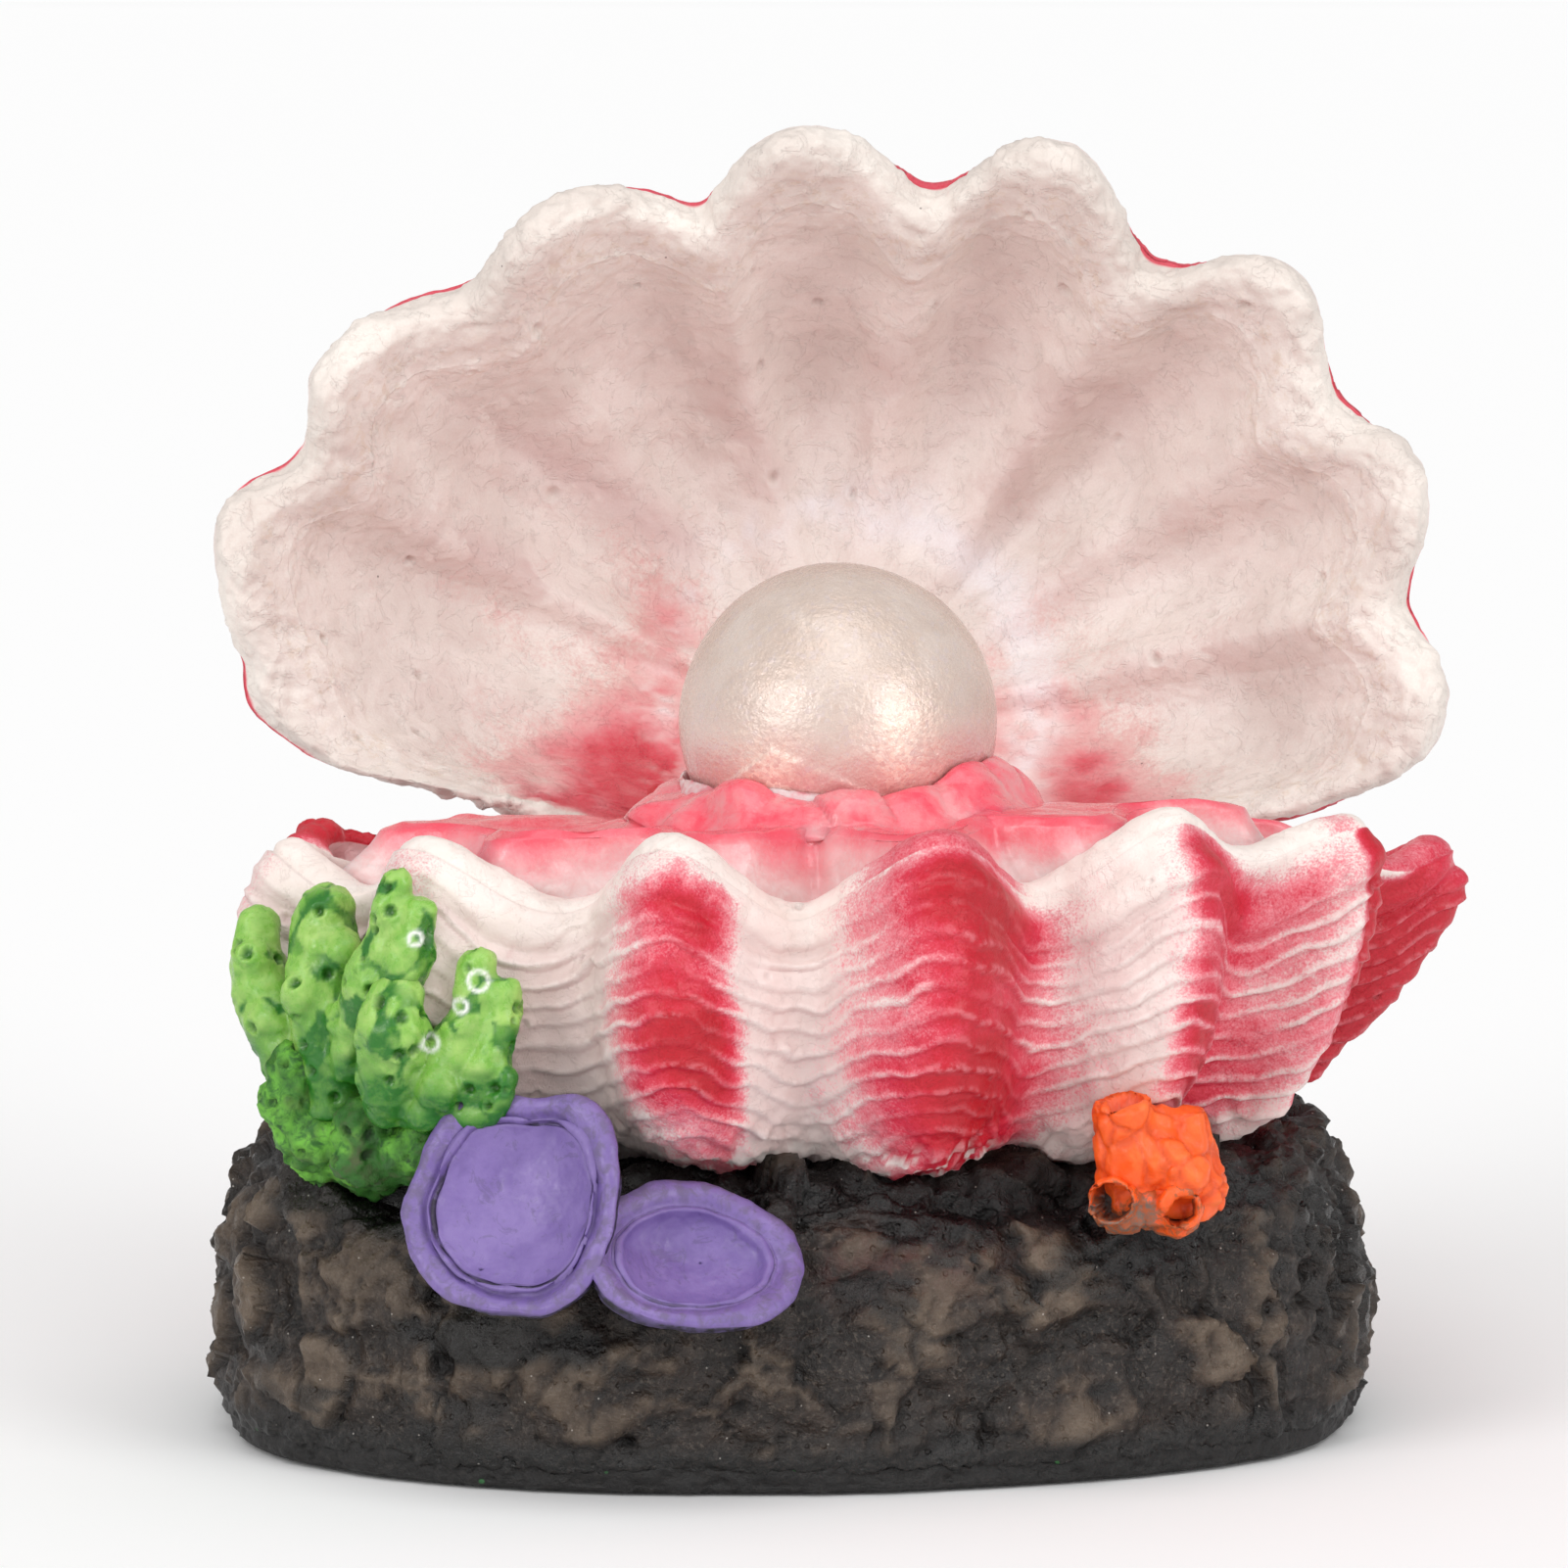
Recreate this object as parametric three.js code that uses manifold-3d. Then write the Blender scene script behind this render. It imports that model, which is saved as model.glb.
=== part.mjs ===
// Bubbling ornament: a giant clam on a rock foot, opened wide over its pearl.
// Millimetres, +Z up, +Y to the back, the foot stands on z = 0.
// The upper valve turns on a pin along X at the back of the lower valve.
import * as THREE from 'three';
import { mergeVertices } from 'three/addons/utils/BufferGeometryUtils.js';
import Module from 'manifold-3d';

const wasm = await Module();
wasm.setup();

// ------------------------------------------------------------ dimensions
const HINGE_Y = 19;            // hinge axis, behind the middle of the foot
const HINGE_Z = 36.5;
const LEAN = 4;                // degrees the open upper valve leans back
const UMBO_X = 3;              // where the ribs of both valves start,
const UMBO_U = 5;              // measured out from the hinge axis
const LIP = 3.1;               // thickness of the rolled margin
const WALL = 2.6;              // thickness of the shell wall
const UMBO_DEPTH = 14;         // depth of the upper valve over its umbo
const DOME_EXTRA = 10.5;       // and how much deeper it is half way out
const INTERLOCK = 2.2;         // half height of the margin's zigzag
const INTERLOCK_GAP = 0.35;    // between the two margins when shut
const LOWER_DEPTH = 19.5;      // depth of the lower valve below its margin
const FOOT_PLATE = 2.3;        // height of the black foot plate
const GAP = 0.3;               // left between pieces that touch
const ROCK_TOP = 20.5;
const PEARL_R = 10.2;
const PEARL = [2.8, -2, 46];
const PIN_R = 1.5;
const PIN_FROM = -8.0;
const PIN_TO = 14.0;
const BARREL_R = 3.4;
const BARREL_FROM = -3.0;      // the upper valve's barrel along the pin
const BARREL_TO = 9.0;
const EAR_FROM = [-6.1, 9.5];  // the two ears of the lower valve
const EAR_WIDTH = 2.6;
const AIR_X = 3;               // the air line runs in this plane
const AIR_Z = 9;               // height of the inlet
const AIR_RISE_Y = 11;         // where it turns up
const TUBE_OUT = 2.0;          // soft tube, outer and inner radius
const TUBE_IN = 1.2;

// margin of the upper valve, in mm across and out from the hinge axis
const MARGIN = [
  [27.6, -0.6], [31.5, 0], [34.3, 0.5], [38, 2.1], [40.9, 3.7], [42.2, 5.4], [42.9, 8.6], [41.9, 11.8],
  [40.7, 14.4], [41, 16.7], [41.7, 19.6], [41.5, 23.2], [40.2, 24.8], [37.9, 26.4], [36.2, 28],
  [35.4, 30.4], [34.8, 32.8], [34.3, 34.4], [33, 36.1], [31.3, 37.1], [29.3, 37.3], [27.4, 36.9],
  [25.5, 36.6], [23.6, 37.1], [22.2, 39.3], [21.3, 40.9], [20.3, 42.5], [19.1, 43.9], [17.8, 44.5],
  [15.9, 44.8], [14, 44.5], [12.1, 43.2], [10.2, 42], [9.2, 41.8], [8.3, 42], [6.3, 43.4], [4.4, 44.9],
  [2.5, 45.5], [0.6, 45.7], [-1.3, 45.3], [-3, 44.1], [-4.5, 42.5], [-6.1, 40.7], [-7.1, 40.8],
  [-9, 41.6], [-10.9, 41.9], [-12.8, 41.9], [-14.7, 41.5], [-16.1, 40.9], [-18.2, 39.3], [-19.5, 37.7],
  [-20.4, 36.1], [-22.4, 35.2], [-24.3, 34.9], [-26.2, 34.2], [-28.7, 32.8], [-30.4, 31.2],
  [-31.7, 29.6], [-31.9, 26.4], [-32.3, 24.8], [-34, 23.4], [-35.9, 22.7], [-37.1, 21.6], [-38, 19.9],
  [-38.1, 18.3], [-37.6, 15.1], [-36.9, 11.8], [-36.5, 10.2], [-36.6, 8.6], [-36, 6.9], [-34.1, 5.4],
  [-30.3, 3.3], [-26.4, 2.6], [-22.5, 1.7], [-18.7, 0.5], [-14.2, -1.2], [-10, -1.6], [3, -1.8],
  [16, -1.6], [24, -1.1]];
// angles about the umbo of rib crests (even) and grooves (odd) of the upper valve
const RIBS = [[-30, -2], [-12, -1], [4, 0], [14, 1], [23, 2], [34.7, 3], [46, 4], [56.5, 5], [68.5, 6], [81.2, 7],
  [94.6, 8], [106, 9], [120, 10], [132, 11], [146, 12], [154, 13], [162.5, 14], [175, 15], [192, 16], [212, 17]];
// how far the margins rise out of their plane, at angles about the umbo
const RISE = [[-110, 0], [-60, 0], [-30, -1.0], [-12, -2.0], [4, -1.5], [16, -0.2], [24, 0.8], [31, 1.7], [38, 2.4], [46, 2.6], [57, 2.0], [68, 1.5], [82, 1.0],
  [96, 0.1], [107, 0.5], [121, 0.4], [135, 0], [250, 0]];
// plan of the foot
const FOOT = [[37.4, 9], [36.4, 0], [34.1, -8.3], [30.3, -12], [26.4, -14.8], [18.9, -18.5], [15.2, -19.7], [7.9, -21.7],
  [-4, -22.6], [-12, -22.5], [-17.8, -21.2], [-23.4, -19], [-27.1, -17.2], [-30.9, -14.2], [-34.9, -9.9], [-37, -2],
  [-37.4, 6], [-36.2, 15], [-32, 23], [-25, 29], [-14, 33], [0, 34.5], [14, 33.2], [25, 29], [33, 21]];

// ------------------------------------------------------------ small tools
const rad = (d) => d * Math.PI / 180;
const clamp = (v, a, b) => Math.min(b, Math.max(a, v));
const mix = (a, b, t) => a + (b - a) * t;
const smooth = (a, b, v) => { const t = clamp((v - a) / (b - a), 0, 1); return t * t * (3 - 2 * t); };
const V = (x, y, z) => new THREE.Vector3(x, y, z);

// a closed curve round a centre, as radius against angle
function polar(points, cx, cy) {
  const list = points.map(([x, y]) => [((Math.atan2(y - cy, x - cx) * 180 / Math.PI) + 360) % 360, Math.hypot(x - cx, y - cy)]);
  list.sort((a, b) => a[0] - b[0]);
  const n = list.length;
  const all = [[list[n - 1][0] - 360, list[n - 1][1]], ...list, [list[0][0] + 360, list[0][1]]];
  return (deg) => {
    const d = ((deg % 360) + 360) % 360;
    for (let i = 0; i + 1 < all.length; i++) {
      if (d <= all[i + 1][0]) return mix(all[i][1], all[i + 1][1], (d - all[i][0]) / Math.max(1e-6, all[i + 1][0] - all[i][0]));
    }
    return list[0][1];
  };
}

// rings of points joined into one closed skin, with a point at each end
function skin(start, rings, end) {
  const pos = [];
  const add = (p) => { pos.push(p.x, p.y, p.z); return pos.length / 3 - 1; };
  const a = add(start);
  const idx = rings.map((r) => r.map(add));
  const b = add(end);
  const n = rings[0].length;
  const tri = [];
  for (let i = 0; i < n; i++) {
    const j = (i + 1) % n;
    tri.push(a, idx[0][j], idx[0][i]);
    for (let k = 0; k + 1 < rings.length; k++) {
      tri.push(idx[k][i], idx[k][j], idx[k + 1][j]);
      tri.push(idx[k][i], idx[k + 1][j], idx[k + 1][i]);
    }
    tri.push(b, idx[rings.length - 1][i], idx[rings.length - 1][j]);
  }
  const g = new THREE.BufferGeometry();
  g.setAttribute('position', new THREE.Float32BufferAttribute(pos, 3));
  g.setIndex(tri);
  return outward(g);
}
function outward(g) {
  const p = g.attributes.position, ix = g.index.array;
  let vol = 0;
  const a = V(), b = V(), c = V();
  for (let i = 0; i < ix.length; i += 3) {
    a.fromBufferAttribute(p, ix[i]); b.fromBufferAttribute(p, ix[i + 1]); c.fromBufferAttribute(p, ix[i + 2]);
    vol += a.dot(b.cross(c)) / 6;
  }
  if (vol < 0) for (let i = 0; i < ix.length; i += 3) { const t = ix[i + 1]; ix[i + 1] = ix[i + 2]; ix[i + 2] = t; }
  return g;
}
function solid(geometry) {
  let g = geometry.clone();
  g.deleteAttribute('normal'); g.deleteAttribute('uv');
  g = mergeVertices(g, 1e-4);
  const mesh = new wasm.Mesh({ numProp: 3, vertProperties: new Float32Array(g.attributes.position.array), triVerts: new Uint32Array(g.index.array) });
  return new wasm.Manifold(mesh);
}
function geometryOf(m) {
  const mesh = m.getMesh();
  const g = new THREE.BufferGeometry();
  g.setAttribute('position', new THREE.Float32BufferAttribute(Array.from(mesh.vertProperties), 3));
  g.setIndex(Array.from(mesh.triVerts));
  return g;
}
// the largest body of a cut piece, without the chips a cut can leave
function mainBody(m) {
  const list = m.decompose();
  let best = list[0];
  for (const s of list) if (s.volume() > best.volume()) best = s;
  return best;
}
const box = (x0, x1, y0, y1, z0, z1) => {
  const g = new THREE.BoxGeometry(x1 - x0, y1 - y0, z1 - z0);
  g.translate((x0 + x1) / 2, (y0 + y1) / 2, (z0 + z1) / 2);
  return g;
};
const rod = (x0, x1, r, y, z, n = 28) => {
  const g = new THREE.CylinderGeometry(r, r, x1 - x0, n);
  g.rotateZ(Math.PI / 2); g.translate((x0 + x1) / 2, y, z);
  return g;
};
// a round profile turned on the z axis, points as [radius, z]
const turned = (profile, n = 28) => {
  const g = new THREE.LatheGeometry(profile.map(([r, z]) => new THREE.Vector2(r, z)), n);
  g.rotateX(Math.PI / 2);
  return g;
};
// a limb of round rings along a bent line
function limb(points, radii, n = 10) {
  const pts = points.map((p) => V(...p));
  const rings = [];
  let side = null;
  for (let k = 0; k < pts.length; k++) {
    const t = pts[Math.min(k + 1, pts.length - 1)].clone().sub(pts[Math.max(k - 1, 0)]).normalize();
    if (!side) side = Math.abs(t.x) < 0.9 ? V(1, 0, 0) : V(0, 1, 0);
    side = side.clone().sub(t.clone().multiplyScalar(side.dot(t))).normalize();
    const up = t.clone().cross(side);
    const ring = [];
    for (let i = 0; i < n; i++) {
      const a = 2 * Math.PI * i / n;
      ring.push(pts[k].clone().addScaledVector(side, radii[k] * Math.cos(a)).addScaledVector(up, radii[k] * Math.sin(a)));
    }
    rings.push(ring);
  }
  const first = pts[0].clone().sub(pts[1]).normalize().multiplyScalar(radii[0] * 0.5).add(pts[0]);
  const m = pts.length - 1;
  const last = pts[m].clone().sub(pts[m - 1]).normalize().multiplyScalar(radii[m] * 0.5).add(pts[m]);
  return skin(first, rings, last);
}

// ------------------------------------------------------------ the two valves
const marginR = polar(MARGIN, UMBO_X, UMBO_U);
const footR = polar(FOOT, 0, 6);
function ribPhase(deg) {
  for (let i = 0; i + 1 < RIBS.length; i++) {
    if (deg <= RIBS[i + 1][0]) return mix(RIBS[i][1], RIBS[i + 1][1], (deg - RIBS[i][0]) / (RIBS[i + 1][0] - RIBS[i][0]));
  }
  return 17;
}
// +1 on a rib of the upper valve (a groove of the lower one), -1 in its grooves
const fan = (deg) => smooth(-24, -4, deg) * (1 - smooth(184, 204, deg));
const wave = (deg) => Math.cos(Math.PI * ribPhase(deg)) * fan(deg);
function rise(deg) {
  for (let i = 0; i + 1 < RISE.length; i++) {
    if (deg <= RISE[i + 1][0]) return mix(RISE[i][1], RISE[i + 1][1], (deg - RISE[i][0]) / (RISE[i + 1][0] - RISE[i][0]));
  }
  return 0;
}
const zigzag = (deg) => rise(deg) - wave(deg) * mix(1.0, INTERLOCK, smooth(40, 62, deg) * (1 - smooth(125, 165, deg)));
const lean = rad(LEAN);
const shut = (x, u, w) => V(x, HINGE_Y - u * Math.cos(lean) + w * Math.sin(lean), HINGE_Z + u * Math.sin(lean) + w * Math.cos(lean));
const open = (x, u, w) => V(x, HINGE_Y + u * Math.sin(lean) + w * Math.cos(lean), HINGE_Z + u * Math.cos(lean) - w * Math.sin(lean));
const around = (deg, r, w, place) => place(UMBO_X + r * Math.cos(rad(deg)), UMBO_U + r * Math.sin(rad(deg)), w);

const ANGLES = [];
for (let d = -12; d < 190; d += 202 / 46) ANGLES.push(d);
for (let d = 193; d < 346; d += 153 / 8) ANGLES.push(d);
const lowAngle = (d) => (d > 250 ? d - 360 : d);

function upperDome(deg, s, grow) {
  // depth of the outer skin at a share s of the way out to the margin
  const d = lowAngle(deg);
  const g = clamp((Math.sin(rad(deg)) + 0.25) / 1.0, 0, 1);
  const w = UMBO_DEPTH * Math.pow(1 - Math.pow(s, 2.2), 0.6) + DOME_EXTRA * Math.sin(Math.PI * s) * g;
  return w + grow + 0.9 * wave(d) * Math.sin(Math.PI * Math.min(1, s * 1.1)) + zigzag(d) * Math.pow(s, 4);
}
const OUT_S = [0.22, 0.45, 0.66, 0.83, 0.93, 0.98];
function upperValve() {
  const rings = [];
  for (const s of OUT_S) rings.push(ANGLES.map((d) => around(d, marginR(d) * Math.min(1, s + 0.012 * s), upperDome(d, s, 0), open)));
  const lipR = (d) => marginR(d) - 1.0 * Math.max(0, -wave(lowAngle(d)));
  const lip = (d, cut, w) => around(d, lipR(d) - cut, zigzag(lowAngle(d)) + w, open);
  rings.push(ANGLES.map((d) => lip(d, 0, 1.5)));
  rings.push(ANGLES.map((d) => lip(d, 0.7, 0.35)));
  rings.push(ANGLES.map((d) => lip(d, LIP * 0.5, 0.1)));
  rings.push(ANGLES.map((d) => lip(d, LIP - 0.5, 0.5)));
  rings.push(ANGLES.map((d) => lip(d, LIP, 1.6)));
  for (const s of [...OUT_S].reverse().slice(1)) {
    rings.push(ANGLES.map((d) => around(d, (lipR(d) - LIP) * s, (upperDome(d, s, 0) - (WALL + 0.3 * s)) , open)));
  }
  return skin(around(0, 0, UMBO_DEPTH, open), rings, around(0, 0, UMBO_DEPTH - WALL, open));
}

// the lower valve: radius and depth of the outer wall, from the margin down
const LOW = [[0, -1.4], [1.2, -3.2], [2.0, -6], [1.8, -9.5], [0.2, -13], [-3.2, -16.4], [-8.5, -18.6], [-18, -LOWER_DEPTH]];
const lowBase = (deg) => {
  const d = lowAngle(deg);
  let r = marginR(deg);
  // the mean line of the upper margin, with the ribs of this valve between its own
  if (d > -12 && d < 190) r = 0.5 * (marginR(deg - 11) + marginR(deg + 11)) - 2.4 - 3.4 * smooth(12, 28, d) * (1 - smooth(28, 46, d)) - 1.6 * smooth(140, 168, d);
  r = mix(marginR(deg), r, smooth(-10, 12, d) * (1 - smooth(166, 188, d)));
  r -= 2.8 * Math.exp(-(((d - 57) / 11) ** 2)) + 1.0 * Math.exp(-(((d - 34) / 9) ** 2));
  return r - 1.3 * wave(d);
};
// the right flank draws in toward the foot
const TRIM = [0, 1.0, 3.2, 5.4, 6.5, 6.4, 4.6, 2.6];
const flank = (d) => smooth(-24, -6, d) * (1 - 0.72 * smooth(16, 38, d)) * (1 - smooth(44, 68, d));
// how far the fullness of the margin at the right reaches down the wall
const FILL = [1, 0.7, 0.35, 0.1, 0, 0, 0, 0];
// and how much the wall is drawn in at the left
const TUCK = [0, 0.6, 1.6, 2.6, 3.0, 3.0, 2.0, 1.0];
function lowerRing(deg, k, grow) {
  const d = lowAngle(deg);
  const front = smooth(-30, 10, d) * (1 - smooth(170, 210, d));
  const wing = 0.8 * smooth(-25, -5, d) * (1 - smooth(22, 44, d));
  const [dr, w] = LOW[k];
  const base = lowBase(deg);
  const drop = smooth(0, 60, d) * (1 - smooth(120, 180, d));
  const fill = 5.0 * Math.exp(-(((d - 23) / 6) ** 2)) + 2.0 * Math.exp(-(((d - 35) / 5) ** 2)) + 3.8 * Math.exp(-(((d - 46) / 5.5) ** 2));
  const tuck = smooth(150, 165, d) * (1 - smooth(195, 210, d));
  let r = base + fill * FILL[k] - tuck * TUCK[k] + (dr > 0 ? dr * front + wing * dr / 2 : dr * clamp(base / 38, 0.1, 1));
  if (k > 0 && k < 6) r -= 0.9 * wave(d) * (1 - k / 7);
  r = Math.max(r - TRIM[k] * flank(d), 1.2 + 0.4 * (7 - k));
  const z = w + zigzag(d) * Math.max(0, 1 - k / 3.2) + 0.6 * drop * (k > 3 ? -1 : 0);
  return [r + grow, z - (k > 4 ? grow : 0)];
}
function lowerOuter(grow, top) {
  // the filled outside of the lower valve, for sockets and trimming
  const rings = [];
  rings.push(ANGLES.map((d) => around(d, lowerRing(d, 0, grow)[0], top, shut)));
  for (let k = 0; k < LOW.length; k++) rings.push(ANGLES.map((d) => { const [r, w] = lowerRing(d, k, grow); return around(d, r, w, shut); }));
  return skin(around(0, 0, top, shut), rings, around(0, 0, -LOWER_DEPTH - 0.5 - grow, shut));
}
const LOW_WALL = [2.9, 2.9, 2.8, 2.8, 2.8, 2.8, 2.8, 2.8];
function lowerInner(grow) {
  // the inside of the lower valve, rings from the margin down
  const rings = [];
  for (let k = 0; k < LOW.length; k++) {
    rings.push(ANGLES.map((d) => {
      const [r, w] = lowerRing(d, k, 0);
      const lift = k > 3 ? mix(0, 3.0, (k - 3) / 4) : 0;
      return around(d, Math.max(0.8 + 0.25 * (7 - k), r - LOW_WALL[k] - grow), w + lift + (k > 4 ? grow : 0), shut);
    }));
  }
  return rings;
}
function lowerValve() {
  const rings = [];
  for (let k = LOW.length - 1; k >= 0; k--) rings.push(ANGLES.map((d) => { const [r, w] = lowerRing(d, k, 0); return around(d, r, w, shut); }));
  const rim = (d, cut, w) => around(d, Math.max(1, lowerRing(d, 0, 0)[0] - cut), zigzag(lowAngle(d)) + w - INTERLOCK_GAP, shut);
  rings.push(ANGLES.map((d) => rim(d, 0.6, -0.3)));
  rings.push(ANGLES.map((d) => rim(d, 1.5, -0.05)));
  rings.push(ANGLES.map((d) => rim(d, 2.5, -0.4)));
  rings.push(...lowerInner(0));
  return skin(around(0, 0, -LOWER_DEPTH - 0.5, shut), rings, around(0, 0, -LOWER_DEPTH + 2.6, shut));
}

// ------------------------------------------------------------ rock foot
const grit = (x, y, z) => Math.sin(x * 0.55 + 1.3 * Math.sin(z * 0.7) + y * 0.21) * 0.5 + Math.sin(y * 0.83 - z * 0.61 + 2.1) * 0.35 + Math.sin(x * 1.21 + y * 1.13 + z * 1.37) * 0.3;
const FOOT_ANGLES = [];
for (let d = 0; d < 360; d += 9) FOOT_ANGLES.push(d);
function footRing(z, share, rough) {
  return FOOT_ANGLES.map((d) => {
    const r = footR(d) * share;
    const x = r * Math.cos(rad(d)), y = 6 + r * Math.sin(rad(d));
    const k = 1 + rough * grit(x, y, z) / Math.max(8, r);
    return V(x * k, 6 + (y - 6) * k, z + (share < 0.97 ? rough * 0.6 * grit(y, x, z * 2) : 0));
  });
}
function rockBody(grow) {
  const z0 = FOOT_PLATE + GAP - grow;
  const rows = [[z0, 1.0, 0.2], [5.5, 1.0, 0.5], [9.5, 1.002, 0.8], [13, 0.985, 0.9], [16, 0.955, 0.9], [18.4, 0.905, 0.8], [19.9, 0.83, 0.7], [20.6, 0.72, 0.6], [ROCK_TOP, 0.5, 0.5]];
  const rings = rows.map(([z, s, n]) => footRing(z + (z > 15 ? grow : 0), s + (s > 0.5 ? grow / 33 : 0), n));
  return skin(V(0, 6, z0), rings, V(0, 6, ROCK_TOP + grow));
}
function rearHump() {
  // the rock rises behind the shell and carries the open upper valve
  const rings = [];
  const rows = [[14, 15, 7.4], [20, 14.5, 7.0], [26, 13.4, 6.2], [29.5, 12.4, 5.4], [31.2, 11.6, 4.4], [31.9, 9.6, 2.9]];
  for (const [z, a, b] of rows) {
    rings.push(Array.from({ length: 24 }, (_, i) => {
      const t = 2 * Math.PI * i / 24;
      const k = z < 31 ? 1 + 0.045 * grit(a * Math.cos(t) * 2, b * Math.sin(t) * 3, z) : 1;
      return V(UMBO_X + a * k * Math.sign(Math.cos(t)) * Math.pow(Math.abs(Math.cos(t)), 0.75), 26.6 + b * k * Math.sign(Math.sin(t)) * Math.pow(Math.abs(Math.sin(t)), 0.75), z);
    }));
  }
  return skin(V(UMBO_X, 26.6, 14), rings, V(UMBO_X, 26.6, 31.9));
}

// the way of the air line: in at the back, forward, then up into the bowl
const airPath = new THREE.CurvePath();
airPath.add(new THREE.LineCurve3(V(AIR_X, 28.7, AIR_Z), V(AIR_X, AIR_RISE_Y + 5, AIR_Z)));
airPath.add(new THREE.QuadraticBezierCurve3(V(AIR_X, AIR_RISE_Y + 5, AIR_Z), V(AIR_X, AIR_RISE_Y, AIR_Z), V(AIR_X, AIR_RISE_Y, AIR_Z + 5)));
airPath.add(new THREE.LineCurve3(V(AIR_X, AIR_RISE_Y, AIR_Z + 5), V(AIR_X, AIR_RISE_Y, 29.5)));
function alongAir(r, hole, extendBack, extendUp) {
  // rings of the tube along the path, outside and inside
  const pts = [];
  if (extendBack) pts.push([V(AIR_X, 28.7 + extendBack, AIR_Z), V(0, -1, 0)]);
  pts.push([V(AIR_X, 28.7, AIR_Z), V(0, -1, 0)]);
  pts.push([V(AIR_X, AIR_RISE_Y + 5, AIR_Z), V(0, -1, 0)]);
  for (const t of [0.25, 0.5, 0.75]) {
    const c = airPath.curves[1];
    pts.push([c.getPoint(t), c.getTangent(t)]);
  }
  pts.push([V(AIR_X, AIR_RISE_Y, AIR_Z + 5), V(0, 0, 1)]);
  pts.push([V(AIR_X, AIR_RISE_Y, 29.5), V(0, 0, 1)]);
  if (extendUp) pts.push([V(AIR_X, AIR_RISE_Y, 29.5 + extendUp), V(0, 0, 1)]);
  const n = 14;
  const ring = (p, t, rr) => {
    const up = V(1, 0, 0).cross(t).normalize();
    return Array.from({ length: n }, (_, i) => p.clone().addScaledVector(V(1, 0, 0), rr * Math.cos(2 * Math.PI * i / n)).addScaledVector(up, rr * Math.sin(2 * Math.PI * i / n)));
  };
  if (!hole) return skin(pts[0][0], pts.map(([p, t]) => ring(p, t, r)), pts[pts.length - 1][0]);
  const outer = pts.map(([p, t]) => ring(p, t, r));
  const inner = pts.map(([p, t]) => ring(p, t, hole)).reverse();
  const loops = [...outer, ...inner];
  const pos = [], tri = [];
  for (const l of loops) for (const p of l) pos.push(p.x, p.y, p.z);
  for (let k = 0; k < loops.length; k++) {
    const q = (k + 1) % loops.length;
    for (let i = 0; i < n; i++) {
      const j = (i + 1) % n;
      tri.push(k * n + i, k * n + j, q * n + j, k * n + i, q * n + j, q * n + i);
    }
  }
  const g = new THREE.BufferGeometry();
  g.setAttribute('position', new THREE.Float32BufferAttribute(pos, 3));
  g.setIndex(tri);
  return outward(g);
}

// ------------------------------------------------------------ assembly
const object = new THREE.Group();
object.name = 'bubbling_ornament';
function put(name, geometry, colour, roughness, metalness = 0, extra = {}) {
  const g = geometry.index ? geometry : mergeVertices(geometry);
  g.computeVertexNormals();
  const mesh = new THREE.Mesh(g, new THREE.MeshStandardMaterial({ color: colour, roughness, metalness, ...extra }));
  mesh.name = name;
  object.add(mesh);
  return mesh;
}

// foot plate
const plateRing = (z, cut) => FOOT_ANGLES.map((d) => { const r = footR(d) - cut; return V(r * Math.cos(rad(d)), 6 + r * Math.sin(rad(d)), z); });
put('base_plate', skin(V(0, 6, 0), [plateRing(0, 0.5), plateRing(0.6, 0.1), plateRing(FOOT_PLATE, 0)], V(0, 6, FOOT_PLATE)), '#15150f', 0.55);

// rock
const shellSolid = solid(lowerOuter(GAP, 6));
const tubeWay = solid(alongAir(TUBE_OUT + 0.25, 0, 12, 8));
const barbPocket = (() => { const g = new THREE.CylinderGeometry(3.9, 3.9, 20, 24); g.translate(AIR_X, 38.5, AIR_Z); return g; })();
let rock = solid(rockBody(0)).add(solid(rearHump())).subtract(shellSolid).subtract(tubeWay).subtract(solid(barbPocket));
// the hump is cleared for the ears, the barrel and the pin's caps
rock = rock.subtract(solid(box(-40, 45, 10, HINGE_Y + 4.1, 24, 60)));
rock = mainBody(rock);
put('rock_base', geometryOf(rock), '#6f665c', 0.6);

// lower valve with its two ears
let lower = solid(lowerValve());
lower = lower.subtract(solid(box(-60, 60, HINGE_Y - 4.0, 60, 31.8, 70)));
for (const x of EAR_FROM) {
  let ear = solid(rod(x, x + EAR_WIDTH, 3.2, HINGE_Y, HINGE_Z)).add(solid(box(x, x + EAR_WIDTH, HINGE_Y - 3.2, HINGE_Y + 2.2, 26, HINGE_Z)));
  ear = ear.subtract(solid(box(-60, 60, HINGE_Y - 10, HINGE_Y + 10, 0, 25)));
  lower = lower.add(ear);
}
lower = lower.subtract(solid(rod(BARREL_FROM - 0.5, BARREL_TO + 0.5, BARREL_R + 0.6, HINGE_Y, HINGE_Z)));
lower = lower.subtract(solid(rod(-40, 50, PIN_R + 0.1, HINGE_Y, HINGE_Z, 24)));
lower = lower.subtract(solid(alongAir(TUBE_OUT + 0.25, 0, 2, 8)));
lower = mainBody(lower);
put('lower_valve', geometryOf(lower), '#c9465c', 0.45);

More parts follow.
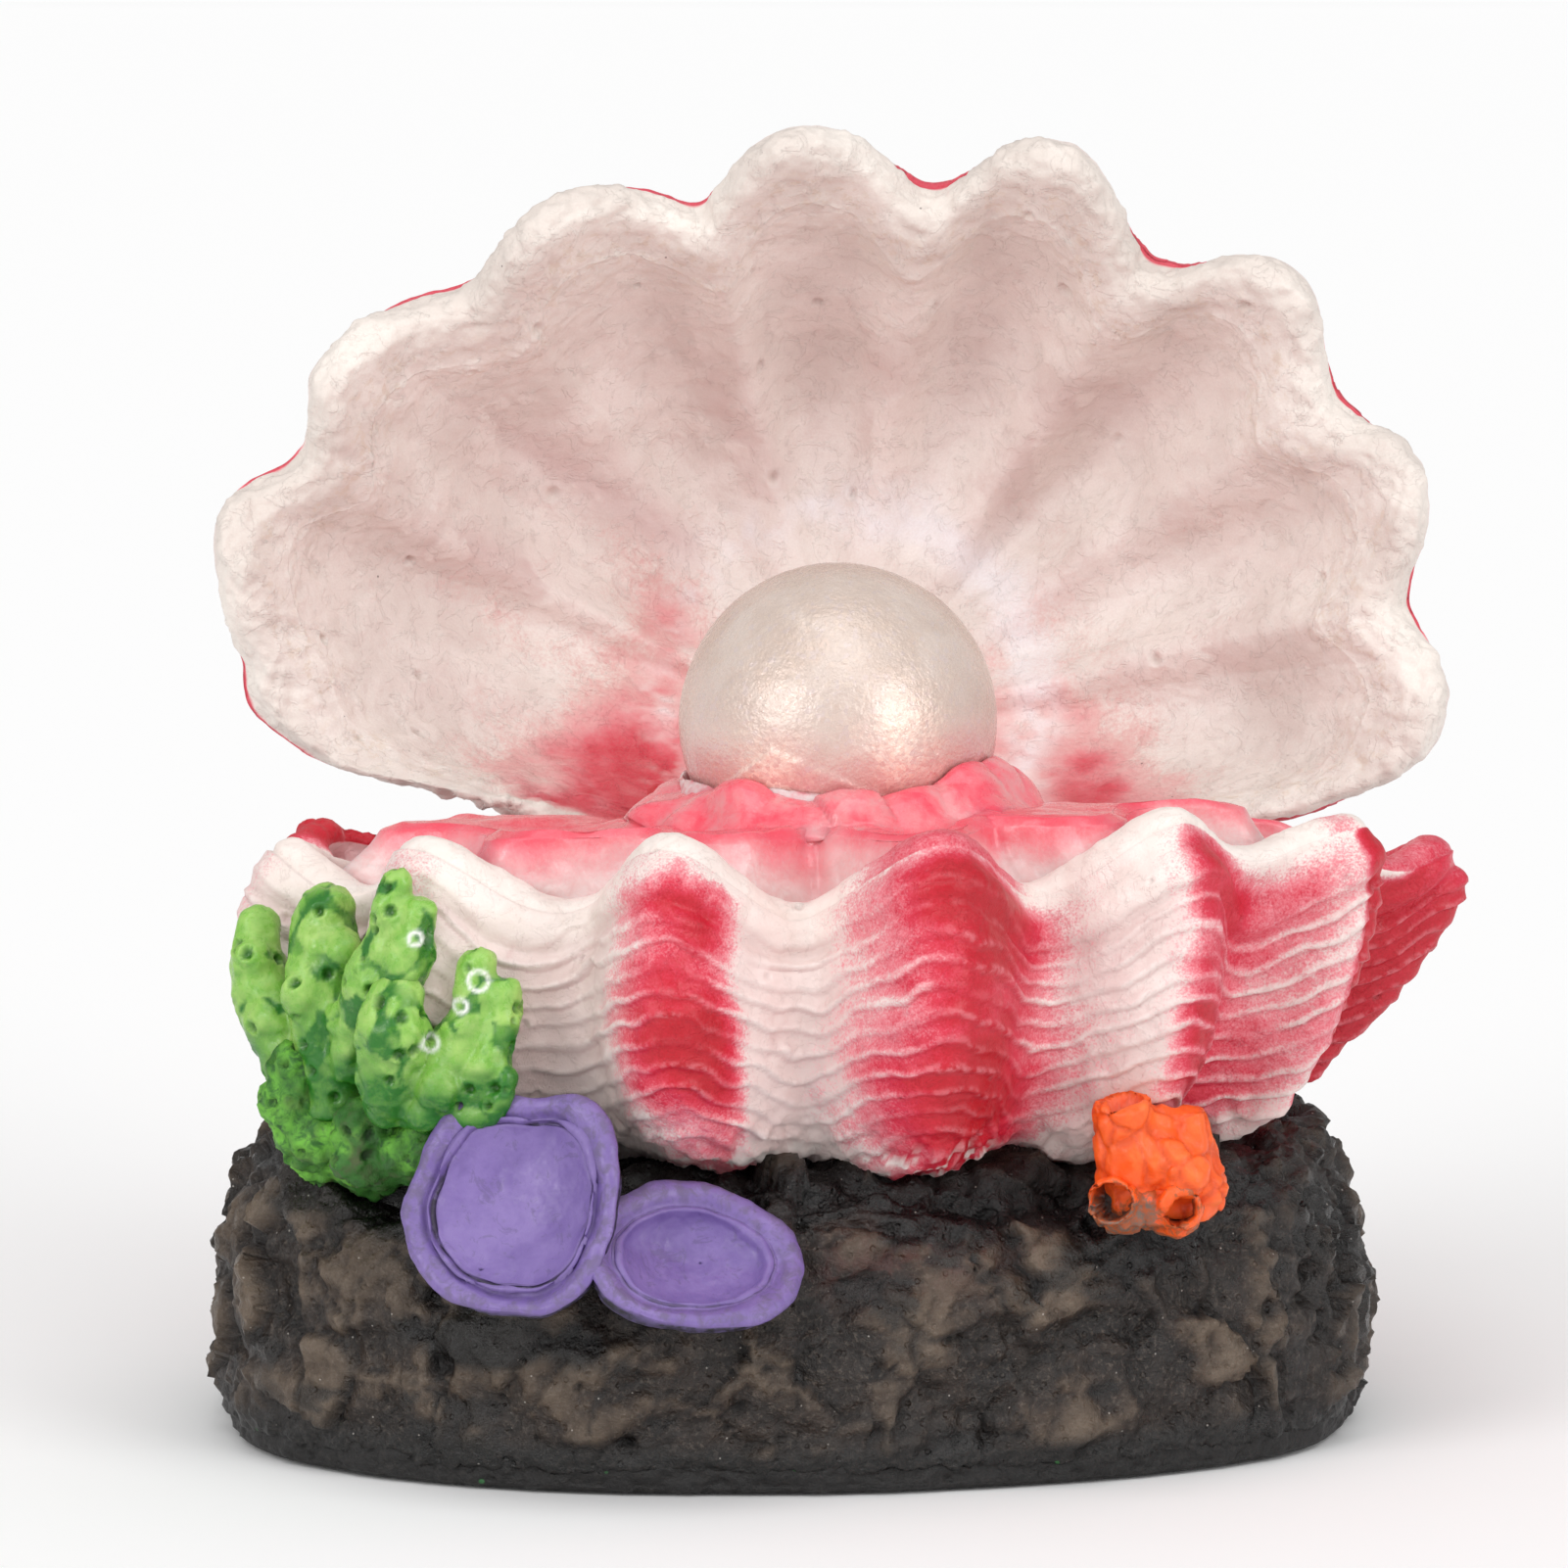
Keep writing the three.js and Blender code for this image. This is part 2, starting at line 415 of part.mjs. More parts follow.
// upper valve with its barrel
let upper = solid(upperValve());
upper = upper.add(solid(rod(BARREL_FROM, BARREL_TO, BARREL_R, HINGE_Y, HINGE_Z)));
upper = upper.subtract(solid(rod(EAR_FROM[0] - 4.1, EAR_FROM[0] + EAR_WIDTH + 0.4, 4.1, HINGE_Y, HINGE_Z)));
upper = upper.subtract(solid(rod(EAR_FROM[1] - 0.4, EAR_FROM[1] + EAR_WIDTH + 4.1, 4.1, HINGE_Y, HINGE_Z)));
upper = upper.subtract(solid(rod(-40, 50, PIN_R + 0.45, HINGE_Y, HINGE_Z, 24)));
for (const x of EAR_FROM) upper = upper.subtract(solid(box(x - 0.4, x + EAR_WIDTH + 0.4, 14, 21.8, 29, HINGE_Z)));
const BUSH_R = 2.5, BUSH_LEN = 4.5;
upper = upper.subtract(solid(rod(BARREL_FROM - 1, BARREL_FROM + BUSH_LEN + 0.1, BUSH_R + 0.05, HINGE_Y, HINGE_Z, 24)));
upper = upper.subtract(solid(rod(BARREL_TO - BUSH_LEN - 0.1, BARREL_TO + 1, BUSH_R + 0.05, HINGE_Y, HINGE_Z, 24)));
upper = mainBody(upper);
put('upper_valve', geometryOf(upper), '#e9e0dc', 0.55);

// hinge pin, bushes and caps
put('hinge_pin', mergeVertices(rod(PIN_FROM, PIN_TO, PIN_R, HINGE_Y, HINGE_Z, 20)), '#b9bcc0', 0.25, 1);
function bush(x0, dir) {
  // a flanged sleeve, its flange outside the barrel
  const g = turned([[PIN_R + 0.15, 0], [BUSH_R, 0], [BUSH_R, BUSH_LEN], [PIN_R + 0.15, BUSH_LEN], [PIN_R + 0.15, 0]], 20);
  g.rotateY(Math.PI / 2);
  if (dir < 0) g.rotateY(Math.PI);
  g.translate(x0, HINGE_Y, HINGE_Z);
  return mergeVertices(g);
}
put('hinge_bush_left', bush(BARREL_FROM, 1), '#efefe8', 0.4);
put('hinge_bush_right', bush(BARREL_TO, -1), '#efefe8', 0.4);
function cap(x0, dir) {
  const g = turned([[0, 0], [2.2, 0], [2.6, 0.5], [2.6, 2.0], [PIN_R + 0.05, 2.0], [PIN_R + 0.05, 0.9], [0, 0.9], [0, 0]].map(([r, z]) => [r, z]), 20);
  g.rotateY(dir * Math.PI / 2);
  g.translate(x0, HINGE_Y, HINGE_Z);
  return mergeVertices(g);
}
put('pin_cap_left', cap(EAR_FROM[0] - 0.2 - 2.0 - 1.3, 1), '#c9465c', 0.5);
put('pin_cap_right', cap(EAR_FROM[1] + EAR_WIDTH + 0.2 + 2.0 + 1.3, -1), '#c9465c', 0.5);

// mantle: the soft body filling the mouth of the lower valve, a seat for the pearl in it
const pearlSolid = (grow) => { const g = new THREE.SphereGeometry(PEARL_R + grow, 24, 14); g.rotateX(Math.PI / 2); g.translate(...PEARL); return g; };
const fold = (deg) => 0.5 + 0.5 * Math.sin(rad(deg * 5 + 40)) * Math.cos(rad(deg * 2));
function mantle() {
  const inner = lowerInner(0.4);
  const n = ANGLES.length;
  const frontOf = (deg) => smooth(-30, 20, lowAngle(deg)) * (1 - smooth(160, 210, lowAngle(deg)));
  // h is a height above the plane the margins meet in
  const lift = (x, y, d, h, flat) => V(x, y, flat === undefined ? mix(31.2, HINGE_Z + (HINGE_Y - y) * Math.tan(lean) + h(d) + 0.7 * rise(lowAngle(d)), frontOf(d)) : flat);
  // a ring a share of the way from the pearl's axis to the wall
  const ringOf = (share, h, flat) => Array.from({ length: n }, (_, i) => {
    const w = inner[2][i];
    return lift(mix(PEARL[0], w.x, share), mix(PEARL[1], w.y, share), ANGLES[i], h, flat);
  });
  // a ring at a distance from the pearl's axis
  const ringAt = (r, h) => Array.from({ length: n }, (_, i) => {
    const w = inner[2][i], dx = w.x - PEARL[0], dy = w.y - PEARL[1], l = Math.hypot(dx, dy);
    return lift(PEARL[0] + r * dx / l, PEARL[1] + r * dy / l, ANGLES[i], h);
  });
  const rings = [];
  rings.push(ringOf(0.3, null, 30.2));
  rings.push(ringOf(0.86, null, 29.6));
  rings.push(ringOf(0.965, null, 30.0));
  rings.push(ringOf(0.98, () => -5.2));
  rings.push(ringOf(0.9, (d) => -2.8 + 0.4 * fold(d)));
  rings.push(ringOf(0.8, (d) => 1.3 + 0.4 * fold(d + 20)));
  rings.push(ringOf(0.7, (d) => 1.0 + 0.5 * fold(d + 60)));
  rings.push(ringAt(13.2, (d) => 0.9 + 0.6 * fold(d + 10)));
  rings.push(ringAt(11.7, (d) => 2.5 + 1.6 * fold(d)));
  rings.push(ringAt(10.2, (d) => 3.0 + 1.6 * fold(d)));
  rings.push(ringAt(6, () => 3.4));
  return skin(V(PEARL[0], PEARL[1], 30.2), rings, V(PEARL[0], PEARL[1], 39.2));
}
let mantleSolid = solid(mantle()).subtract(solid(pearlSolid(GAP)));
mantleSolid = mantleSolid.subtract(solid(rod(-12, 20, BARREL_R + 0.7, HINGE_Y, HINGE_Z)));
mantleSolid = mantleSolid.subtract(solid(box(-60, 60, HINGE_Y - 4.2, 60, 32.2, 70)));
mantleSolid = mantleSolid.subtract(lower);
const nozzleBore = (() => { const g = new THREE.CylinderGeometry(2.9, 2.9, 30, 24); g.rotateX(Math.PI / 2); g.translate(AIR_X, AIR_RISE_Y, 40); return g; })();
mantleSolid = mantleSolid.subtract(solid(nozzleBore));
mantleSolid = mainBody(mantleSolid);
put('mantle', geometryOf(mantleSolid), '#c93a4c', 0.35);
put('pearl', mergeVertices((() => { const g = pearlSolid(0); g.deleteAttribute('uv'); g.deleteAttribute('normal'); return g; })(), 1e-3), '#e6d6bd', 0.2);

// clear adhesive round the foot of the pearl
{
  const ringAt = (r, z, n = 20) => Array.from({ length: n }, (_, i) => { const a = 2 * Math.PI * i / n; return V(PEARL[0] + r * Math.cos(a), PEARL[1] + r * Math.sin(a), z + 0.35 * Math.sin(3 * a + 1)); });
  const z0 = PEARL[2] - 6.3;
  let glue = solid(skin(V(PEARL[0], PEARL[1], z0), [ringAt(6, z0), ringAt(9.6, z0 + 0.1), ringAt(10.5, z0 + 1.2), ringAt(10.1, z0 + 2.6), ringAt(8.6, z0 + 3.2)], V(PEARL[0], PEARL[1], z0 + 3.4)));
  glue = glue.subtract(solid(pearlSolid(0.05))).subtract(mantleSolid);
  glue = mainBody(glue);
  put('pearl_adhesive', geometryOf(glue), '#f0dfe0', 0.15);
}

// ------------------------------------------------------------ air line
{
  // barbed inlet, its collar in the rock's pocket
  const p = [[1.0, 0], [1.9, 0], [2.5, 2.4], [1.75, 2.6], [1.75, 3.2], [2.5, 5.4], [1.75, 5.6], [1.75, 6.6], [3.6, 6.6], [3.6, 9.0], [1.15, 9.0], [1.15, 13.2], [0.75, 13.2], [0.75, 9], [1.0, 8.4], [1.0, 0]];
  const g = turned(p, 20);
  g.rotateX(Math.PI / 2);            // the profile's z now runs toward -y
  g.translate(AIR_X, 38.0, AIR_Z);
  put('air_inlet_barb', mergeVertices(g), '#1d1e20', 0.4);
  put('air_tube', alongAir(TUBE_OUT, TUBE_IN, 0, 0), '#dfe6e6', 0.3);
  const q = [[0.7, 25.6], [1.1, 25.6], [1.1, 30.0], [2.6, 30.0], [2.6, 36.4], [1.6, 38.0], [0.9, 38.0], [0.9, 30.6], [0.7, 30.0], [0.7, 25.6]];
  const n = turned(q, 20);
  n.translate(AIR_X, AIR_RISE_Y, 0);
  put('air_nozzle', mergeVertices(n), '#1d1e20', 0.4);
}

// ------------------------------------------------------------ corals and small shells on the rock
const rockGrown = solid(rockBody(GAP));
const trim = (m) => mainBody(m.subtract(shellSolid).subtract(rockGrown));
const join = (list) => list.map(solid).reduce((a, b) => a.add(b));
// a small open bivalve in two halves
function smallValve(cx, cy, cz, a, b, depth, tiltX, turnZ, rollY, ribs, t = 1.3) {
  const n = 26;
  const local = (ang, s, w, cut) => {
    const k = 1 + 0.05 * Math.cos(ribs * ang);
    return V((a - cut) * s * k * Math.cos(ang), (b - cut) * s * k * Math.sin(ang) + 0.12 * b * (1 - s), w);
  };
  const rings = [];
  const angs = Array.from({ length: n }, (_, i) => 2 * Math.PI * i / n);
  for (const s of [0.35, 0.65, 0.88]) rings.push(angs.map((g) => local(g, s, -depth * Math.pow(1 - s * s, 0.7), 0)));
  rings.push(angs.map((g) => local(g, 1, 0.2, 0)));
  rings.push(angs.map((g) => local(g, 0.98, t - 0.3, 0.5)));
  rings.push(angs.map((g) => local(g, 0.94, t - 0.4, 1.0)));
  for (const s of [0.86, 0.62, 0.34]) rings.push(angs.map((g) => local(g, s, -depth * Math.pow(1 - s * s, 0.7) + t, 0.9)));
  const g = skin(V(0, 0.12 * b, -depth), rings, V(0, 0.12 * b, -depth + t));
  g.rotateY(rad(rollY)); g.rotateX(rad(tiltX)); g.rotateZ(rad(turnZ));
  g.translate(cx, cy, cz);
  return g;
}
const purpleLeft = solid(smallValve(-17.2, -23.6, 18.6, 7.0, 7.2, 2.6, 66, -10, -8, 6));
const purpleGrown = solid(smallValve(-17.2, -23.6, 18.6, 7.4, 7.6, 3.0, 66, -10, -8, 6, 2.2));
const purpleRight = solid(smallValve(-6.4, -24.6, 15.2, 6.8, 5.2, 2.4, 48, 10, 6, 5));
const purpleL = trim(purpleLeft);
put('purple_shell_left', geometryOf(purpleL), '#8270c0', 0.5);
put('purple_shell_right', geometryOf(mainBody(purpleRight.subtract(purpleGrown).subtract(shellSolid).subtract(rockGrown))), '#7b6ab8', 0.5);

const FINGERS_LEFT = [
  [[[-30.0, -12.5, 23.5], [-32.4, -11.6, 27.5], [-33.7, -10.2, 31.2], [-33.8, -9.6, 34.0]], [2.6, 2.1, 1.9, 1.3]],
  [[[-28.4, -13.2, 23.0], [-28.9, -13.6, 28.0], [-29.5, -13.4, 32.4], [-29.3, -13.1, 35.6]], [2.9, 2.7, 2.6, 1.7]],
  [[[-27.4, -15.0, 26.0], [-26.6, -18.0, 31.0], [-25.3, -19.2, 35.2], [-24.7, -19.4, 38.2]], [2.1, 1.8, 1.4, 1.1]],
  [[[-27.0, -15.4, 27.4], [-25.2, -18.8, 31.2], [-23.9, -19.8, 34.2], [-23.3, -20.0, 36.2]], [2.0, 1.8, 1.7, 1.3]],
];
const FINGERS_FRONT = [
  [[[-25.0, -17.5, 23.6], [-25.0, -19.4, 26.4], [-24.8, -20.2, 29.4], [-24.6, -20.3, 31.0]], [2.2, 2.3, 2.3, 1.7]],
  [[[-24.0, -17.5, 23.4], [-21.6, -19.8, 26.6], [-20.0, -20.4, 30.4], [-19.6, -20.4, 33.2]], [2.2, 1.9, 1.6, 1.3]],
  [[[-22.5, -18.4, 23.6], [-19.6, -20.6, 26.0], [-18.4, -20.9, 29.0], [-18.0, -20.9, 31.6]], [2.0, 1.6, 1.4, 1.2]],
  [[[-22.6, -18.6, 23.4], [-19.0, -21.2, 24.2], [-17.9, -21.8, 26.6]], [1.6, 1.1, 0.8]],
];
const fingers = (list, grow = 0) => join(list.map(([pts, radii]) => limb(pts, radii.map((r) => r + grow))));
put('coral_fingers_left', geometryOf(trim(fingers(FINGERS_LEFT))), '#7f9b2f', 0.55);
put('coral_fingers_front', geometryOf(trim(fingers(FINGERS_FRONT).subtract(purpleGrown).subtract(fingers(FINGERS_LEFT, 0.3)))), '#8ba238', 0.5);
put('coral_foot', geometryOf(trim(join([
  limb([[-28.8, -9.5, 19.6], [-30.6, -12.8, 21.8], [-31.4, -13.6, 24.0], [-31.6, -14, 25.8]], [2.7, 2.3, 2.1, 1.5]),
  limb([[-26.5, -11, 19.4], [-27.0, -15.0, 21.2], [-27.0, -16.6, 22.4]], [2.8, 2.4, 1.8]),
  limb([[-27.0, -11, 19.4], [-24.4, -16.2, 20.8], [-22.8, -18.2, 21.8]], [2.7, 2.1, 1.5]),
]).subtract(fingers(FINGERS_LEFT, 0.35)).subtract(fingers(FINGERS_FRONT, 0.35)).subtract(purpleGrown))), '#3f5a2b', 0.7);

// barnacles and tube ends
{
  const cone = (x, y, z, r0, r1, h, dx, dy, hole, depth, n = 9) => {
    const pts = [[x - dx * 0.8, y - dy * 0.8, z - 3], [x, y, z], [x + dx * 0.5, y + dy * 0.5, z + h * 0.55], [x + dx, y + dy, z + h]];
    let m = solid(limb(pts, [r0 * 1.1, r0, mix(r0, r1, 0.55), r1], n));
    if (hole) {
      const top = V(x + dx, y + dy, z + h), dir = V(dx * 0.5, dy * 0.5, h * 0.45).normalize();
      const a = top.clone().addScaledVector(dir, -depth), b = top.clone().addScaledVector(dir, 3);
      m = m.subtract(solid(limb([[a.x, a.y, a.z], [top.x, top.y, top.z], [b.x, b.y, b.z]], [hole * 0.8, hole, hole * 1.1], n)));
    }
    return m;
  };
  const upperC = cone(21.0, -19.6, 20.2, 2.5, 1.9, 4.6, -0.6, -1.2, 1.2, 2.0).add(cone(24.4, -18.6, 20.0, 2.6, 1.1, 4.4, 0.3, -0.8, 0, 0, 6));
  const lowerA = cone(20.4, -19.8, 17.9, 2.1, 1.7, 0.4, -0.6, -3.0, 1.15, 2.2);
  const lowerB = cone(24.0, -19.2, 17.3, 2.1, 1.5, 0.4, 0.3, -2.8, 0.95, 2.0);
  const up = trim(upperC);
  put('orange_barnacles', geometryOf(up), '#e8722a', 0.45);
  const grownUp = cone(21.0, -19.6, 20.2, 2.8, 2.2, 4.6, -0.6, -1.2, 0, 0).add(cone(24.4, -18.6, 20.0, 2.9, 1.4, 4.4, 0.3, -0.8, 0, 0, 6));
  put('tube_ends', geometryOf(trim(lowerA.add(lowerB).subtract(grownUp))), '#b5714a', 0.6);
}

export default object;
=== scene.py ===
import math
import bpy
import numpy as np
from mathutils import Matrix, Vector


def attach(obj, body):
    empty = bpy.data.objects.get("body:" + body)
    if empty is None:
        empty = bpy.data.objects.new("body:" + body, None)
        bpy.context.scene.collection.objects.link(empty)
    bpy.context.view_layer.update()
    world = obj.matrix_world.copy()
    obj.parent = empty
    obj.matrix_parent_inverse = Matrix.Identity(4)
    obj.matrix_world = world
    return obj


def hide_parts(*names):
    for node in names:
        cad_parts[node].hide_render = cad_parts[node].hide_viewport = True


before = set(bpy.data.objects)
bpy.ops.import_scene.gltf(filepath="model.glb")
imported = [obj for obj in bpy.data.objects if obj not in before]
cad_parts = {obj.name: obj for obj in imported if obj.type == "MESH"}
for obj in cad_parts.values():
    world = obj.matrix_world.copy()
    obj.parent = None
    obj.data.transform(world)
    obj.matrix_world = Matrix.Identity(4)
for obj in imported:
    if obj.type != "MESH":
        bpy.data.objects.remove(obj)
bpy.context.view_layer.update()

MM = 0.001

# ---------------------------------------------------------------- noise
def _hash(ix, iy, iz, seed):
    n = (ix * 73856093) ^ (iy * 19349663) ^ (iz * 83492791) ^ (seed * 668265263)
    n = n & 0xFFFFFFFF
    n = ((n ^ (n >> 15)) * 2246822519) & 0xFFFFFFFF
    n = ((n ^ (n >> 13)) * 3266489917) & 0xFFFFFFFF
    n = n ^ (n >> 16)
    return (n & 0xFFFFFF) / float(0xFFFFFF)


def vnoise(p, seed=0):
    """smooth value noise, -1 to 1, of points (..., 3)"""
    p = np.asarray(p, float)
    i = np.floor(p).astype(np.int64)
    f = p - i
    u = f * f * f * (f * (f * 6 - 15) + 10)
    out = 0.0
    for dx in (0, 1):
        wx = u[..., 0] if dx else 1 - u[..., 0]
        for dy in (0, 1):
            wy = u[..., 1] if dy else 1 - u[..., 1]
            for dz in (0, 1):
                wz = u[..., 2] if dz else 1 - u[..., 2]
                out = out + wx * wy * wz * _hash(i[..., 0] + dx, i[..., 1] + dy, i[..., 2] + dz, seed)
    return out * 2 - 1


def fbm(p, octaves=4, seed=0, gain=0.5):
    p = np.asarray(p, float)
    total, amp, norm = 0.0, 1.0, 0.0
    for o in range(octaves):
        total = total + amp * vnoise(p * 2 ** o + 17.3 * o, seed + o)
        norm += amp
        amp *= gain
    return total / norm * 1.4


def cells(p, seed=0, jitter=0.9):
    """distance to the nearest and second nearest scattered point, and a number of the nearest"""
    p = np.asarray(p, float)
    i = np.floor(p).astype(np.int64)
    f1 = np.full(p.shape[:-1], 9.0)
    f2 = np.full(p.shape[:-1], 9.0)
    who = np.zeros(p.shape[:-1])
    for dx in (-1, 0, 1):
        for dy in (-1, 0, 1):
            for dz in (-1, 0, 1):
                c = i + np.array([dx, dy, dz])
                q = np.stack([_hash(c[..., 0], c[..., 1], c[..., 2], seed + k) for k in (1, 2, 3)], -1)
                d = np.linalg.norm(c + 0.5 + (q - 0.5) * jitter - p, axis=-1)
                near = d < f1
                f2 = np.where(near, f1, np.minimum(f2, d))
                who = np.where(near, _hash(c[..., 0], c[..., 1], c[..., 2], seed + 9), who)
                f1 = np.where(near, d, f1)
    return f1, f2, who


def facets(p, seed, tilt=1.0, jitter=0.95):
    """tilted flat facets, a plane of its own for each scattered point: height, distance from the facet's edge, number"""
    p = np.asarray(p, float)
    i = np.floor(p).astype(np.int64)
    f1 = np.full(p.shape[:-1], 9.0)
    f2 = np.full(p.shape[:-1], 9.0)
    who = np.zeros(p.shape[:-1])
    h = np.zeros(p.shape[:-1])
    for dx in (-1, 0, 1):
        for dy in (-1, 0, 1):
            for dz in (-1, 0, 1):
                c = i + np.array([dx, dy, dz])
                q = np.stack([_hash(c[..., 0], c[..., 1], c[..., 2], seed + k) for k in (1, 2, 3)], -1)
                n = np.stack([_hash(c[..., 0], c[..., 1], c[..., 2], seed + k) for k in (4, 5, 6)], -1) - 0.5
                off = p - (c + 0.5 + (q - 0.5) * jitter)
                d = np.linalg.norm(off, axis=-1)
                near = d < f1
                f2 = np.where(near, f1, np.minimum(f2, d))
                who = np.where(near, q[..., 0], who)
                h = np.where(near, (off * n).sum(-1) * 2 * tilt + (q[..., 1] - 0.5) * 0.5, h)
                f1 = np.where(near, d, f1)
    return h, f2 - f1, who


def smooth(a, b, v):
    t = np.clip((np.asarray(v, float) - a) / (b - a), 0, 1)
    return t * t * (3 - 2 * t)


def mix(a, b, t):
    return a + (b - a) * t


# ---------------------------------------------------------------- dimensions, as in the CAD (mm)
HINGE_Y, HINGE_Z, LEAN = 19.0, 36.5, math.radians(4)
UMBO_X, UMBO_U = 3.0, 5.0
LIP, WALL, UMBO_DEPTH, DOME_EXTRA = 3.1, 2.6, 14.0, 10.5
INTERLOCK, INTERLOCK_GAP, LOWER_DEPTH = 2.2, 0.35, 19.5
FOOT_PLATE, GAP, ROCK_TOP = 2.3, 0.3, 20.5
PEARL_R, PEARL = 10.2, (2.8, -2.0, 46.0)
MARGIN = [
    (27.6, -0.6), (31.5, 0), (34.3, 0.5), (38, 2.1), (40.9, 3.7), (42.2, 5.4), (42.9, 8.6), (41.9, 11.8),
    (40.7, 14.4), (41, 16.7), (41.7, 19.6), (41.5, 23.2), (40.2, 24.8), (37.9, 26.4), (36.2, 28),
    (35.4, 30.4), (34.8, 32.8), (34.3, 34.4), (33, 36.1), (31.3, 37.1), (29.3, 37.3), (27.4, 36.9),
    (25.5, 36.6), (23.6, 37.1), (22.2, 39.3), (21.3, 40.9), (20.3, 42.5), (19.1, 43.9), (17.8, 44.5),
    (15.9, 44.8), (14, 44.5), (12.1, 43.2), (10.2, 42), (9.2, 41.8), (8.3, 42), (6.3, 43.4), (4.4, 44.9),
    (2.5, 45.5), (0.6, 45.7), (-1.3, 45.3), (-3, 44.1), (-4.5, 42.5), (-6.1, 40.7), (-7.1, 40.8),
    (-9, 41.6), (-10.9, 41.9), (-12.8, 41.9), (-14.7, 41.5), (-16.1, 40.9), (-18.2, 39.3), (-19.5, 37.7),
    (-20.4, 36.1), (-22.4, 35.2), (-24.3, 34.9), (-26.2, 34.2), (-28.7, 32.8), (-30.4, 31.2),
    (-31.7, 29.6), (-31.9, 26.4), (-32.3, 24.8), (-34, 23.4), (-35.9, 22.7), (-37.1, 21.6), (-38, 19.9),
    (-38.1, 18.3), (-37.6, 15.1), (-36.9, 11.8), (-36.5, 10.2), (-36.6, 8.6), (-36, 6.9), (-34.1, 5.4),
    (-30.3, 3.3), (-26.4, 2.6), (-22.5, 1.7), (-18.7, 0.5), (-14.2, -1.2), (-10, -1.6), (3, -1.8),
    (16, -1.6), (24, -1.1)]
RIBS = [(-30, -2), (-12, -1), (4, 0), (14, 1), (23, 2), (34.7, 3), (46, 4), (56.5, 5), (68.5, 6), (81.2, 7),
        (94.6, 8), (106, 9), (120, 10), (132, 11), (146, 12), (154, 13), (162.5, 14), (175, 15), (192, 16), (212, 17)]
RISE = [(-110, 0), (-60, 0), (-30, -1.0), (-12, -2.0), (4, -1.5), (16, -0.2), (24, 0.8), (31, 1.7), (38, 2.4), (46, 2.6), (57, 2.0), (68, 1.5), (82, 1.0),
        (96, 0.1), (107, 0.5), (121, 0.4), (135, 0), (250, 0)]
FILL = np.array([1, 0.7, 0.35, 0.1, 0, 0, 0, 0])
TUCK = np.array([0, 0.6, 1.6, 2.6, 3.0, 3.0, 2.0, 1.0])
TRIM = np.array([0, 1.0, 3.2, 5.4, 6.5, 6.4, 4.6, 2.6])
FOOT = [(37.4, 9), (36.4, 0), (34.1, -8.3), (30.3, -12), (26.4, -14.8), (18.9, -18.5), (15.2, -19.7), (7.9, -21.7),
        (-4, -22.6), (-12, -22.5), (-17.8, -21.2), (-23.4, -19), (-27.1, -17.2), (-30.9, -14.2), (-34.9, -9.9), (-37, -2),
        (-37.4, 6), (-36.2, 15), (-32, 23), (-25, 29), (-14, 33), (0, 34.5), (14, 33.2), (25, 29), (33, 21)]
TAU = 2 * math.pi


def blur(a, sigma):
    """periodic gaussian blur of a sampled closed curve"""
    n = len(a)
    k = np.arange(n)
    k = np.minimum(k, n - k)
    g = np.exp(-0.5 * (k / sigma) ** 2)
    return np.real(np.fft.ifft(np.fft.fft(a) * np.fft.fft(g / g.sum())))


DEG = np.arange(0, 360, 0.25)


def polar(points, cx, cy, sigma_deg):
    p = np.array(points, float)
    a = np.degrees(np.arctan2(p[:, 1] - cy, p[:, 0] - cx)) % 360
    r = np.hypot(p[:, 0] - cx, p[:, 1] - cy)
    o = np.argsort(a)
    table = np.interp(DEG, a[o], r[o], period=360)
    table = blur(table, sigma_deg / 0.25)
    return lambda d: np.interp(np.asarray(d, float) % 360, DEG, table, period=360)


margin_r = polar(MARGIN, UMBO_X, UMBO_U, 0.7)
foot_r = polar(FOOT, 0, 6, 5.0)
_ra = np.array([r[0] for r in RIBS], float)
_rp = np.array([r[1] for r in RIBS], float)
_fine = np.arange(-30, 212, 0.25)
_ph = np.interp(_fine, _ra, _rp)
_k = np.exp(-0.5 * (np.arange(-16, 17) / 6.0) ** 2)
_ph = np.convolve(np.pad(_ph, 16, mode="edge"), _k / _k.sum(), "valid")


def low_angle(d):
    d = np.asarray(d, float) % 360
    return np.where(d > 250, d - 360, d)


def fan(d):
    return smooth(-24, -4, d) * (1 - smooth(184, 204, d))


def wave(d):
    """+1 on a rib of the upper valve, -1 in its grooves"""
    d = low_angle(d)
    return np.cos(math.pi * np.interp(d, _fine, _ph)) * fan(d)


def rise(d):
    """how far the margins rise out of their plane"""
    return np.interp(low_angle(d), [q[0] for q in RISE], [q[1] for q in RISE])


def flank_of(d):
    return smooth(-24, -6, d) * (1 - 0.72 * smooth(16, 38, d)) * (1 - smooth(44, 68, d))


def zigzag(d):
    d = low_angle(d)
    return rise(d) - wave(d) * mix(1.0, INTERLOCK, smooth(40, 62, d) * (1 - smooth(125, 165, d)))


def shut(x, u, w):
    return np.stack([x, HINGE_Y - u * math.cos(LEAN) + w * math.sin(LEAN), HINGE_Z + u * math.sin(LEAN) + w * math.cos(LEAN)], -1)


def opened(x, u, w):
    return np.stack([x, HINGE_Y + u * math.sin(LEAN) + w * math.cos(LEAN), HINGE_Z + u * math.cos(LEAN) - w * math.sin(LEAN)], -1)


def around(deg, r, w, place):
    a = np.radians(deg)
    return place(UMBO_X + r * np.cos(a), UMBO_U + r * np.sin(a), w + 0 * r)


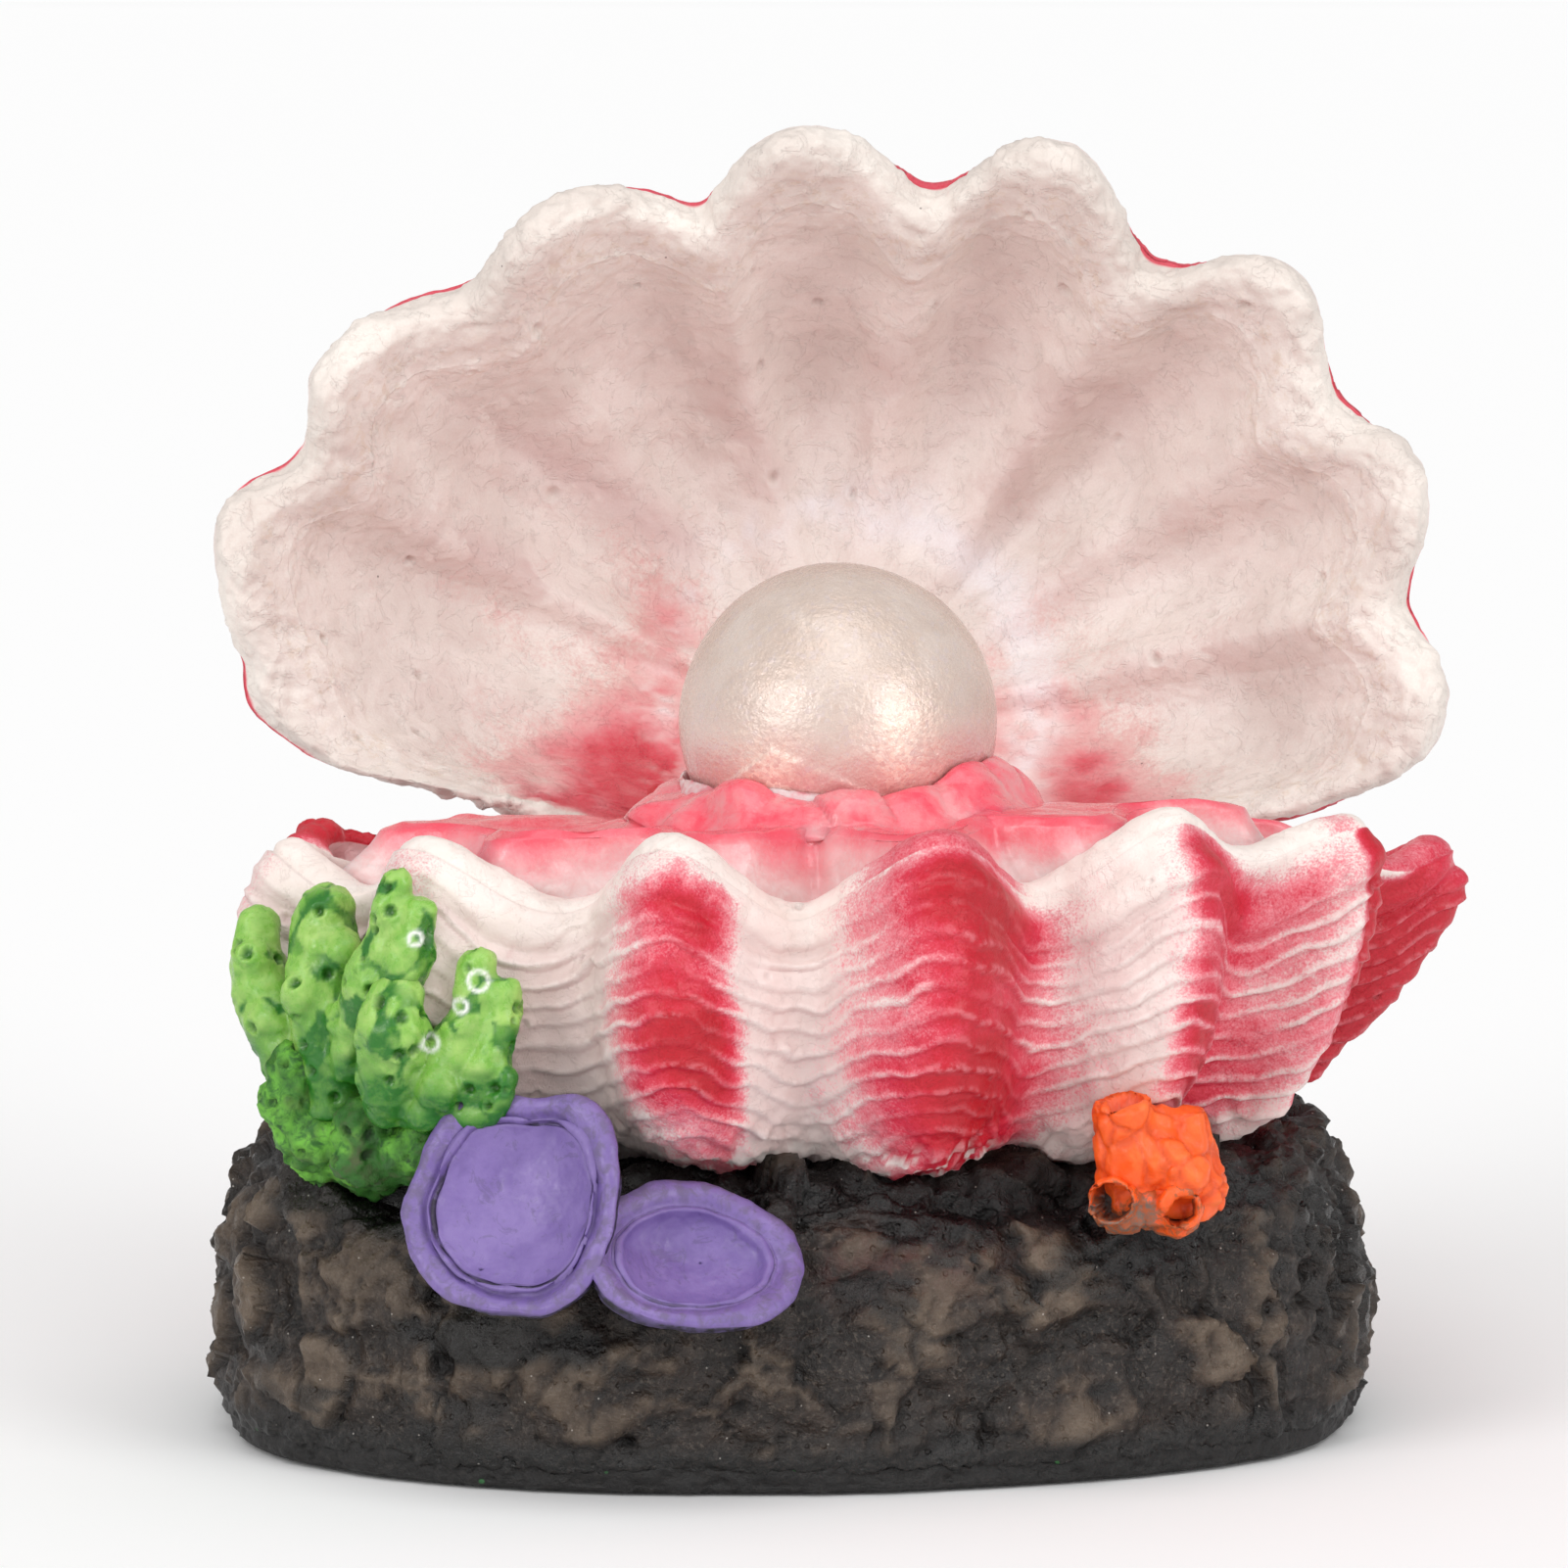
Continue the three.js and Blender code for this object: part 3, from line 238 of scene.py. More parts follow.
# ---------------------------------------------------------------- meshes
def make_object(name, verts, faces, body, material, replaces=(), slot=None, attrs=None, flat=False):
    """verts in mm"""
    mesh = bpy.data.meshes.new(name)
    mesh.from_pydata([tuple(v) for v in (np.asarray(verts) * MM).tolist()], [], faces)
    mesh.update()
    mesh.validate()
    if not flat:
        mesh.polygons.foreach_set("use_smooth", [True] * len(mesh.polygons))
    for key, value in (attrs or {}).items():
        a = mesh.attributes.new(key, "FLOAT", "POINT")
        a.data.foreach_set("value", np.asarray(value, np.float32).ravel())
    obj = bpy.data.objects.new(name, mesh)
    bpy.context.scene.collection.objects.link(obj)
    mesh.materials.append(material)
    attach(obj, body)
    if replaces:
        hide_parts(*replaces)
    return obj


def ring_faces(nj, ni, base=1):
    """quads of nj rings of ni points, with a pole at vertex 0 and one after the last ring"""
    i = np.arange(ni)
    k = (i + 1) % ni
    faces = [(0, base + int(b), base + int(a)) for a, b in zip(i, k)]
    for j in range(nj - 1):
        r0, r1 = base + j * ni, base + (j + 1) * ni
        faces += list(zip((r0 + i).tolist(), (r0 + k).tolist(), (r1 + k).tolist(), (r1 + i).tolist()))
    last = base + (nj - 1) * ni
    end = base + nj * ni
    faces += [(end, last + int(a), last + int(b)) for a, b in zip(i, k)]
    return faces


def grid_normals(P):
    """outward or inward normals of rings (nj, ni, 3), consistent over the grid"""
    du = np.roll(P, -1, 1) - np.roll(P, 1, 1)
    dv = np.empty_like(P)
    dv[1:-1] = P[2:] - P[:-2]
    dv[0] = P[1] - P[0]
    dv[-1] = P[-1] - P[-2]
    n = np.cross(du, dv)
    return n / np.maximum(np.linalg.norm(n, axis=-1, keepdims=True), 1e-9)


def signed_volume(v, faces):
    v = np.asarray(v)
    total = 0.0
    tri = np.array([f[:3] for f in faces])
    total += np.einsum("ij,ij->i", v[tri[:, 0]], np.cross(v[tri[:, 1]], v[tri[:, 2]])).sum()
    quad = np.array([f for f in faces if len(f) == 4])
    if len(quad):
        total += np.einsum("ij,ij->i", v[quad[:, 0]], np.cross(v[quad[:, 2]], v[quad[:, 3]])).sum()
    return total / 6


def grid_object(name, start, P, end, body, material, attrs=None, **more):
    nj, ni, _ = P.shape
    v = np.concatenate([[start], P.reshape(-1, 3), [end]])
    f = ring_faces(nj, ni)
    if signed_volume(v, f) < 0:
        f = [tuple(reversed(q)) for q in f]
    full = {}
    for key, a in (attrs or {}).items():
        a = np.broadcast_to(a, (nj, ni))
        full[key] = np.concatenate([[a[0].mean()], a.ravel(), [a[-1].mean()]])
    return make_object(name, v, f, body, material, attrs=full, **more)


# ---------------------------------------------------------------- node materials
def lin(h):
    h = h.lstrip("#")
    c = [int(h[i:i + 2], 16) / 255 for i in (0, 2, 4)]
    return tuple(x / 12.92 if x <= 0.04045 else ((x + 0.055) / 1.055) ** 2.4 for x in c) + (1.0,)


class Mat:
    def __init__(self, name):
        self.m = bpy.data.materials.new(name)
        self.m.use_nodes = True
        self.t = self.m.node_tree
        self.t.nodes.clear()
        self.out = self.node("ShaderNodeOutputMaterial")
        self.b = self.node("ShaderNodeBsdfPrincipled")
        self.t.links.new(self.b.outputs[0], self.out.inputs[0])
        self.co = self.node("ShaderNodeTexCoord").outputs["Object"]

    def node(self, kind, **props):
        n = self.t.nodes.new(kind)
        for k, v in props.items():
            setattr(n, k, v)
        return n

    def put(self, socket, value):
        if isinstance(value, bpy.types.NodeSocket):
            self.t.links.new(value, socket)
        elif value is not None:
            if isinstance(value, str):
                value = lin(value)
            if hasattr(socket.default_value, "__len__") and not hasattr(value, "__len__"):
                value = (value,) * len(socket.default_value)
            socket.default_value = value

    def attr(self, name):
        n = self.node("ShaderNodeAttribute", attribute_type="GEOMETRY", attribute_name=name)
        return n.outputs["Fac"]

    def mapped(self, scale=(1, 1, 1), rotation=(0, 0, 0), vec=None):
        n = self.node("ShaderNodeMapping")
        self.put(n.inputs[0], vec or self.co)
        n.inputs["Scale"].default_value = scale
        n.inputs["Rotation"].default_value = rotation
        return n.outputs[0]

    def noise(self, mm, detail=3.0, rough=0.5, dist=0.0, vec=None):
        """noise whose features are about mm across; 0 to 1"""
        n = self.node("ShaderNodeTexNoise")
        self.put(n.inputs["Vector"], vec or self.co)
        n.inputs["Scale"].default_value = 1000.0 / mm
        n.inputs["Detail"].default_value = detail
        n.inputs["Roughness"].default_value = rough
        n.inputs["Distortion"].default_value = dist
        return n.outputs["Fac"]

    def vor(self, mm, feature="F1", out="Distance", rand=1.0, vec=None, smoothness=None):
        n = self.node("ShaderNodeTexVoronoi", feature=feature)
        self.put(n.inputs["Vector"], vec or self.co)
        n.inputs["Scale"].default_value = 1000.0 / mm
        n.inputs["Randomness"].default_value = rand
        if smoothness is not None and "Smoothness" in n.inputs:
            n.inputs["Smoothness"].default_value = smoothness
        return n.outputs[out]

    def math(self, op, a, b=0.5, c=None, clamp=False):
        n = self.node("ShaderNodeMath", operation=op, use_clamp=clamp)
        self.put(n.inputs[0], a)
        self.put(n.inputs[1], b)
        if c is not None:
            self.put(n.inputs[2], c)
        return n.outputs[0]

    def range(self, v, a, b, lo=0.0, hi=1.0, kind="SMOOTHSTEP"):
        n = self.node("ShaderNodeMapRange", interpolation_type=kind)
        self.put(n.inputs["Value"], v)
        n.inputs["From Min"].default_value = a
        n.inputs["From Max"].default_value = b
        n.inputs["To Min"].default_value = lo
        n.inputs["To Max"].default_value = hi
        return n.outputs["Result"]

    def mix(self, f, a, b, blend="MIX"):
        n = self.node("ShaderNodeMix", data_type="RGBA", blend_type=blend)
        self.put(n.inputs[0], f)
        self.put(n.inputs[6], a)
        self.put(n.inputs[7], b)
        return n.outputs[2]

    def mixf(self, f, a, b):
        n = self.node("ShaderNodeMix", data_type="FLOAT")
        self.put(n.inputs[0], f)
        self.put(n.inputs[2], a)
        self.put(n.inputs[3], b)
        return n.outputs[0]

    def ramp(self, f, stops, interp="LINEAR"):
        n = self.node("ShaderNodeValToRGB")
        n.color_ramp.interpolation = interp
        e = n.color_ramp.elements
        while len(e) < len(stops):
            e.new(0.5)
        for k, (pos, col) in enumerate(stops):
            e[k].position = pos
            e[k].color = lin(col) if isinstance(col, str) else col
        self.put(n.inputs[0], f)
        return n.outputs[0]

    def bump(self, height, mm, strength=1.0, normal=None):
        n = self.node("ShaderNodeBump")
        n.inputs["Strength"].default_value = strength
        n.inputs["Distance"].default_value = mm * MM
        self.put(n.inputs["Height"], height)
        if normal is not None:
            self.put(n.inputs["Normal"], normal)
        return n.outputs[0]

    def done(self, colour=None, rough=None, normal=None, **other):
        self.put(self.b.inputs["Base Color"], colour)
        self.put(self.b.inputs["Roughness"], rough)
        if normal is not None:
            self.put(self.b.inputs["Normal"], normal)
        for k, v in other.items():
            self.put(self.b.inputs[k.replace("_", " ")], v)
        return self.m


# ================================================================ the upper valve
T_FAN = np.linspace(-14, 192, 780, endpoint=False)
T_BACK = np.linspace(192, 346, 110, endpoint=False)
T = np.concatenate([T_FAN, T_BACK])
TW = wave(T)
TS = np.sign(TW) * np.abs(TW) ** 0.8
TL = low_angle(T)
ZZ = zigzag(T)


def dome(s, g, wv, zz):
    base = UMBO_DEPTH * np.power(np.clip(1 - np.power(s, 2.2), 0, 1), 0.6) + DOME_EXTRA * np.sin(math.pi * s) * g
    return base + 0.9 * wv * np.sin(math.pi * np.minimum(1, s * 1.1)) + zz * np.power(s, 4)


def airbrush(x, a, b, seed, P, grain=1.0):
    """a soft sprayed edge between a and b, a little uneven"""
    return smooth(a, b, x + 0.10 * fbm(P / 3.0, 3, seed) * grain)


def build_upper():
    g = np.clip((np.sin(np.radians(T)) + 0.25) / 1.0, 0, 1)
    lip_r = margin_r(T) - 1.0 * np.maximum(0, -TW)
    rings, kind, share = [], [], []
    n_out, n_in = 84, 150
    s_out = np.sin(np.linspace(0.06, 1, n_out) * math.pi / 2) ** 0.9 * 0.985
    for s in s_out:
        r = margin_r(T) * s * 1.012
        rings.append(around(T, r, dome(s, g, TW, ZZ), opened)); kind.append(0.0); share.append(s)
    lip = [(0.0, 1.6), (0.15, 1.1), (0.4, 0.62), (0.75, 0.3), (1.15, 0.12), (1.6, 0.06), (2.2, 0.12), (2.9, 0.34), (3.6, 0.72), (4.4, 1.3), (5.2, 2.0)]
    a = np.array(lip)
    narrow = np.minimum(1, lip_r / 12.0)
    s0 = (lip_r - 5.25 * narrow) / (lip_r - LIP)
    w0 = dome(s0 * 0.992, g, TW, ZZ) - (WALL + 0.3 * s0)
    for q in np.linspace(0, len(lip) - 1, 40):
        cut, w = np.interp(q, range(len(lip)), a[:, 0]), np.interp(q, range(len(lip)), a[:, 1])
        w = ZZ + w + (w0 - ZZ - 2.0) * smooth(1.8, 5.2, cut)
        rings.append(around(T, lip_r - cut * narrow, w, opened)); kind.append(0.25 + 0.75 * smooth(1.2, 4.6, cut)); share.append(1.0 - 0.08 * cut / 5.2)
    for s in np.sin(np.linspace(0.985, 0.03, n_in) * math.pi / 2) ** 0.85:
        r = (lip_r - LIP) * s0 * s
        w = dome(s0 * s * 0.992, g, TW, ZZ) - (WALL + 0.3 * s)
        rings.append(around(T, r, w, opened)); kind.append(1.0); share.append(0.92 * s)
    P = np.array(rings)
    kind = np.array(kind)[:, None] * np.ones(len(T))
    share = np.array(share)[:, None] * np.ones(len(T))
    # soften where the lip runs into the walls
    for _ in range(3):
        Q = P.copy()
        Q[1:-1] = 0.25 * P[:-2] + 0.5 * P[1:-1] + 0.25 * P[2:]
        lo, hi = n_out - 6, n_out + 40 + 10
        P[lo:hi] = Q[lo:hi]
    N = grid_normals(P)
    centre = opened(np.array(UMBO_X), np.array(20.0), np.array(8.0))
    if np.mean(np.einsum("jik,jik->ji", N[20:60], P[20:60] - centre)) < 0:
        N = -N
    wv = np.broadcast_to(TW, kind.shape)
    inner, outer = smooth(0.45, 0.95, kind), 1 - smooth(0.02, 0.25, kind)
    rimzone = (1 - inner) * (1 - outer)
    u = (P[..., 2] - HINGE_Z)
    d = np.zeros(kind.shape)
    # hollows behind each rib, narrow ridges between them
    shaped = 2 * np.power((wv + 1) / 2, 0.65) - 1
    d -= inner * 0.22 * (shaped - 0.2) * smooth(0.3, 0.9, share)
    # growth lines and low ribs outside
    line = share * 40 / 1.55 + 0.35 * fbm(P / 9.0, 2, 31) + 0.25 * wv
    saw = (line - np.floor(line))
    d += outer * (0.28 * (saw ** 2 - 0.4) * smooth(0.25, 0.6, share))
    d += outer * 0.55 * wv * smooth(0.2, 0.7, share) * (1 - smooth(0.93, 1.0, share))
    # hand-worked unevenness
    d += 0.30 * fbm(P / 8.0, 3, 3) * (inner + 0.8 * rimzone) + 0.10 * fbm(P / 2.2, 3, 4)
    d += 0.05 * fbm(P / 0.8, 2, 5)
    # pits and casting bubbles
    f1, f2, who = cells(P / 3.4, 11)
    rad = 0.06 + 0.12 * ((who * 7.3) % 1)
    pit = (who > 0.62) * np.clip(1 - (f1 / rad) ** 2, 0, 1) * inner
    rim_of_pit = (who > 0.62) * np.exp(-((f1 - rad * 1.25) / 0.035) ** 2) * inner
    d += -0.38 * pit + 0.08 * rim_of_pit
    f1b, _, whob = cells(P / 1.3, 21)
    bump = (whob > 0.83) * np.clip(1 - (f1b / 0.20) ** 2, 0, 1)
    low_left = smooth(-6, -22, P[..., 0]) * smooth(34, 10, u)
    d += 0.13 * bump * inner * (0.35 + 0.65 * low_left)
    # flakes of the last coat
    fl = fbm(P / 3.6, 4, 41)
    flake = smooth(0.10, 0.16, fl) * smooth(0.35, 0.15, fbm(P / 6, 2, 43))
    d += 0.07 * flake * inner
    # the broken edge at the lower left, where the casting was cut, and a lump of flash on it
    low_edge = smooth(-13, -17, P[..., 0]) * smooth(4.5, 0.5, u) * smooth(-32, -24, P[..., 0])
    d += low_edge * 0.5 * fbm(P / 1.2, 3, 51)
    side_edge = rimzone * (0.20 * fbm(P / 1.4, 3, 52) + 0.10 * fbm(P / 0.6, 2, 53))
    crust = smooth(0.84, 0.95, share) * inner
    d += crust * (0.10 * smooth(0.05, 0.12, fbm(P / 1.5, 4, 54)) + 0.08 * fbm(P / 0.9, 3, 55))
    P = P + N * (d + side_edge)[..., None]
    lump = np.exp(-((P[..., 0] + 16.0) / 0.8) ** 2) * smooth(1.6, -0.6, u) * smooth(27, 22, P[..., 1])
    P[..., 2] -= 1.3 * lump * (1 + 0.4 * fbm(P / 0.8, 2, 56))
    P[..., 1] -= 0.7 * lump
    # room for the ears of the lower valve and the caps of the pin
    hy, hz = P[..., 1] - HINGE_Y, P[..., 2] - HINGE_Z
    hr = np.hypot(hy, hz)
    bay = ((P[..., 0] > -10.2) & (P[..., 0] < -3.1)) | ((P[..., 0] > 9.1) & (P[..., 0] < 16.2))
    want = np.where(outer > 0.5, 4.45, 4.15)
    close = bay & (hr < want)
    P[..., 1] = np.where(close, HINGE_Y + hy / np.maximum(hr, 1e-6) * want, P[..., 1])
    P[..., 2] = np.where(close, HINGE_Z + hz / np.maximum(hr, 1e-6) * want, P[..., 2])
    # paint
    X, Z = P[..., 0], P[..., 2]

    def spot(cx, cz, sx, sz):
        return np.exp(-((X - cx) / sx) ** 2 - ((Z - cz) / sz) ** 2)

    def streak(x0, z0, x1, z1, width):
        dx, dz = x1 - x0, z1 - z0
        t = np.clip(((X - x0) * dx + (Z - z0) * dz) / (dx * dx + dz * dz), 0, 1)
        away = np.hypot(X - x0 - t * dx, Z - z0 - t * dz)
        return np.exp(-(away / (width * (1 - 0.4 * t))) ** 2) * (1 - t) ** 0.7

    mist = fbm(P / 4.0, 4, 61)
    craggy = 1 + 0.7 * fbm(P / np.array([2.0, 2.0, 1.6]), 3, 66)
    pink = 1.12 * spot(-12.0, 34.2, 7.2, 4.0) * craggy + 0.50 * spot(-9.6, 39.0, 4.6, 4.8) + 0.16 * spot(-7.6, 45, 3.0, 6.0) + 0.14 * spot(-15.0, 38.6, 9.5, 5.5)
    pink = pink + 0.16 * streak(-8.0, 46, -14.5, 57.0, 2.4) + 0.16 * streak(-9.5, 43, -26, 52, 2.2)
    pink = pink + 0.80 * spot(21.6, 33.6, 5.2, 4.2) + 0.50 * spot(17.2, 38.6, 5.6, 5.6) + 0.08 * streak(14, 48, 33, 57, 2.6)
    # painted shade: darker mauve creases along the broad valleys of the inside, which are also pressed in
    crease = 0.9 * streak(-7.2, 52, -26.8, 65.8, 1.7) + 0.8 * streak(-8.8, 47.4, -32.6, 58.4, 1.7) + 0.4 * streak(-0.7, 56.6, -9.5, 67.1, 1.5)
    crease = crease + 0.6 * spot(20, 63, 5, 1.7) + 0.5 * spot(17, 49, 3, 1.6) + 0.6 * streak(13.0, 51, 16.8, 62, 1.2)
    crease = inner * np.clip(crease * (1 + 0.4 * mist), 0, 1)
    P = P - N * (0.40 * crease)[..., None]
    pink = pink + 0.06 * spot(3, 40, 22, 12)
    pink = inner * np.clip(pink * (1 + 0.55 * mist) + 0.05 * mist, 0, 1.1)
    halo_r = np.hypot(X - 3.6, Z - 42.4)
    halo = np.exp(-((halo_r - 12.4 - 0.9 * fbm(P / 3.0, 3, 67)) / 1.9) ** 2) * inner
    halo = halo * np.clip(0.25 + 0.75 * smooth(-2.0, 10.0, X) + 0.7 * fbm(P / 1.4, 3, 65), 0, 1) * smooth(33, 38, Z)
    # painted shade: a mauve tint along the radial grooves of the inside
    groove = inner * smooth(0.25, -0.75, wv) * smooth(0.2, 0.5, share) * (1 - smooth(0.72, 0.9, share)) * (0.6 + 0.5 * fbm(P / 6, 3, 63))
    edge_pink = outer * smooth(0.15, -0.75, wv + 0.25 * fbm(P / 4, 3, 64)) * smooth(0.25, 0.55, share)
    edge_pink = np.maximum(edge_pink, (1 - outer) * (1 - inner) * 0.55 * smooth(-0.8, -0.97, wv) * (kind < 0.34))
    hinge_out = outer * smooth(0.62, 0.3, share) * 0.6
    corner = smooth(-12.5, -15, X) * smooth(-19, -16.8, X) * smooth(3.0, 0.2, u)
    pink = np.clip(np.maximum(pink, 1.1 * corner * inner), 0, 1.1)
    shade = inner * smooth(3.0, 0.5, u) * smooth(-14, -20, X)
    v_flake = flake * inner
    A = dict(pink=np.clip(pink, 0, 1), groove=np.clip(groove, 0, 1), outpink=np.clip(edge_pink + hinge_out, 0, 1), inner=inner, outer=outer,
             rim=rimzone, pit=np.clip(pit, 0, 1), flake=v_flake, share=share, lines=saw * outer, halo=np.clip(halo, 0, 1), crust=crust, crease=crease)
    return P, A


def upper_material():
    m = Mat("upper_shell_paint")
    cloud = m.noise(9.0, 4, 0.55)
    cloud2 = m.noise(2.4, 5, 0.6, 0.6)
    grain = m.noise(0.32, 2, 0.7)
    grain2 = m.noise(0.16, 1, 0.5)
    chalk = m.mix(m.range(cloud, 0.38, 0.66), "#e3d8d1", "#f1e9e3")
    chalk = m.mix(m.math("MULTIPLY", m.range(cloud2, 0.45, 0.75), 0.40), chalk, "#dacac4")
    # painted shade: mauve along the radial grooves and darker mauve in the creases
    chalk_with_painted_shade = m.mix(m.math("MULTIPLY", m.attr("groove"), m.range(cloud2, 0.25, 0.75, 0.25, 0.70)), chalk, "#dcc6c0")
    chalk_with_painted_shade = m.mix(m.math("MULTIPLY", m.attr("crease"), 0.42), chalk_with_painted_shade, "#c9a3a3")
    creamy = m.mix(m.range(cloud, 0.4, 0.65), "#dfd4cc", "#efe6de")
    base = m.mix(m.math("MAXIMUM", m.attr("rim"), m.math("MULTIPLY", m.range(m.attr("share"), 0.66, 0.98), 0.75)), chalk_with_painted_shade, creamy)
    crusty = m.math("MULTIPLY", m.attr("crust"), m.range(m.noise(0.9, 5, 0.7), 0.5, 0.62))
    base = m.mix(m.math("MULTIPLY", crusty, 0.45), base, "#d9c4ae")
    base = m.mix(m.math("MULTIPLY", m.attr("flake"), 0.6), base, "#eee4dd")
    base = m.mix(m.math("MULTIPLY", m.attr("halo"), m.range(cloud2, 0.2, 0.6, 0.6, 1.0)), base, "#efebec")
    # the sprayed pink, with droplets at its edge
    drops = m.math("ADD", m.attr("pink"), m.math("MULTIPLY", m.math("SUBTRACT", grain, 0.5), 0.30))
    drops = m.math("ADD", drops, m.math("MULTIPLY", m.math("SUBTRACT", cloud2, 0.5), 0.30))
    pinked = m.ramp(m.range(drops, 0.0, 1.0, kind="LINEAR"), [(0.0, "#e2d0c8"), (0.18, "#e3c2bc"), (0.42, "#e0a0a0"), (0.68, "#da6d76"), (0.86, "#d24a58"), (1.0, "#c93546")])
    amount = m.range(drops, 0.04, 0.30)
    amount = m.math("MULTIPLY", amount, m.math("SUBTRACT", 1.0, m.math("MULTIPLY", m.attr("halo"), 0.8)))
    inside = m.mix(amount, base, pinked)
    # white ribs and pink grooves outside
    od = m.math("ADD", m.attr("outpink"), m.math("MULTIPLY", m.math("SUBTRACT", grain, 0.5), 0.5))
    outside = m.ramp(m.range(od, 0.1, 1.0, kind="LINEAR"), [(0.0, "#f0e2dc"), (0.35, "#f0b9bb"), (0.7, "#ea6f7c"), (1.0, "#d94458")])
    outside = m.mix(m.math("MULTIPLY", m.range(m.attr("lines"), 0.75, 1.0), 0.5), outside, "#f3e4df")
    col = m.mix(m.attr("outer"), inside, outside)
    # specks
    speck = m.vor(2.1, "F1")
    pick = m.node("ShaderNodeTexVoronoi", feature="F1")
    pick.inputs["Scale"].default_value = 1000 / 2.1
    m.put(pick.inputs["Vector"], m.co)
    sep = m.node("ShaderNodeSeparateColor")
    m.put(sep.inputs[0], pick.outputs["Color"])
    black = m.math("MULTIPLY", m.range(speck, 0.028, 0.045, 1, 0), m.math("GREATER_THAN", sep.outputs[0], 0.86))
    col = m.mix(m.math("MULTIPLY", black, 0.75), col, "#3b2f2c")
    col = m.mix(m.math("MULTIPLY", m.attr("pit"), 0.35), col, "#b79f92")
    col = m.mix(m.range(grain2, 0.35, 0.65, 0.0, 0.10), col, "#cbb3aa")
    scratch = m.noise(0.5, 3, 0.6, 0.2, m.mapped((0.12, 1.0, 1.0), (0, math.radians(28), 0)))
    h = m.math("ADD", m.math("MULTIPLY", m.noise(0.7, 4, 0.6), 0.55), m.math("MULTIPLY", grain2, 0.25))
    h = m.math("ADD", h, m.math("MULTIPLY", scratch, 0.4))
    h = m.math("ADD", h, m.math("MULTIPLY", m.range(m.noise(1.9, 5, 0.65, 0.8), 0.52, 0.56), 0.35))
    rough = m.mixf(m.range(cloud2, 0.3, 0.7), 0.62, 0.45)
    return m.done(col, rough, m.bump(h, 0.11, 0.8), Specular_IOR_Level=0.42, Subsurface_Weight=0.0)


upper_mat = upper_material()
UP, UA = build_upper()
grid_object("upper_shell", UP[0].mean(0) + (0, 0, 0), UP, UP[-1].mean(0), "lid", upper_mat, attrs=UA, replaces=["upper_valve"], slot="upper_shell")


# ================================================================ the lower valve
LOW = np.array([(0, -1.4), (1.2, -3.2), (2.0, -6), (1.8, -9.5), (0.2, -13), (-3.2, -16.4), (-8.5, -18.6), (-18, -19.5)], float)
_kf = np.linspace(0, 7, 141)


def _spline(y):
    """a smooth curve through one value for each row"""
    t = np.clip(_kf, 0, 6.9999)
    i = t.astype(int)
    f = t - i
    p = np.concatenate([[2 * y[0] - y[1]], y, [2 * y[-1] - y[-2]]])
    a, b, c, d = p[i], p[i + 1], p[i + 2], p[i + 3]
    return 0.5 * (2 * b + (c - a) * f + (2 * a - 5 * b + 4 * c - d) * f ** 2 + (3 * b - a - 3 * c + d) * f ** 3)


_dr, _dw = _spline(LOW[:, 0]), _spline(LOW[:, 1])


def low_base(d):
    d = low_angle(d)
    m = margin_r(d)
    r = 0.5 * (margin_r(d - 11) + margin_r(d + 11)) - 2.4 - 3.4 * smooth(12, 28, d) * (1 - smooth(28, 46, d)) - 1.6 * smooth(140, 168, d)
    r = mix(m, r, smooth(-10, 12, d) * (1 - smooth(166, 188, d)))
    r = r - 2.8 * np.exp(-((d - 57) / 11) ** 2) - 1.0 * np.exp(-((d - 34) / 9) ** 2)
    return r - 1.3 * wave(d)


def low_ring(d, k):
    d = low_angle(d)
    front = smooth(-30, 10, d) * (1 - smooth(170, 210, d))
    wing = 0.8 * smooth(-25, -5, d) * (1 - smooth(22, 44, d))
    dr = np.interp(k, _kf, _dr)
    w = np.interp(k, _kf, _dw)
    base = low_base(d)
    drop = smooth(0, 60, d) * (1 - smooth(120, 180, d))
    r = base + np.where(dr > 0, dr * front + wing * dr / 2, dr * np.clip(base / 38, 0.1, 1))
    r = r - 0.9 * wave(d) * (1 - k / 7) * smooth(0, 1, k) * (1 - smooth(5, 6, k))
    fill = 5.0 * np.exp(-((d - 23) / 6) ** 2) + 2.0 * np.exp(-((d - 35) / 5) ** 2) + 3.8 * np.exp(-((d - 46) / 5.5) ** 2)
    tuck = smooth(150, 165, d) * (1 - smooth(195, 210, d))
    r = r + fill * np.interp(k, range(8), FILL) - tuck * np.interp(k, range(8), TUCK)
    r = np.maximum(r - np.interp(k, range(8), TRIM) * flank_of(d), 1.2 + 0.4 * (7 - k))
    return r, w + zigzag(d) * np.maximum(0, 1 - k / 3.2) - 0.6 * drop * smooth(3, 4, k)


LT = np.concatenate([np.linspace(-26, 206, 960, endpoint=False), np.linspace(206, 334, 90, endpoint=False)])


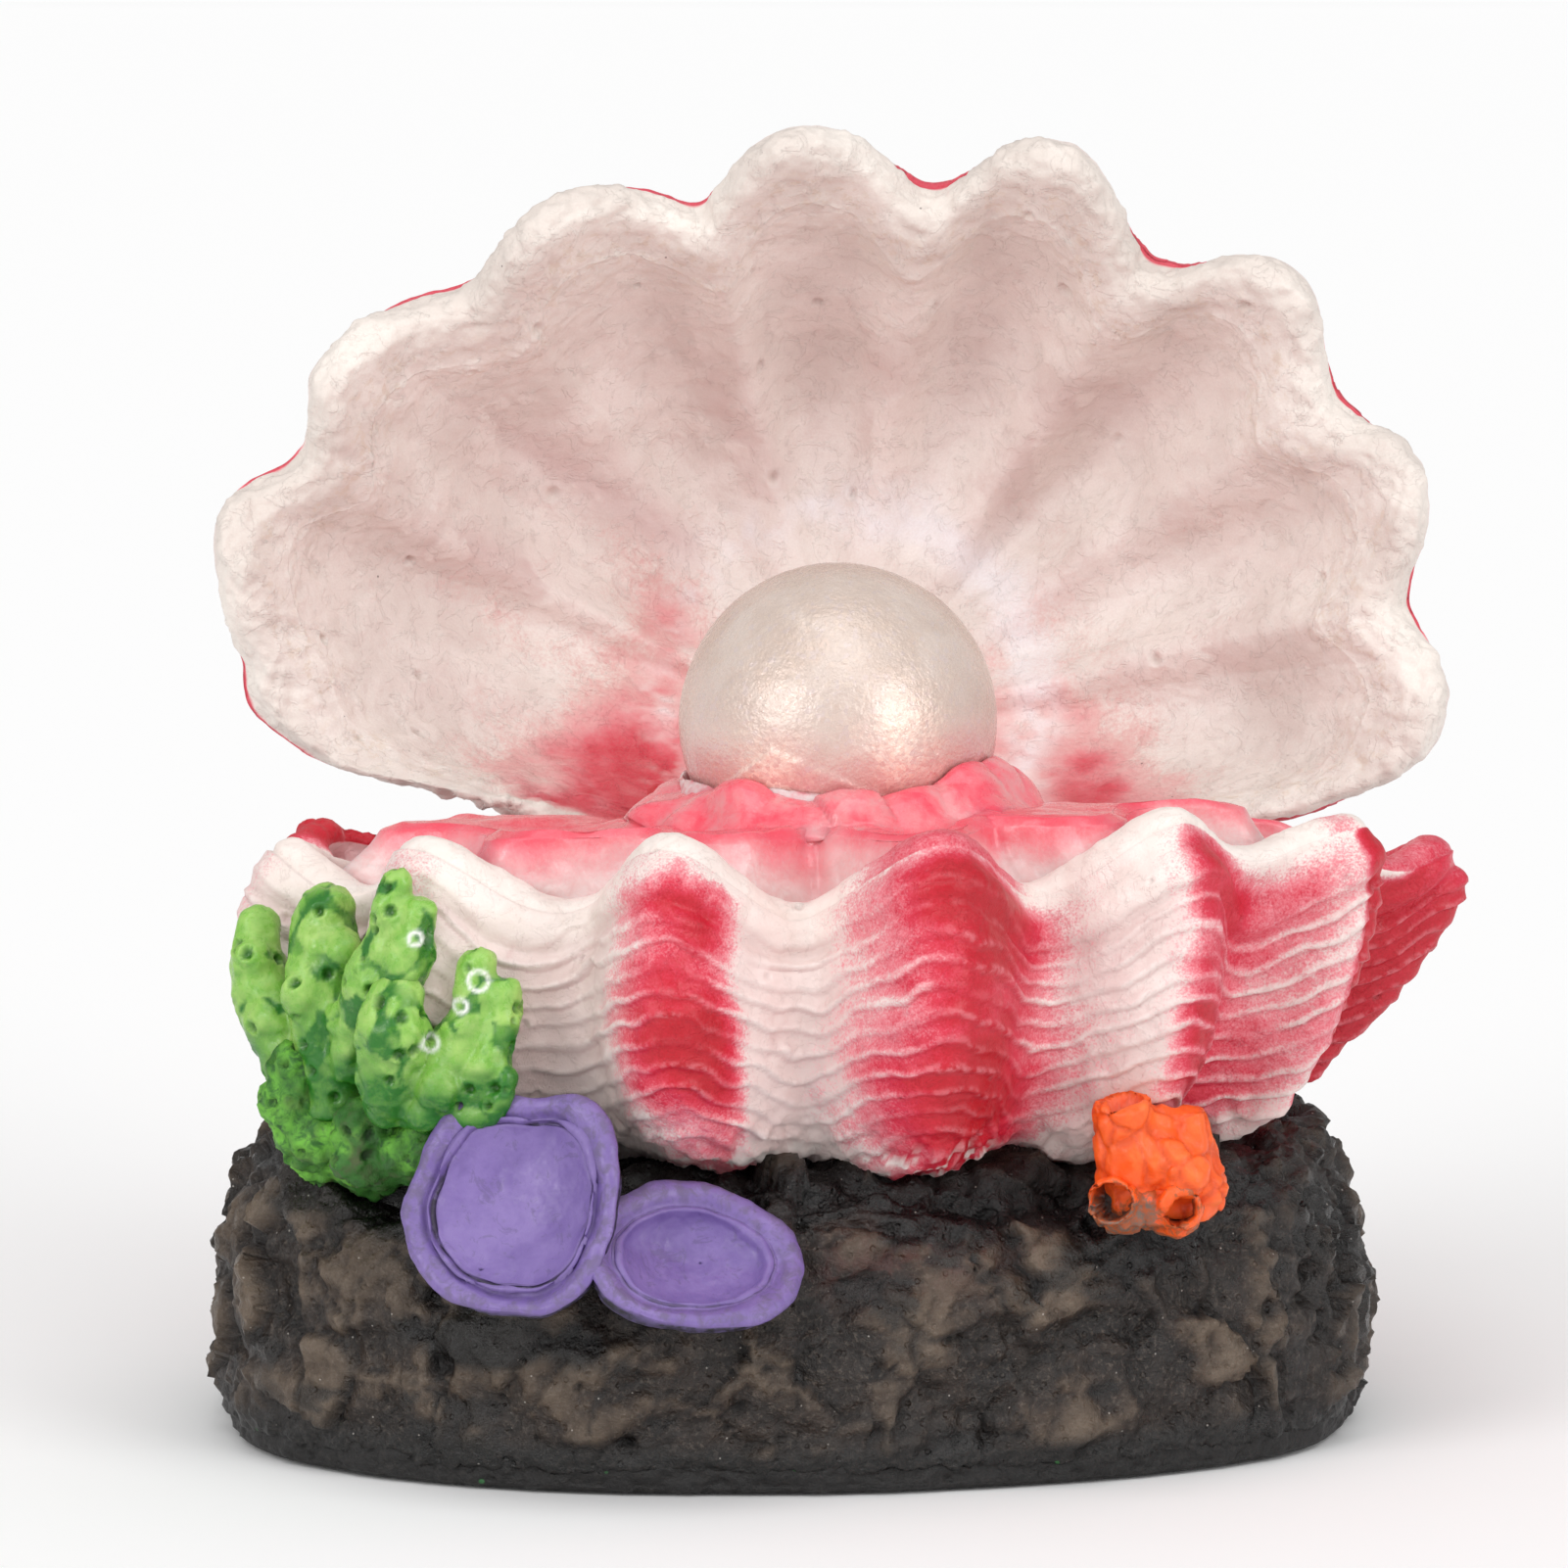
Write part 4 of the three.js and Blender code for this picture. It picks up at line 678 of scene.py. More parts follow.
def build_lower():
    rings, kind, kk = [], [], []
    for k in np.concatenate([np.linspace(7, 5, 18, endpoint=False), np.linspace(5, 0, 128)]):
        r, w = low_ring(LT, k)
        rings.append(around(LT, r, w, shut)); kind.append(0.0); kk.append(k)
    r0, _ = low_ring(LT, 0)
    rim = np.array([(0, -1.4), (0.1, -1.08), (0.32, -0.8), (0.68, -0.58), (1.1, -0.46), (1.5, -0.42), (1.9, -0.46), (2.28, -0.6), (2.58, -0.84), (2.8, -1.15), (2.9, -1.5)])
    for q in np.linspace(0.3, 10, 26):
        cut, w = np.interp(q, range(11), rim[:, 0]), np.interp(q, range(11), rim[:, 1])
        rings.append(around(LT, np.maximum(1, r0 - cut), zigzag(LT) + w, shut)); kind.append(0.5); kk.append(0)
    for k in np.linspace(0.12, 6.9, 64):
        r, w = low_ring(LT, k)
        lift = mix(0, 3.0, max(0, k - 3) / 4)
        rings.append(around(LT, np.maximum(0.8 + 0.25 * (7 - k), r - 2.86), w + lift, shut)); kind.append(1.0); kk.append(k)
    P = np.array(rings)
    kind = np.array(kind)[:, None] * np.ones(len(LT))
    k = np.array(kk)[:, None] * np.ones(len(LT))
    n_out = 146
    for _ in range(3):
        Q = P.copy()
        Q[1:-1] = 0.25 * P[:-2] + 0.5 * P[1:-1] + 0.25 * P[2:]
        P[n_out - 8:n_out + 34] = Q[n_out - 8:n_out + 34]
    N = grid_normals(P)
    centre = np.array([UMBO_X, 0.0, 30.0])
    if np.mean(np.einsum("jik,jik->ji", N[60:120], P[60:120] - centre)) < 0:
        N = -N
    wv = np.broadcast_to(wave(LT), kind.shape)
    deg = np.broadcast_to(low_angle(LT), kind.shape)
    outer = kind < 0.25
    rim_m = (kind > 0.25) & (kind < 0.75)
    out_f = outer.astype(float)
    # height below the margin, following its wave all the way down
    rim_z = (HINGE_Z + (HINGE_Y - P[..., 1]) * math.tan(LEAN))
    rib = -wv * np.where(deg > 140, 0.6, 1.0)
    depth = rim_z - P[..., 2] + INTERLOCK * rib * (1 - 0.42 * smooth(2, 14, rim_z - P[..., 2]))
    d = np.zeros(kind.shape)
    front = smooth(-22, 2, deg) * (1 - smooth(178, 200, deg))
    wob = 0.85 * fbm(P / np.array([6.0, 6.0, 9.0]), 3, 71) + 0.30 * fbm(P / np.array([2.4, 2.4, 2.4]), 2, 72)
    line = (depth - 3.0 + wob) / 1.52
    fr = line - np.floor(line)
    which = np.floor(line)
    # each step swells out and then drops back over a sharp lower edge
    step = np.where(fr < 0.70, np.power(np.clip(fr / 0.70, 0, 1), 1.8), 1 - smooth(0.70, 1.0, fr))
    vary = np.clip(0.72 + 0.75 * vnoise(np.stack([which * 3.1, P[..., 0] / 3.6, 0 * fr], -1), 73), 0.12, 1.4)
    terr = smooth(-0.6, 0.4, line) * front * smooth(7, 4.8, k) * out_f
    d += terr * (0.33 * step - 0.14) * vary
    # the rounded band along the margin
    d += out_f * front * 0.42 * np.exp(-((depth - 1.9) / 1.1) ** 2)
    d -= out_f * front * 0.30 * np.exp(-((depth - 3.55) / 0.5) ** 2)
    # fold at the right wing
    d -= out_f * 0.8 * np.exp(-((deg - 35.8) / 1.2) ** 2) * smooth(0.4, 1.6, k) * (1 - smooth(5, 6.5, k))
    d += out_f * 0.7 * np.exp(-((deg - 38.4) / 1.8) ** 2) * smooth(0.2, 1.2, k) * (1 - smooth(5, 6.5, k))
    # hand-worked unevenness
    d += 0.20 * fbm(P / 7.0, 3, 74) + 0.10 * fbm(P / 1.9, 3, 75) + 0.035 * fbm(P / 0.7, 2, 76)
    d += rim_m * 0.12 * fbm(P / 2.4, 3, 77)
    # ragged ends, left and right, and the ragged foot
    ends = np.maximum(smooth(168, 178, deg) * (1 - smooth(192, 204, deg)), smooth(-22, -12, deg) * (1 - smooth(2, 12, deg)))
    d += ends * 0.55 * fbm(P / 1.6, 4, 78) * smooth(4, 2, k)
    low = smooth(4.3, 5.1, k) * out_f
    d += low * 0.55 * fbm(P / 1.5, 4, 79)
    # pits and bubbles
    f1, f2, who = cells(P / 2.6, 81)
    rad = 0.06 + 0.10 * ((who * 7.3) % 1)
    pit = (who > 0.72) * np.clip(1 - (f1 / rad) ** 2, 0, 1) * (out_f + rim_m)
    ring = (who > 0.72) * np.exp(-((f1 - rad * 1.3) / 0.04) ** 2) * (out_f + rim_m)
    f1b, _, whob = cells(P / 1.15, 82)
    bead = (whob > 0.90) * np.clip(1 - (f1b / 0.19) ** 2, 0, 1) * out_f
    d += -0.30 * pit + 0.07 * ring + 0.13 * bead
    P = P + N * d[..., None]
    # the back is cut low, so that the upper valve can turn
    top = 31.75 + 20 * (1 - smooth(14.2, 15.6, P[..., 1] + 0.5 * fbm(P / 1.5, 3, 83)))
    # nothing narrower than the wall is left standing at the ends of the cut
    broad = top
    for sh in (1, 2, 4, 8, 16):
        broad = np.minimum(broad, np.minimum(np.roll(broad, sh, 1), np.roll(broad, -sh, 1)))
    for sh in (1, 2, 4, 8, 16):
        broad = np.maximum(broad, np.maximum(np.roll(broad, sh, 1), np.roll(broad, -sh, 1)))
    top = np.minimum(top, broad)
    P[..., 2] = np.minimum(P[..., 2], top + 0.10 * fbm(P / 1.2, 2, 84))
    # paint
    fuzz = 0.30 * fbm(P / np.array([3.2, 3.2, 5.0]), 4, 85) + 0.16 * fbm(P / 0.9, 3, 86)
    stripe = np.zeros(kind.shape)
    # centre, half widths left and right, softness of each edge, strength, top fade from, to (mm below the margin)
    table = [(103.6, 6.4, 3.6, 1.0, 0.3, 1.00, 0.9, 4.0), (77.6, 9.8, 9.8, 0.9, 0.9, 1.10, -0.9, 2.4), (53.2, 5.0, 14.5, 0.25, 0.9, 0.86, -2.2, 1.4), (132, 3.6, 3.6, 0.5, 0.5, 0.14, 2.0, 6.0)]
    crest = np.clip(terr * vary * smooth(0.45, 0.66, fr) * (1 - smooth(0.78, 0.92, fr)), 0, 1)
    for c, wl, wr, sl, sr, amount, t0, t1 in table:
        off = (deg - c)
        half = np.where(off > 0, wl, wr) * (1 + 0.16 * vnoise(np.stack([depth / 3.0, 0 * deg + c, 0 * deg], -1), 87))
        soft = np.where(off > 0, sl, sr)
        far = np.abs(off) / half
        across = smooth(1.30 + 0.62 * soft, 0.66 - 0.86 * soft, far + fuzz * 0.34)
        across = across * (1 - 0.5 * crest * smooth(0.1, 0.9, far + (0.45 if c == 53.2 else 0)))
        down = smooth(t0, t1, depth + 2.0 * fuzz)
        # lighter between the darkest places
        body = 0.86 + 0.14 * np.sin((depth - 4.0) * 0.55 + c) + 0.22 * fbm(P / np.array([5.0, 5.0, 1.6]), 3, 88)
        foot = 1 - 0.45 * smooth(13.0, 17.5, depth + 2 * fuzz) * (c != 77.6)
        stripe = np.maximum(stripe, amount * across * down * np.clip(body, 0.35, 1.15) * foot)
    blush = 0.16 * smooth(-0.2, -0.9, wv + fuzz)
    stripe = np.maximum(stripe, blush * out_f * front)
    left_end = smooth(162, 170, deg + 5 * fuzz) * (1 - smooth(196, 206, deg)) * smooth(-0.4, 0.8, depth + fuzz * 2)
    wing_red = smooth(38.2, 36.6, deg + 1.6 * fuzz) * smooth(-30, 12, deg) * smooth(-0.6, 0.6, depth) * (0.86 - 0.62 * smooth(22, 12, deg) * smooth(7, 1, depth + fuzz))
    back = smooth(198, 214, deg % 360) * (1 - smooth(322, 336, deg % 360)) * 0.85
    stripe = np.maximum(np.maximum(stripe, left_end), np.maximum(wing_red, back))
    rim_pink = rim_m * (0.50 * smooth(12, 5, np.abs(deg - 79.5) + 4 * fuzz) + 0.30 * smooth(3, 0, np.abs(deg - 38.0) + 2 * fuzz) + 0.5 * smooth(34, 31, deg) * smooth(2, 8, deg) * (1 + fuzz) + 0.85 * smooth(166, 172, deg + 4 * fuzz) * smooth(204, 196, deg))
    inner = (kind > 0.75).astype(float)
    chips = smooth(0.20, 0.28, fbm(P / 1.1, 4, 89)) * smooth(5.0, 5.6, k + 0.8 * fuzz) * out_f
    A = dict(red=np.clip(stripe * out_f + rim_pink, 0, 1), edge=np.clip(terr * vary * smooth(0.45, 0.66, fr) * (1 - smooth(0.78, 0.92, fr)), 0, 1),
             under=np.clip(terr * vary * smooth(0.80, 0.97, fr), 0, 1), rim=rim_m.astype(float) + 0 * k, inner=inner, chips=chips,
             pit=np.clip(pit, 0, 1), band=np.clip(out_f * smooth(3.4, 2.2, depth), 0, 1), depth=depth / 20)
    return P, A


def lower_material():
    m = Mat("lower_shell_paint")
    cloud = m.noise(7.0, 4, 0.55)
    mid = m.noise(1.9, 5, 0.6, 0.5)
    grain = m.noise(0.28, 2, 0.75)
    fine = m.noise(0.14, 1, 0.5)
    white = m.mix(m.range(cloud, 0.36, 0.66), "#dcc5c0", "#ead9d4")
    white = m.mix(m.math("MULTIPLY", m.range(mid, 0.5, 0.8), 0.6), white, "#d3b3b0")
    cream = m.mix(m.range(mid, 0.3, 0.7), "#f0e2da", "#f9efe8")
    top = m.math("MAXIMUM", m.math("MULTIPLY", m.attr("rim"), 0.85), m.math("MULTIPLY", m.attr("band"), 0.7))
    white = m.mix(top, white, cream)
    # sprayed red: solid in the middle, droplets outside
    spray = m.math("ADD", m.attr("red"), m.math("MULTIPLY", m.math("SUBTRACT", grain, 0.5), 0.34))
    spray = m.math("ADD", spray, m.math("MULTIPLY", m.math("SUBTRACT", fine, 0.5), 0.22))
    spray = m.math("ADD", spray, m.math("MULTIPLY", m.math("SUBTRACT", mid, 0.5), 0.22))
    reds = m.ramp(m.range(spray, 0.0, 1.0, kind="LINEAR"), [(0.0, "#e8d0cc"), (0.16, "#e8b9ba"), (0.38, "#e37d88"), (0.60, "#d2324a"), (0.80, "#c4142c"), (1.0, "#b4081e")])
    col = m.mix(m.range(spray, 0.05, 0.30), white, reds)
    # the dry brush has caught the edges of the steps
    brushed = m.math("MULTIPLY", m.attr("edge"), m.range(m.noise(0.8, 4, 0.65), 0.38, 0.62))
    bare = m.mix(m.range(spray, 0.15, 0.6), "#f3e6e1", "#e98f98")
    col = m.mix(m.math("MULTIPLY", brushed, 0.50), col, bare)
    shadow = m.mix(m.range(spray, 0.1, 0.5), "#c79d9c", "#b4303f")
    col = m.mix(m.math("MULTIPLY", m.attr("under"), 0.35), col, shadow)
    inside = m.mix(m.range(mid, 0.35, 0.65), "#e9c3c3", "#e6b0b2")
    col = m.mix(m.attr("inner"), col, inside)
    col = m.mix(m.math("MULTIPLY", m.attr("chips"), 0.9), col, "#f0e6e0")
    spots = m.vor(1.7, "F1")
    sep = m.node("ShaderNodeSeparateColor")
    pick = m.node("ShaderNodeTexVoronoi", feature="F1")
    pick.inputs["Scale"].default_value = 1000 / 1.7
    m.put(pick.inputs["Vector"], m.co)
    m.put(sep.inputs[0], pick.outputs["Color"])
    dark = m.math("MULTIPLY", m.range(spots, 0.03, 0.05, 1, 0), m.math("GREATER_THAN", sep.outputs[0], 0.9))
    col = m.mix(m.math("MULTIPLY", dark, 0.8), col, "#3d2c2b")
    col = m.mix(m.math("MULTIPLY", m.attr("pit"), 0.30), col, "#a9888a")
    h = m.math("ADD", m.math("MULTIPLY", m.noise(0.55, 4, 0.6), 0.6), m.math("MULTIPLY", fine, 0.3))
    h = m.math("ADD", h, m.math("MULTIPLY", m.range(m.noise(1.4, 5, 0.65, 0.6), 0.52, 0.56), 0.3))
    rough = m.mixf(m.range(mid, 0.3, 0.7), 0.50, 0.36)
    return m.done(col, rough, m.bump(h, 0.09, 0.8), Specular_IOR_Level=0.45)


lower_mat = lower_material()
LP, LA = build_lower()
grid_object("lower_shell", LP[0].mean(0), LP, LP[-1].mean(0), "base", lower_mat, attrs=LA, replaces=["lower_valve"], slot="lower_shell")


# ================================================================ round pieces of the hinge and the air line
def lathe(profile, origin, axis, segments=72, soften=0):
    """a closed ring profile of (radius, height) turned about an axis through origin"""
    ax = np.array(axis, float)
    side = np.array([0, 0, 1.0]) if abs(ax[2]) < 0.9 else np.array([1.0, 0, 0])
    side = side - ax * side.dot(ax)
    side /= np.linalg.norm(side)
    up = np.cross(ax, side)
    t = np.linspace(0, TAU, segments, endpoint=False)
    ring = np.outer(np.cos(t), side) + np.outer(np.sin(t), up)
    prof = np.array(profile, float)
    v = np.array(origin, float) + prof[:, None, 0, None] * ring[None] + prof[:, None, 1, None] * ax
    n, s = len(prof), segments
    faces = []
    for j in range(n):
        q = (j + 1) % n
        for i in range(s):
            k = (i + 1) % s
            faces.append((j * s + i, j * s + k, q * s + k, q * s + i))
    v = v.reshape(-1, 3)
    if signed_volume(v, faces) < 0:
        faces = [tuple(reversed(f)) for f in faces]
    return v, faces


def rounded(profile, r=0.15, steps=3):
    """the same closed profile with its corners rounded"""
    p = np.array(profile, float)
    out = []
    n = len(p)
    for i in range(n):
        a, b, c = p[i - 1], p[i], p[(i + 1) % n]
        la, lc = np.linalg.norm(a - b), np.linalg.norm(c - b)
        q = min(r, la * 0.45, lc * 0.45)
        s, e = b + (a - b) / la * q, b + (c - b) / lc * q
        for t in np.linspace(0, 1, steps + 1):
            out.append((1 - t) ** 2 * s + 2 * t * (1 - t) * b + t * t * e)
    return np.array(out)


def joined(parts):
    verts, faces, n = [], [], 0
    for v, f in parts:
        verts.append(np.asarray(v, float))
        faces += [tuple(int(i) + n for i in q) for q in f]
        n += len(v)
    return np.concatenate(verts), faces


def steel_material():
    m = Mat("stainless_steel")
    turn = m.noise(0.25, 3, 0.6, 0.0, m.mapped((6.0, 0.25, 0.25)))
    col = m.mix(m.noise(1.2, 4), "#a9adb1", "#c7cacd")
    stain = m.range(m.noise(2.6, 5, 0.6), 0.58, 0.75)
    col = m.mix(m.math("MULTIPLY", stain, 0.5), col, "#8d8375")
    return m.done(col, m.mixf(turn, 0.22, 0.40), m.bump(turn, 0.02, 0.5), Metallic=1.0)


def nylon_material():
    m = Mat("nylon_natural")
    col = m.mix(m.noise(1.6, 4), "#e9e6da", "#f4f1e8")
    col = m.mix(m.math("MULTIPLY", m.range(m.noise(0.6, 4), 0.6, 0.8), 0.4), col, "#cfc8b4")
    return m.done(col, m.mixf(m.noise(0.9, 3), 0.34, 0.5), m.bump(m.noise(0.22, 3), 0.02, 0.5), Subsurface_Weight=0.15, Subsurface_Radius=(0.002, 0.002, 0.002), Subsurface_Scale=0.5)


def black_plastic_material():
    m = Mat("black_plastic")
    n = m.noise(0.18, 3, 0.6)
    col = m.mix(m.noise(1.4, 4), "#131416", "#232427")
    worn = m.range(m.noise(0.9, 5, 0.65), 0.62, 0.74)
    col = m.mix(m.math("MULTIPLY", worn, 0.4), col, "#4a4b4d")
    return m.done(col, m.mixf(n, 0.32, 0.55), m.bump(n, 0.03, 0.6))


def tube_material():
    m = Mat("clear_tube")
    col = m.mix(m.noise(2.0, 3), "#dfe8e8", "#cfdedd")
    return m.done(col, m.mixf(m.noise(0.6, 3), 0.12, 0.3), m.bump(m.noise(0.5, 3), 0.02, 0.4), Transmission_Weight=0.5, IOR=1.42)


steel, nylon, black_plastic, clear_tube = steel_material(), nylon_material(), black_plastic_material(), tube_material()
HX = (0, HINGE_Y, HINGE_Z)


def turned_x(name, profile, x0, direction, body, material, node, slot):
    v, f = lathe(rounded(profile), (x0, HINGE_Y, HINGE_Z), (direction, 0, 0))
    return make_object(name, v, f, body, material, replaces=[node], slot=slot)


pv, pf = lathe(rounded([(0.02, 0), (1.5, 0), (1.5, 22), (0.02, 22)], 0.3), (-8.0, HINGE_Y, HINGE_Z), (1, 0, 0))
make_object("pin", pv, pf, "base", steel, replaces=["hinge_pin"], slot="steel")
BUSH = [(1.65, 0), (2.5, 0), (2.5, 4.5), (1.65, 4.5)]
turned_x("bush_left", BUSH, -3.0, 1, "lid", nylon, "hinge_bush_left", "nylon")
turned_x("bush_right", BUSH, 9.0, -1, "lid", nylon, "hinge_bush_right", "nylon")
CAP = [(0.02, 0), (2.2, 0), (2.6, 0.5), (2.6, 2.0), (1.55, 2.0), (1.55, 0.9), (0.02, 0.9)]
BARB = [(1.0, 0), (1.9, 0), (2.5, 2.4), (1.75, 2.6), (1.75, 3.2), (2.5, 5.4), (1.75, 5.6), (1.75, 6.6), (3.6, 6.6), (3.6, 9.0), (1.15, 9.0), (1.15, 13.2), (0.75, 13.2), (0.75, 9), (1.0, 8.4)]
bv, bf = lathe(rounded(BARB, 0.12), (3.0, 38.0, 9.0), (0, -1, 0))
make_object("inlet_barb", bv, bf, "base", black_plastic, replaces=["air_inlet_barb"], slot="black_plastic")
for node, mat in (("air_tube", clear_tube), ("air_nozzle", black_plastic)):
    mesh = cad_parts[node].data
    mesh.materials.clear()
    mesh.materials.append(mat)

# ears of the lower valve and the barrel of the upper one, rounded over and painted like their shells
def remeshed(parts, voxel):
    """one skin round several closed pieces, in mm: vertices and quads"""
    v, f = joined(parts)
    mesh = bpy.data.meshes.new("work")
    mesh.from_pydata([tuple(p) for p in v.tolist()], [], f)
    obj = bpy.data.objects.new("work", mesh)
    bpy.context.scene.collection.objects.link(obj)
    mod = obj.modifiers.new("remesh", "REMESH")
    mod.mode = "VOXEL"
    mod.voxel_size = voxel
    mod.adaptivity = 0.0
    dg = bpy.context.evaluated_depsgraph_get()
    out = bpy.data.meshes.new_from_object(obj.evaluated_get(dg))
    n = len(out.vertices)
    co = np.zeros(n * 3)
    out.vertices.foreach_get("co", co)
    co = co.reshape(-1, 3)
    faces = [tuple(p.vertices) for p in out.polygons]
    bpy.data.objects.remove(obj)
    bpy.data.meshes.remove(mesh)
    bpy.data.meshes.remove(out)
    return co, faces


def normals_of(v, faces):
    q = np.array([f if len(f) == 4 else (f[0], f[1], f[2], f[2]) for f in faces])
    n = np.cross(v[q[:, 2]] - v[q[:, 0]], v[q[:, 3]] - v[q[:, 1]])
    out = np.zeros_like(v)
    for c in range(4):
        np.add.at(out, q[:, c], n)
    return out / np.maximum(np.linalg.norm(out, axis=1, keepdims=True), 1e-12)


def relaxed(v, faces, rounds=2, share=0.5):
    """vertices drawn toward their neighbours' mean"""
    q = np.array([f if len(f) == 4 else (f[0], f[1], f[2], f[2]) for f in faces])
    for _ in range(rounds):
        acc = np.zeros_like(v)
        cnt = np.zeros(len(v))
        for a, b in ((0, 1), (1, 2), (2, 3), (3, 0)):
            np.add.at(acc, q[:, a], v[q[:, b]])
            np.add.at(acc, q[:, b], v[q[:, a]])
            np.add.at(cnt, q[:, a], 1)
            np.add.at(cnt, q[:, b], 1)
        v = mix(v, acc / np.maximum(cnt, 1)[:, None], share)
    return v


def block(x0, x1, y0, y1, z0, z1):
    v = [(x, y, z) for x in (x0, x1) for y in (y0, y1) for z in (z0, z1)]
    f = [(0, 1, 3, 2), (4, 6, 7, 5), (0, 4, 5, 1), (2, 3, 7, 6), (0, 2, 6, 4), (1, 5, 7, 3)]
    return np.array(v, float), f


def rod_x(x0, x1, r, y, z, inner=0.02, n=64):
    return lathe([(inner, 0), (r, 0), (r, x1 - x0), (inner, x1 - x0)], (x0, y, z), (1, 0, 0), n)


for name, x0, way, node in (("cap_left", -9.6, 1, "pin_cap_left"), ("cap_right", 15.6, -1, "pin_cap_right")):
    cv, cf = lathe(rounded(CAP), (x0, HINGE_Y, HINGE_Z), (way, 0, 0))
    make_object(name, cv, cf, "base", lower_mat, replaces=[node], slot="lower_shell", attrs=dict(red=0.7 + 0.2 * fbm(cv / 1.5, 2, 90)))
for side, x in (("left", -6.1), ("right", 9.5)):
    v, f = remeshed([rod_x(x, x + 2.6, 3.15, HINGE_Y, HINGE_Z), block(x, x + 2.6, HINGE_Y - 3.15, HINGE_Y + 2.1, 26.2, HINGE_Z)], 0.3)
    v = relaxed(v, f, 3)
    n = normals_of(v, f)
    v = v + n * (0.10 * fbm(v / 1.6, 3, 91))[:, None]
    red = np.clip(0.75 + 0.3 * fbm(v / 2.5, 3, 92), 0, 1)
    make_object("ear_" + side, v, f, "base", lower_mat, replaces=["lower_valve"], slot="lower_shell", attrs=dict(red=red))
v, f = remeshed([rod_x(-3.0, 9.0, 3.35, HINGE_Y, HINGE_Z)], 0.3)
v = relaxed(v, f, 2)
n = normals_of(v, f)
v = v + n * (0.06 * fbm(v / 1.6, 3, 93))[:, None]
make_object("lid_barrel", v, f, "lid", upper_mat, replaces=["upper_valve"], slot="upper_shell",
            attrs=dict(pink=np.clip(0.9 + 0.3 * fbm(v / 2.5, 3, 94), 0, 1)))


# ================================================================ rock foot
def shell_depth(v, grow=0.0):
    """each point's angle round the umbo, its distance from it and its height, in the lower valve's own frame"""
    y, z = v[:, 1] - HINGE_Y, v[:, 2] - HINGE_Z
    u = -y * math.cos(LEAN) + z * math.sin(LEAN)
    w = y * math.sin(LEAN) + z * math.cos(LEAN)
    deg = np.degrees(np.arctan2(u - UMBO_U, v[:, 0] - UMBO_X)) % 360
    r = np.hypot(v[:, 0] - UMBO_X, u - UMBO_U)
    return deg, r, w


SHELL_K = np.linspace(2.2, 7, 49)
SHELL_D = np.arange(0, 360, 1.0)
SHELL_R = np.array([low_ring(SHELL_D, k)[0] for k in SHELL_K])      # (k, deg)
SHELL_W = np.array([low_ring(SHELL_D, k)[1] for k in SHELL_K])


def under_shell(v, sink):
    """points of the rock pushed down so that they only just enter the lower valve's wall"""
    deg, r, w = shell_depth(v)
    i = np.round(deg).astype(int) % 360
    out = v.copy()
    for n in range(len(v)):
        if w[n] < -21.5 or r[n] > 46:
            continue
        rr, ww = SHELL_R[:, i[n]], SHELL_W[:, i[n]]
        if r[n] >= rr.max() - 0.2:
            continue
        bottom = np.interp(r[n], rr[::-1], ww[::-1]) if rr[0] > rr[-1] else ww[-1]
        if w[n] > bottom + sink:
            out[n, 2] -= (w[n] - bottom - sink)
    return out


def foot_rings(rows, n=180):
    t = np.linspace(0, 360, n, endpoint=False)
    rings = []
    for z, s in rows:
        r = foot_r(t) * s
        rings.append(np.stack([r * np.cos(np.radians(t)), 6 + r * np.sin(np.radians(t)), z + 0 * r], -1))
    P = np.array(rings)
    v = np.concatenate([[[0, 6, rows[0][0]]], P.reshape(-1, 3), [[0, 6, rows[-1][0]]]])
    f = ring_faces(len(rows), n)
    if signed_volume(v, f) < 0:
        f = [tuple(reversed(q)) for q in f]
    return v, f


def super_ring(cx, cy, rows, power=0.75, n=96):
    t = np.linspace(0, TAU, n, endpoint=False)
    rings = []
    for z, a, b in rows:
        c, s = np.cos(t), np.sin(t)
        rings.append(np.stack([cx + a * np.sign(c) * np.abs(c) ** power, cy + b * np.sign(s) * np.abs(s) ** power, z + 0 * t], -1))
    P = np.array(rings)
    v = np.concatenate([[[cx, cy, rows[0][0]]], P.reshape(-1, 3), [[cx, cy, rows[-1][0]]]])
    f = ring_faces(len(rows), n)
    if signed_volume(v, f) < 0:
        f = [tuple(reversed(q)) for q in f]
    return v, f


def knife(v, seed, size):
    """flat facets and the creases between them, as left by a modelling tool"""
    f1, f2, who = cells(v / size + 0.35 * np.stack([fbm(v / size, 2, seed + 1), fbm(v / size, 2, seed + 2), fbm(v / size, 2, seed + 3)], -1), seed)
    return f1, f2 - f1, who


rock_rows = [(1.1, 0.982), (2.2, 0.995), (5.5, 1.0), (9.5, 1.0), (13, 0.985), (16, 0.955), (18.2, 0.91), (19.4, 0.86), (20.1, 0.78), (20.5, 0.6), (20.5, 0.4)]
hump_rows = [(14, 15, 6.9), (20, 14.5, 6.6), (26, 13.2, 5.6), (29.2, 12.2, 4.6), (30.9, 11.2, 3.6), (31.5, 9.4, 2.2)]
rv, rf = remeshed([foot_rings(rock_rows), super_ring(UMBO_X, 26.9, hump_rows)], 0.40)
rv = relaxed(rv, rf, 4)
rn = normals_of(rv, rf)
stretch = np.array([1.0, 1.0, 1.25])
big = fbm(rv * stretch / 9.0, 3, 101)
warp = np.stack([fbm(rv / 5.0, 2, 114), fbm(rv / 5.0, 2, 115), fbm(rv / 5.0, 2, 116)], -1)
ha, ea, wa = facets(rv * stretch / 6.2 + 0.22 * warp, 102, 1.0)
hb, eb, wb = facets(rv * np.array([1.25, 1.25, 0.8]) / 2.6 + 0.35 * warp, 104, 1.0)
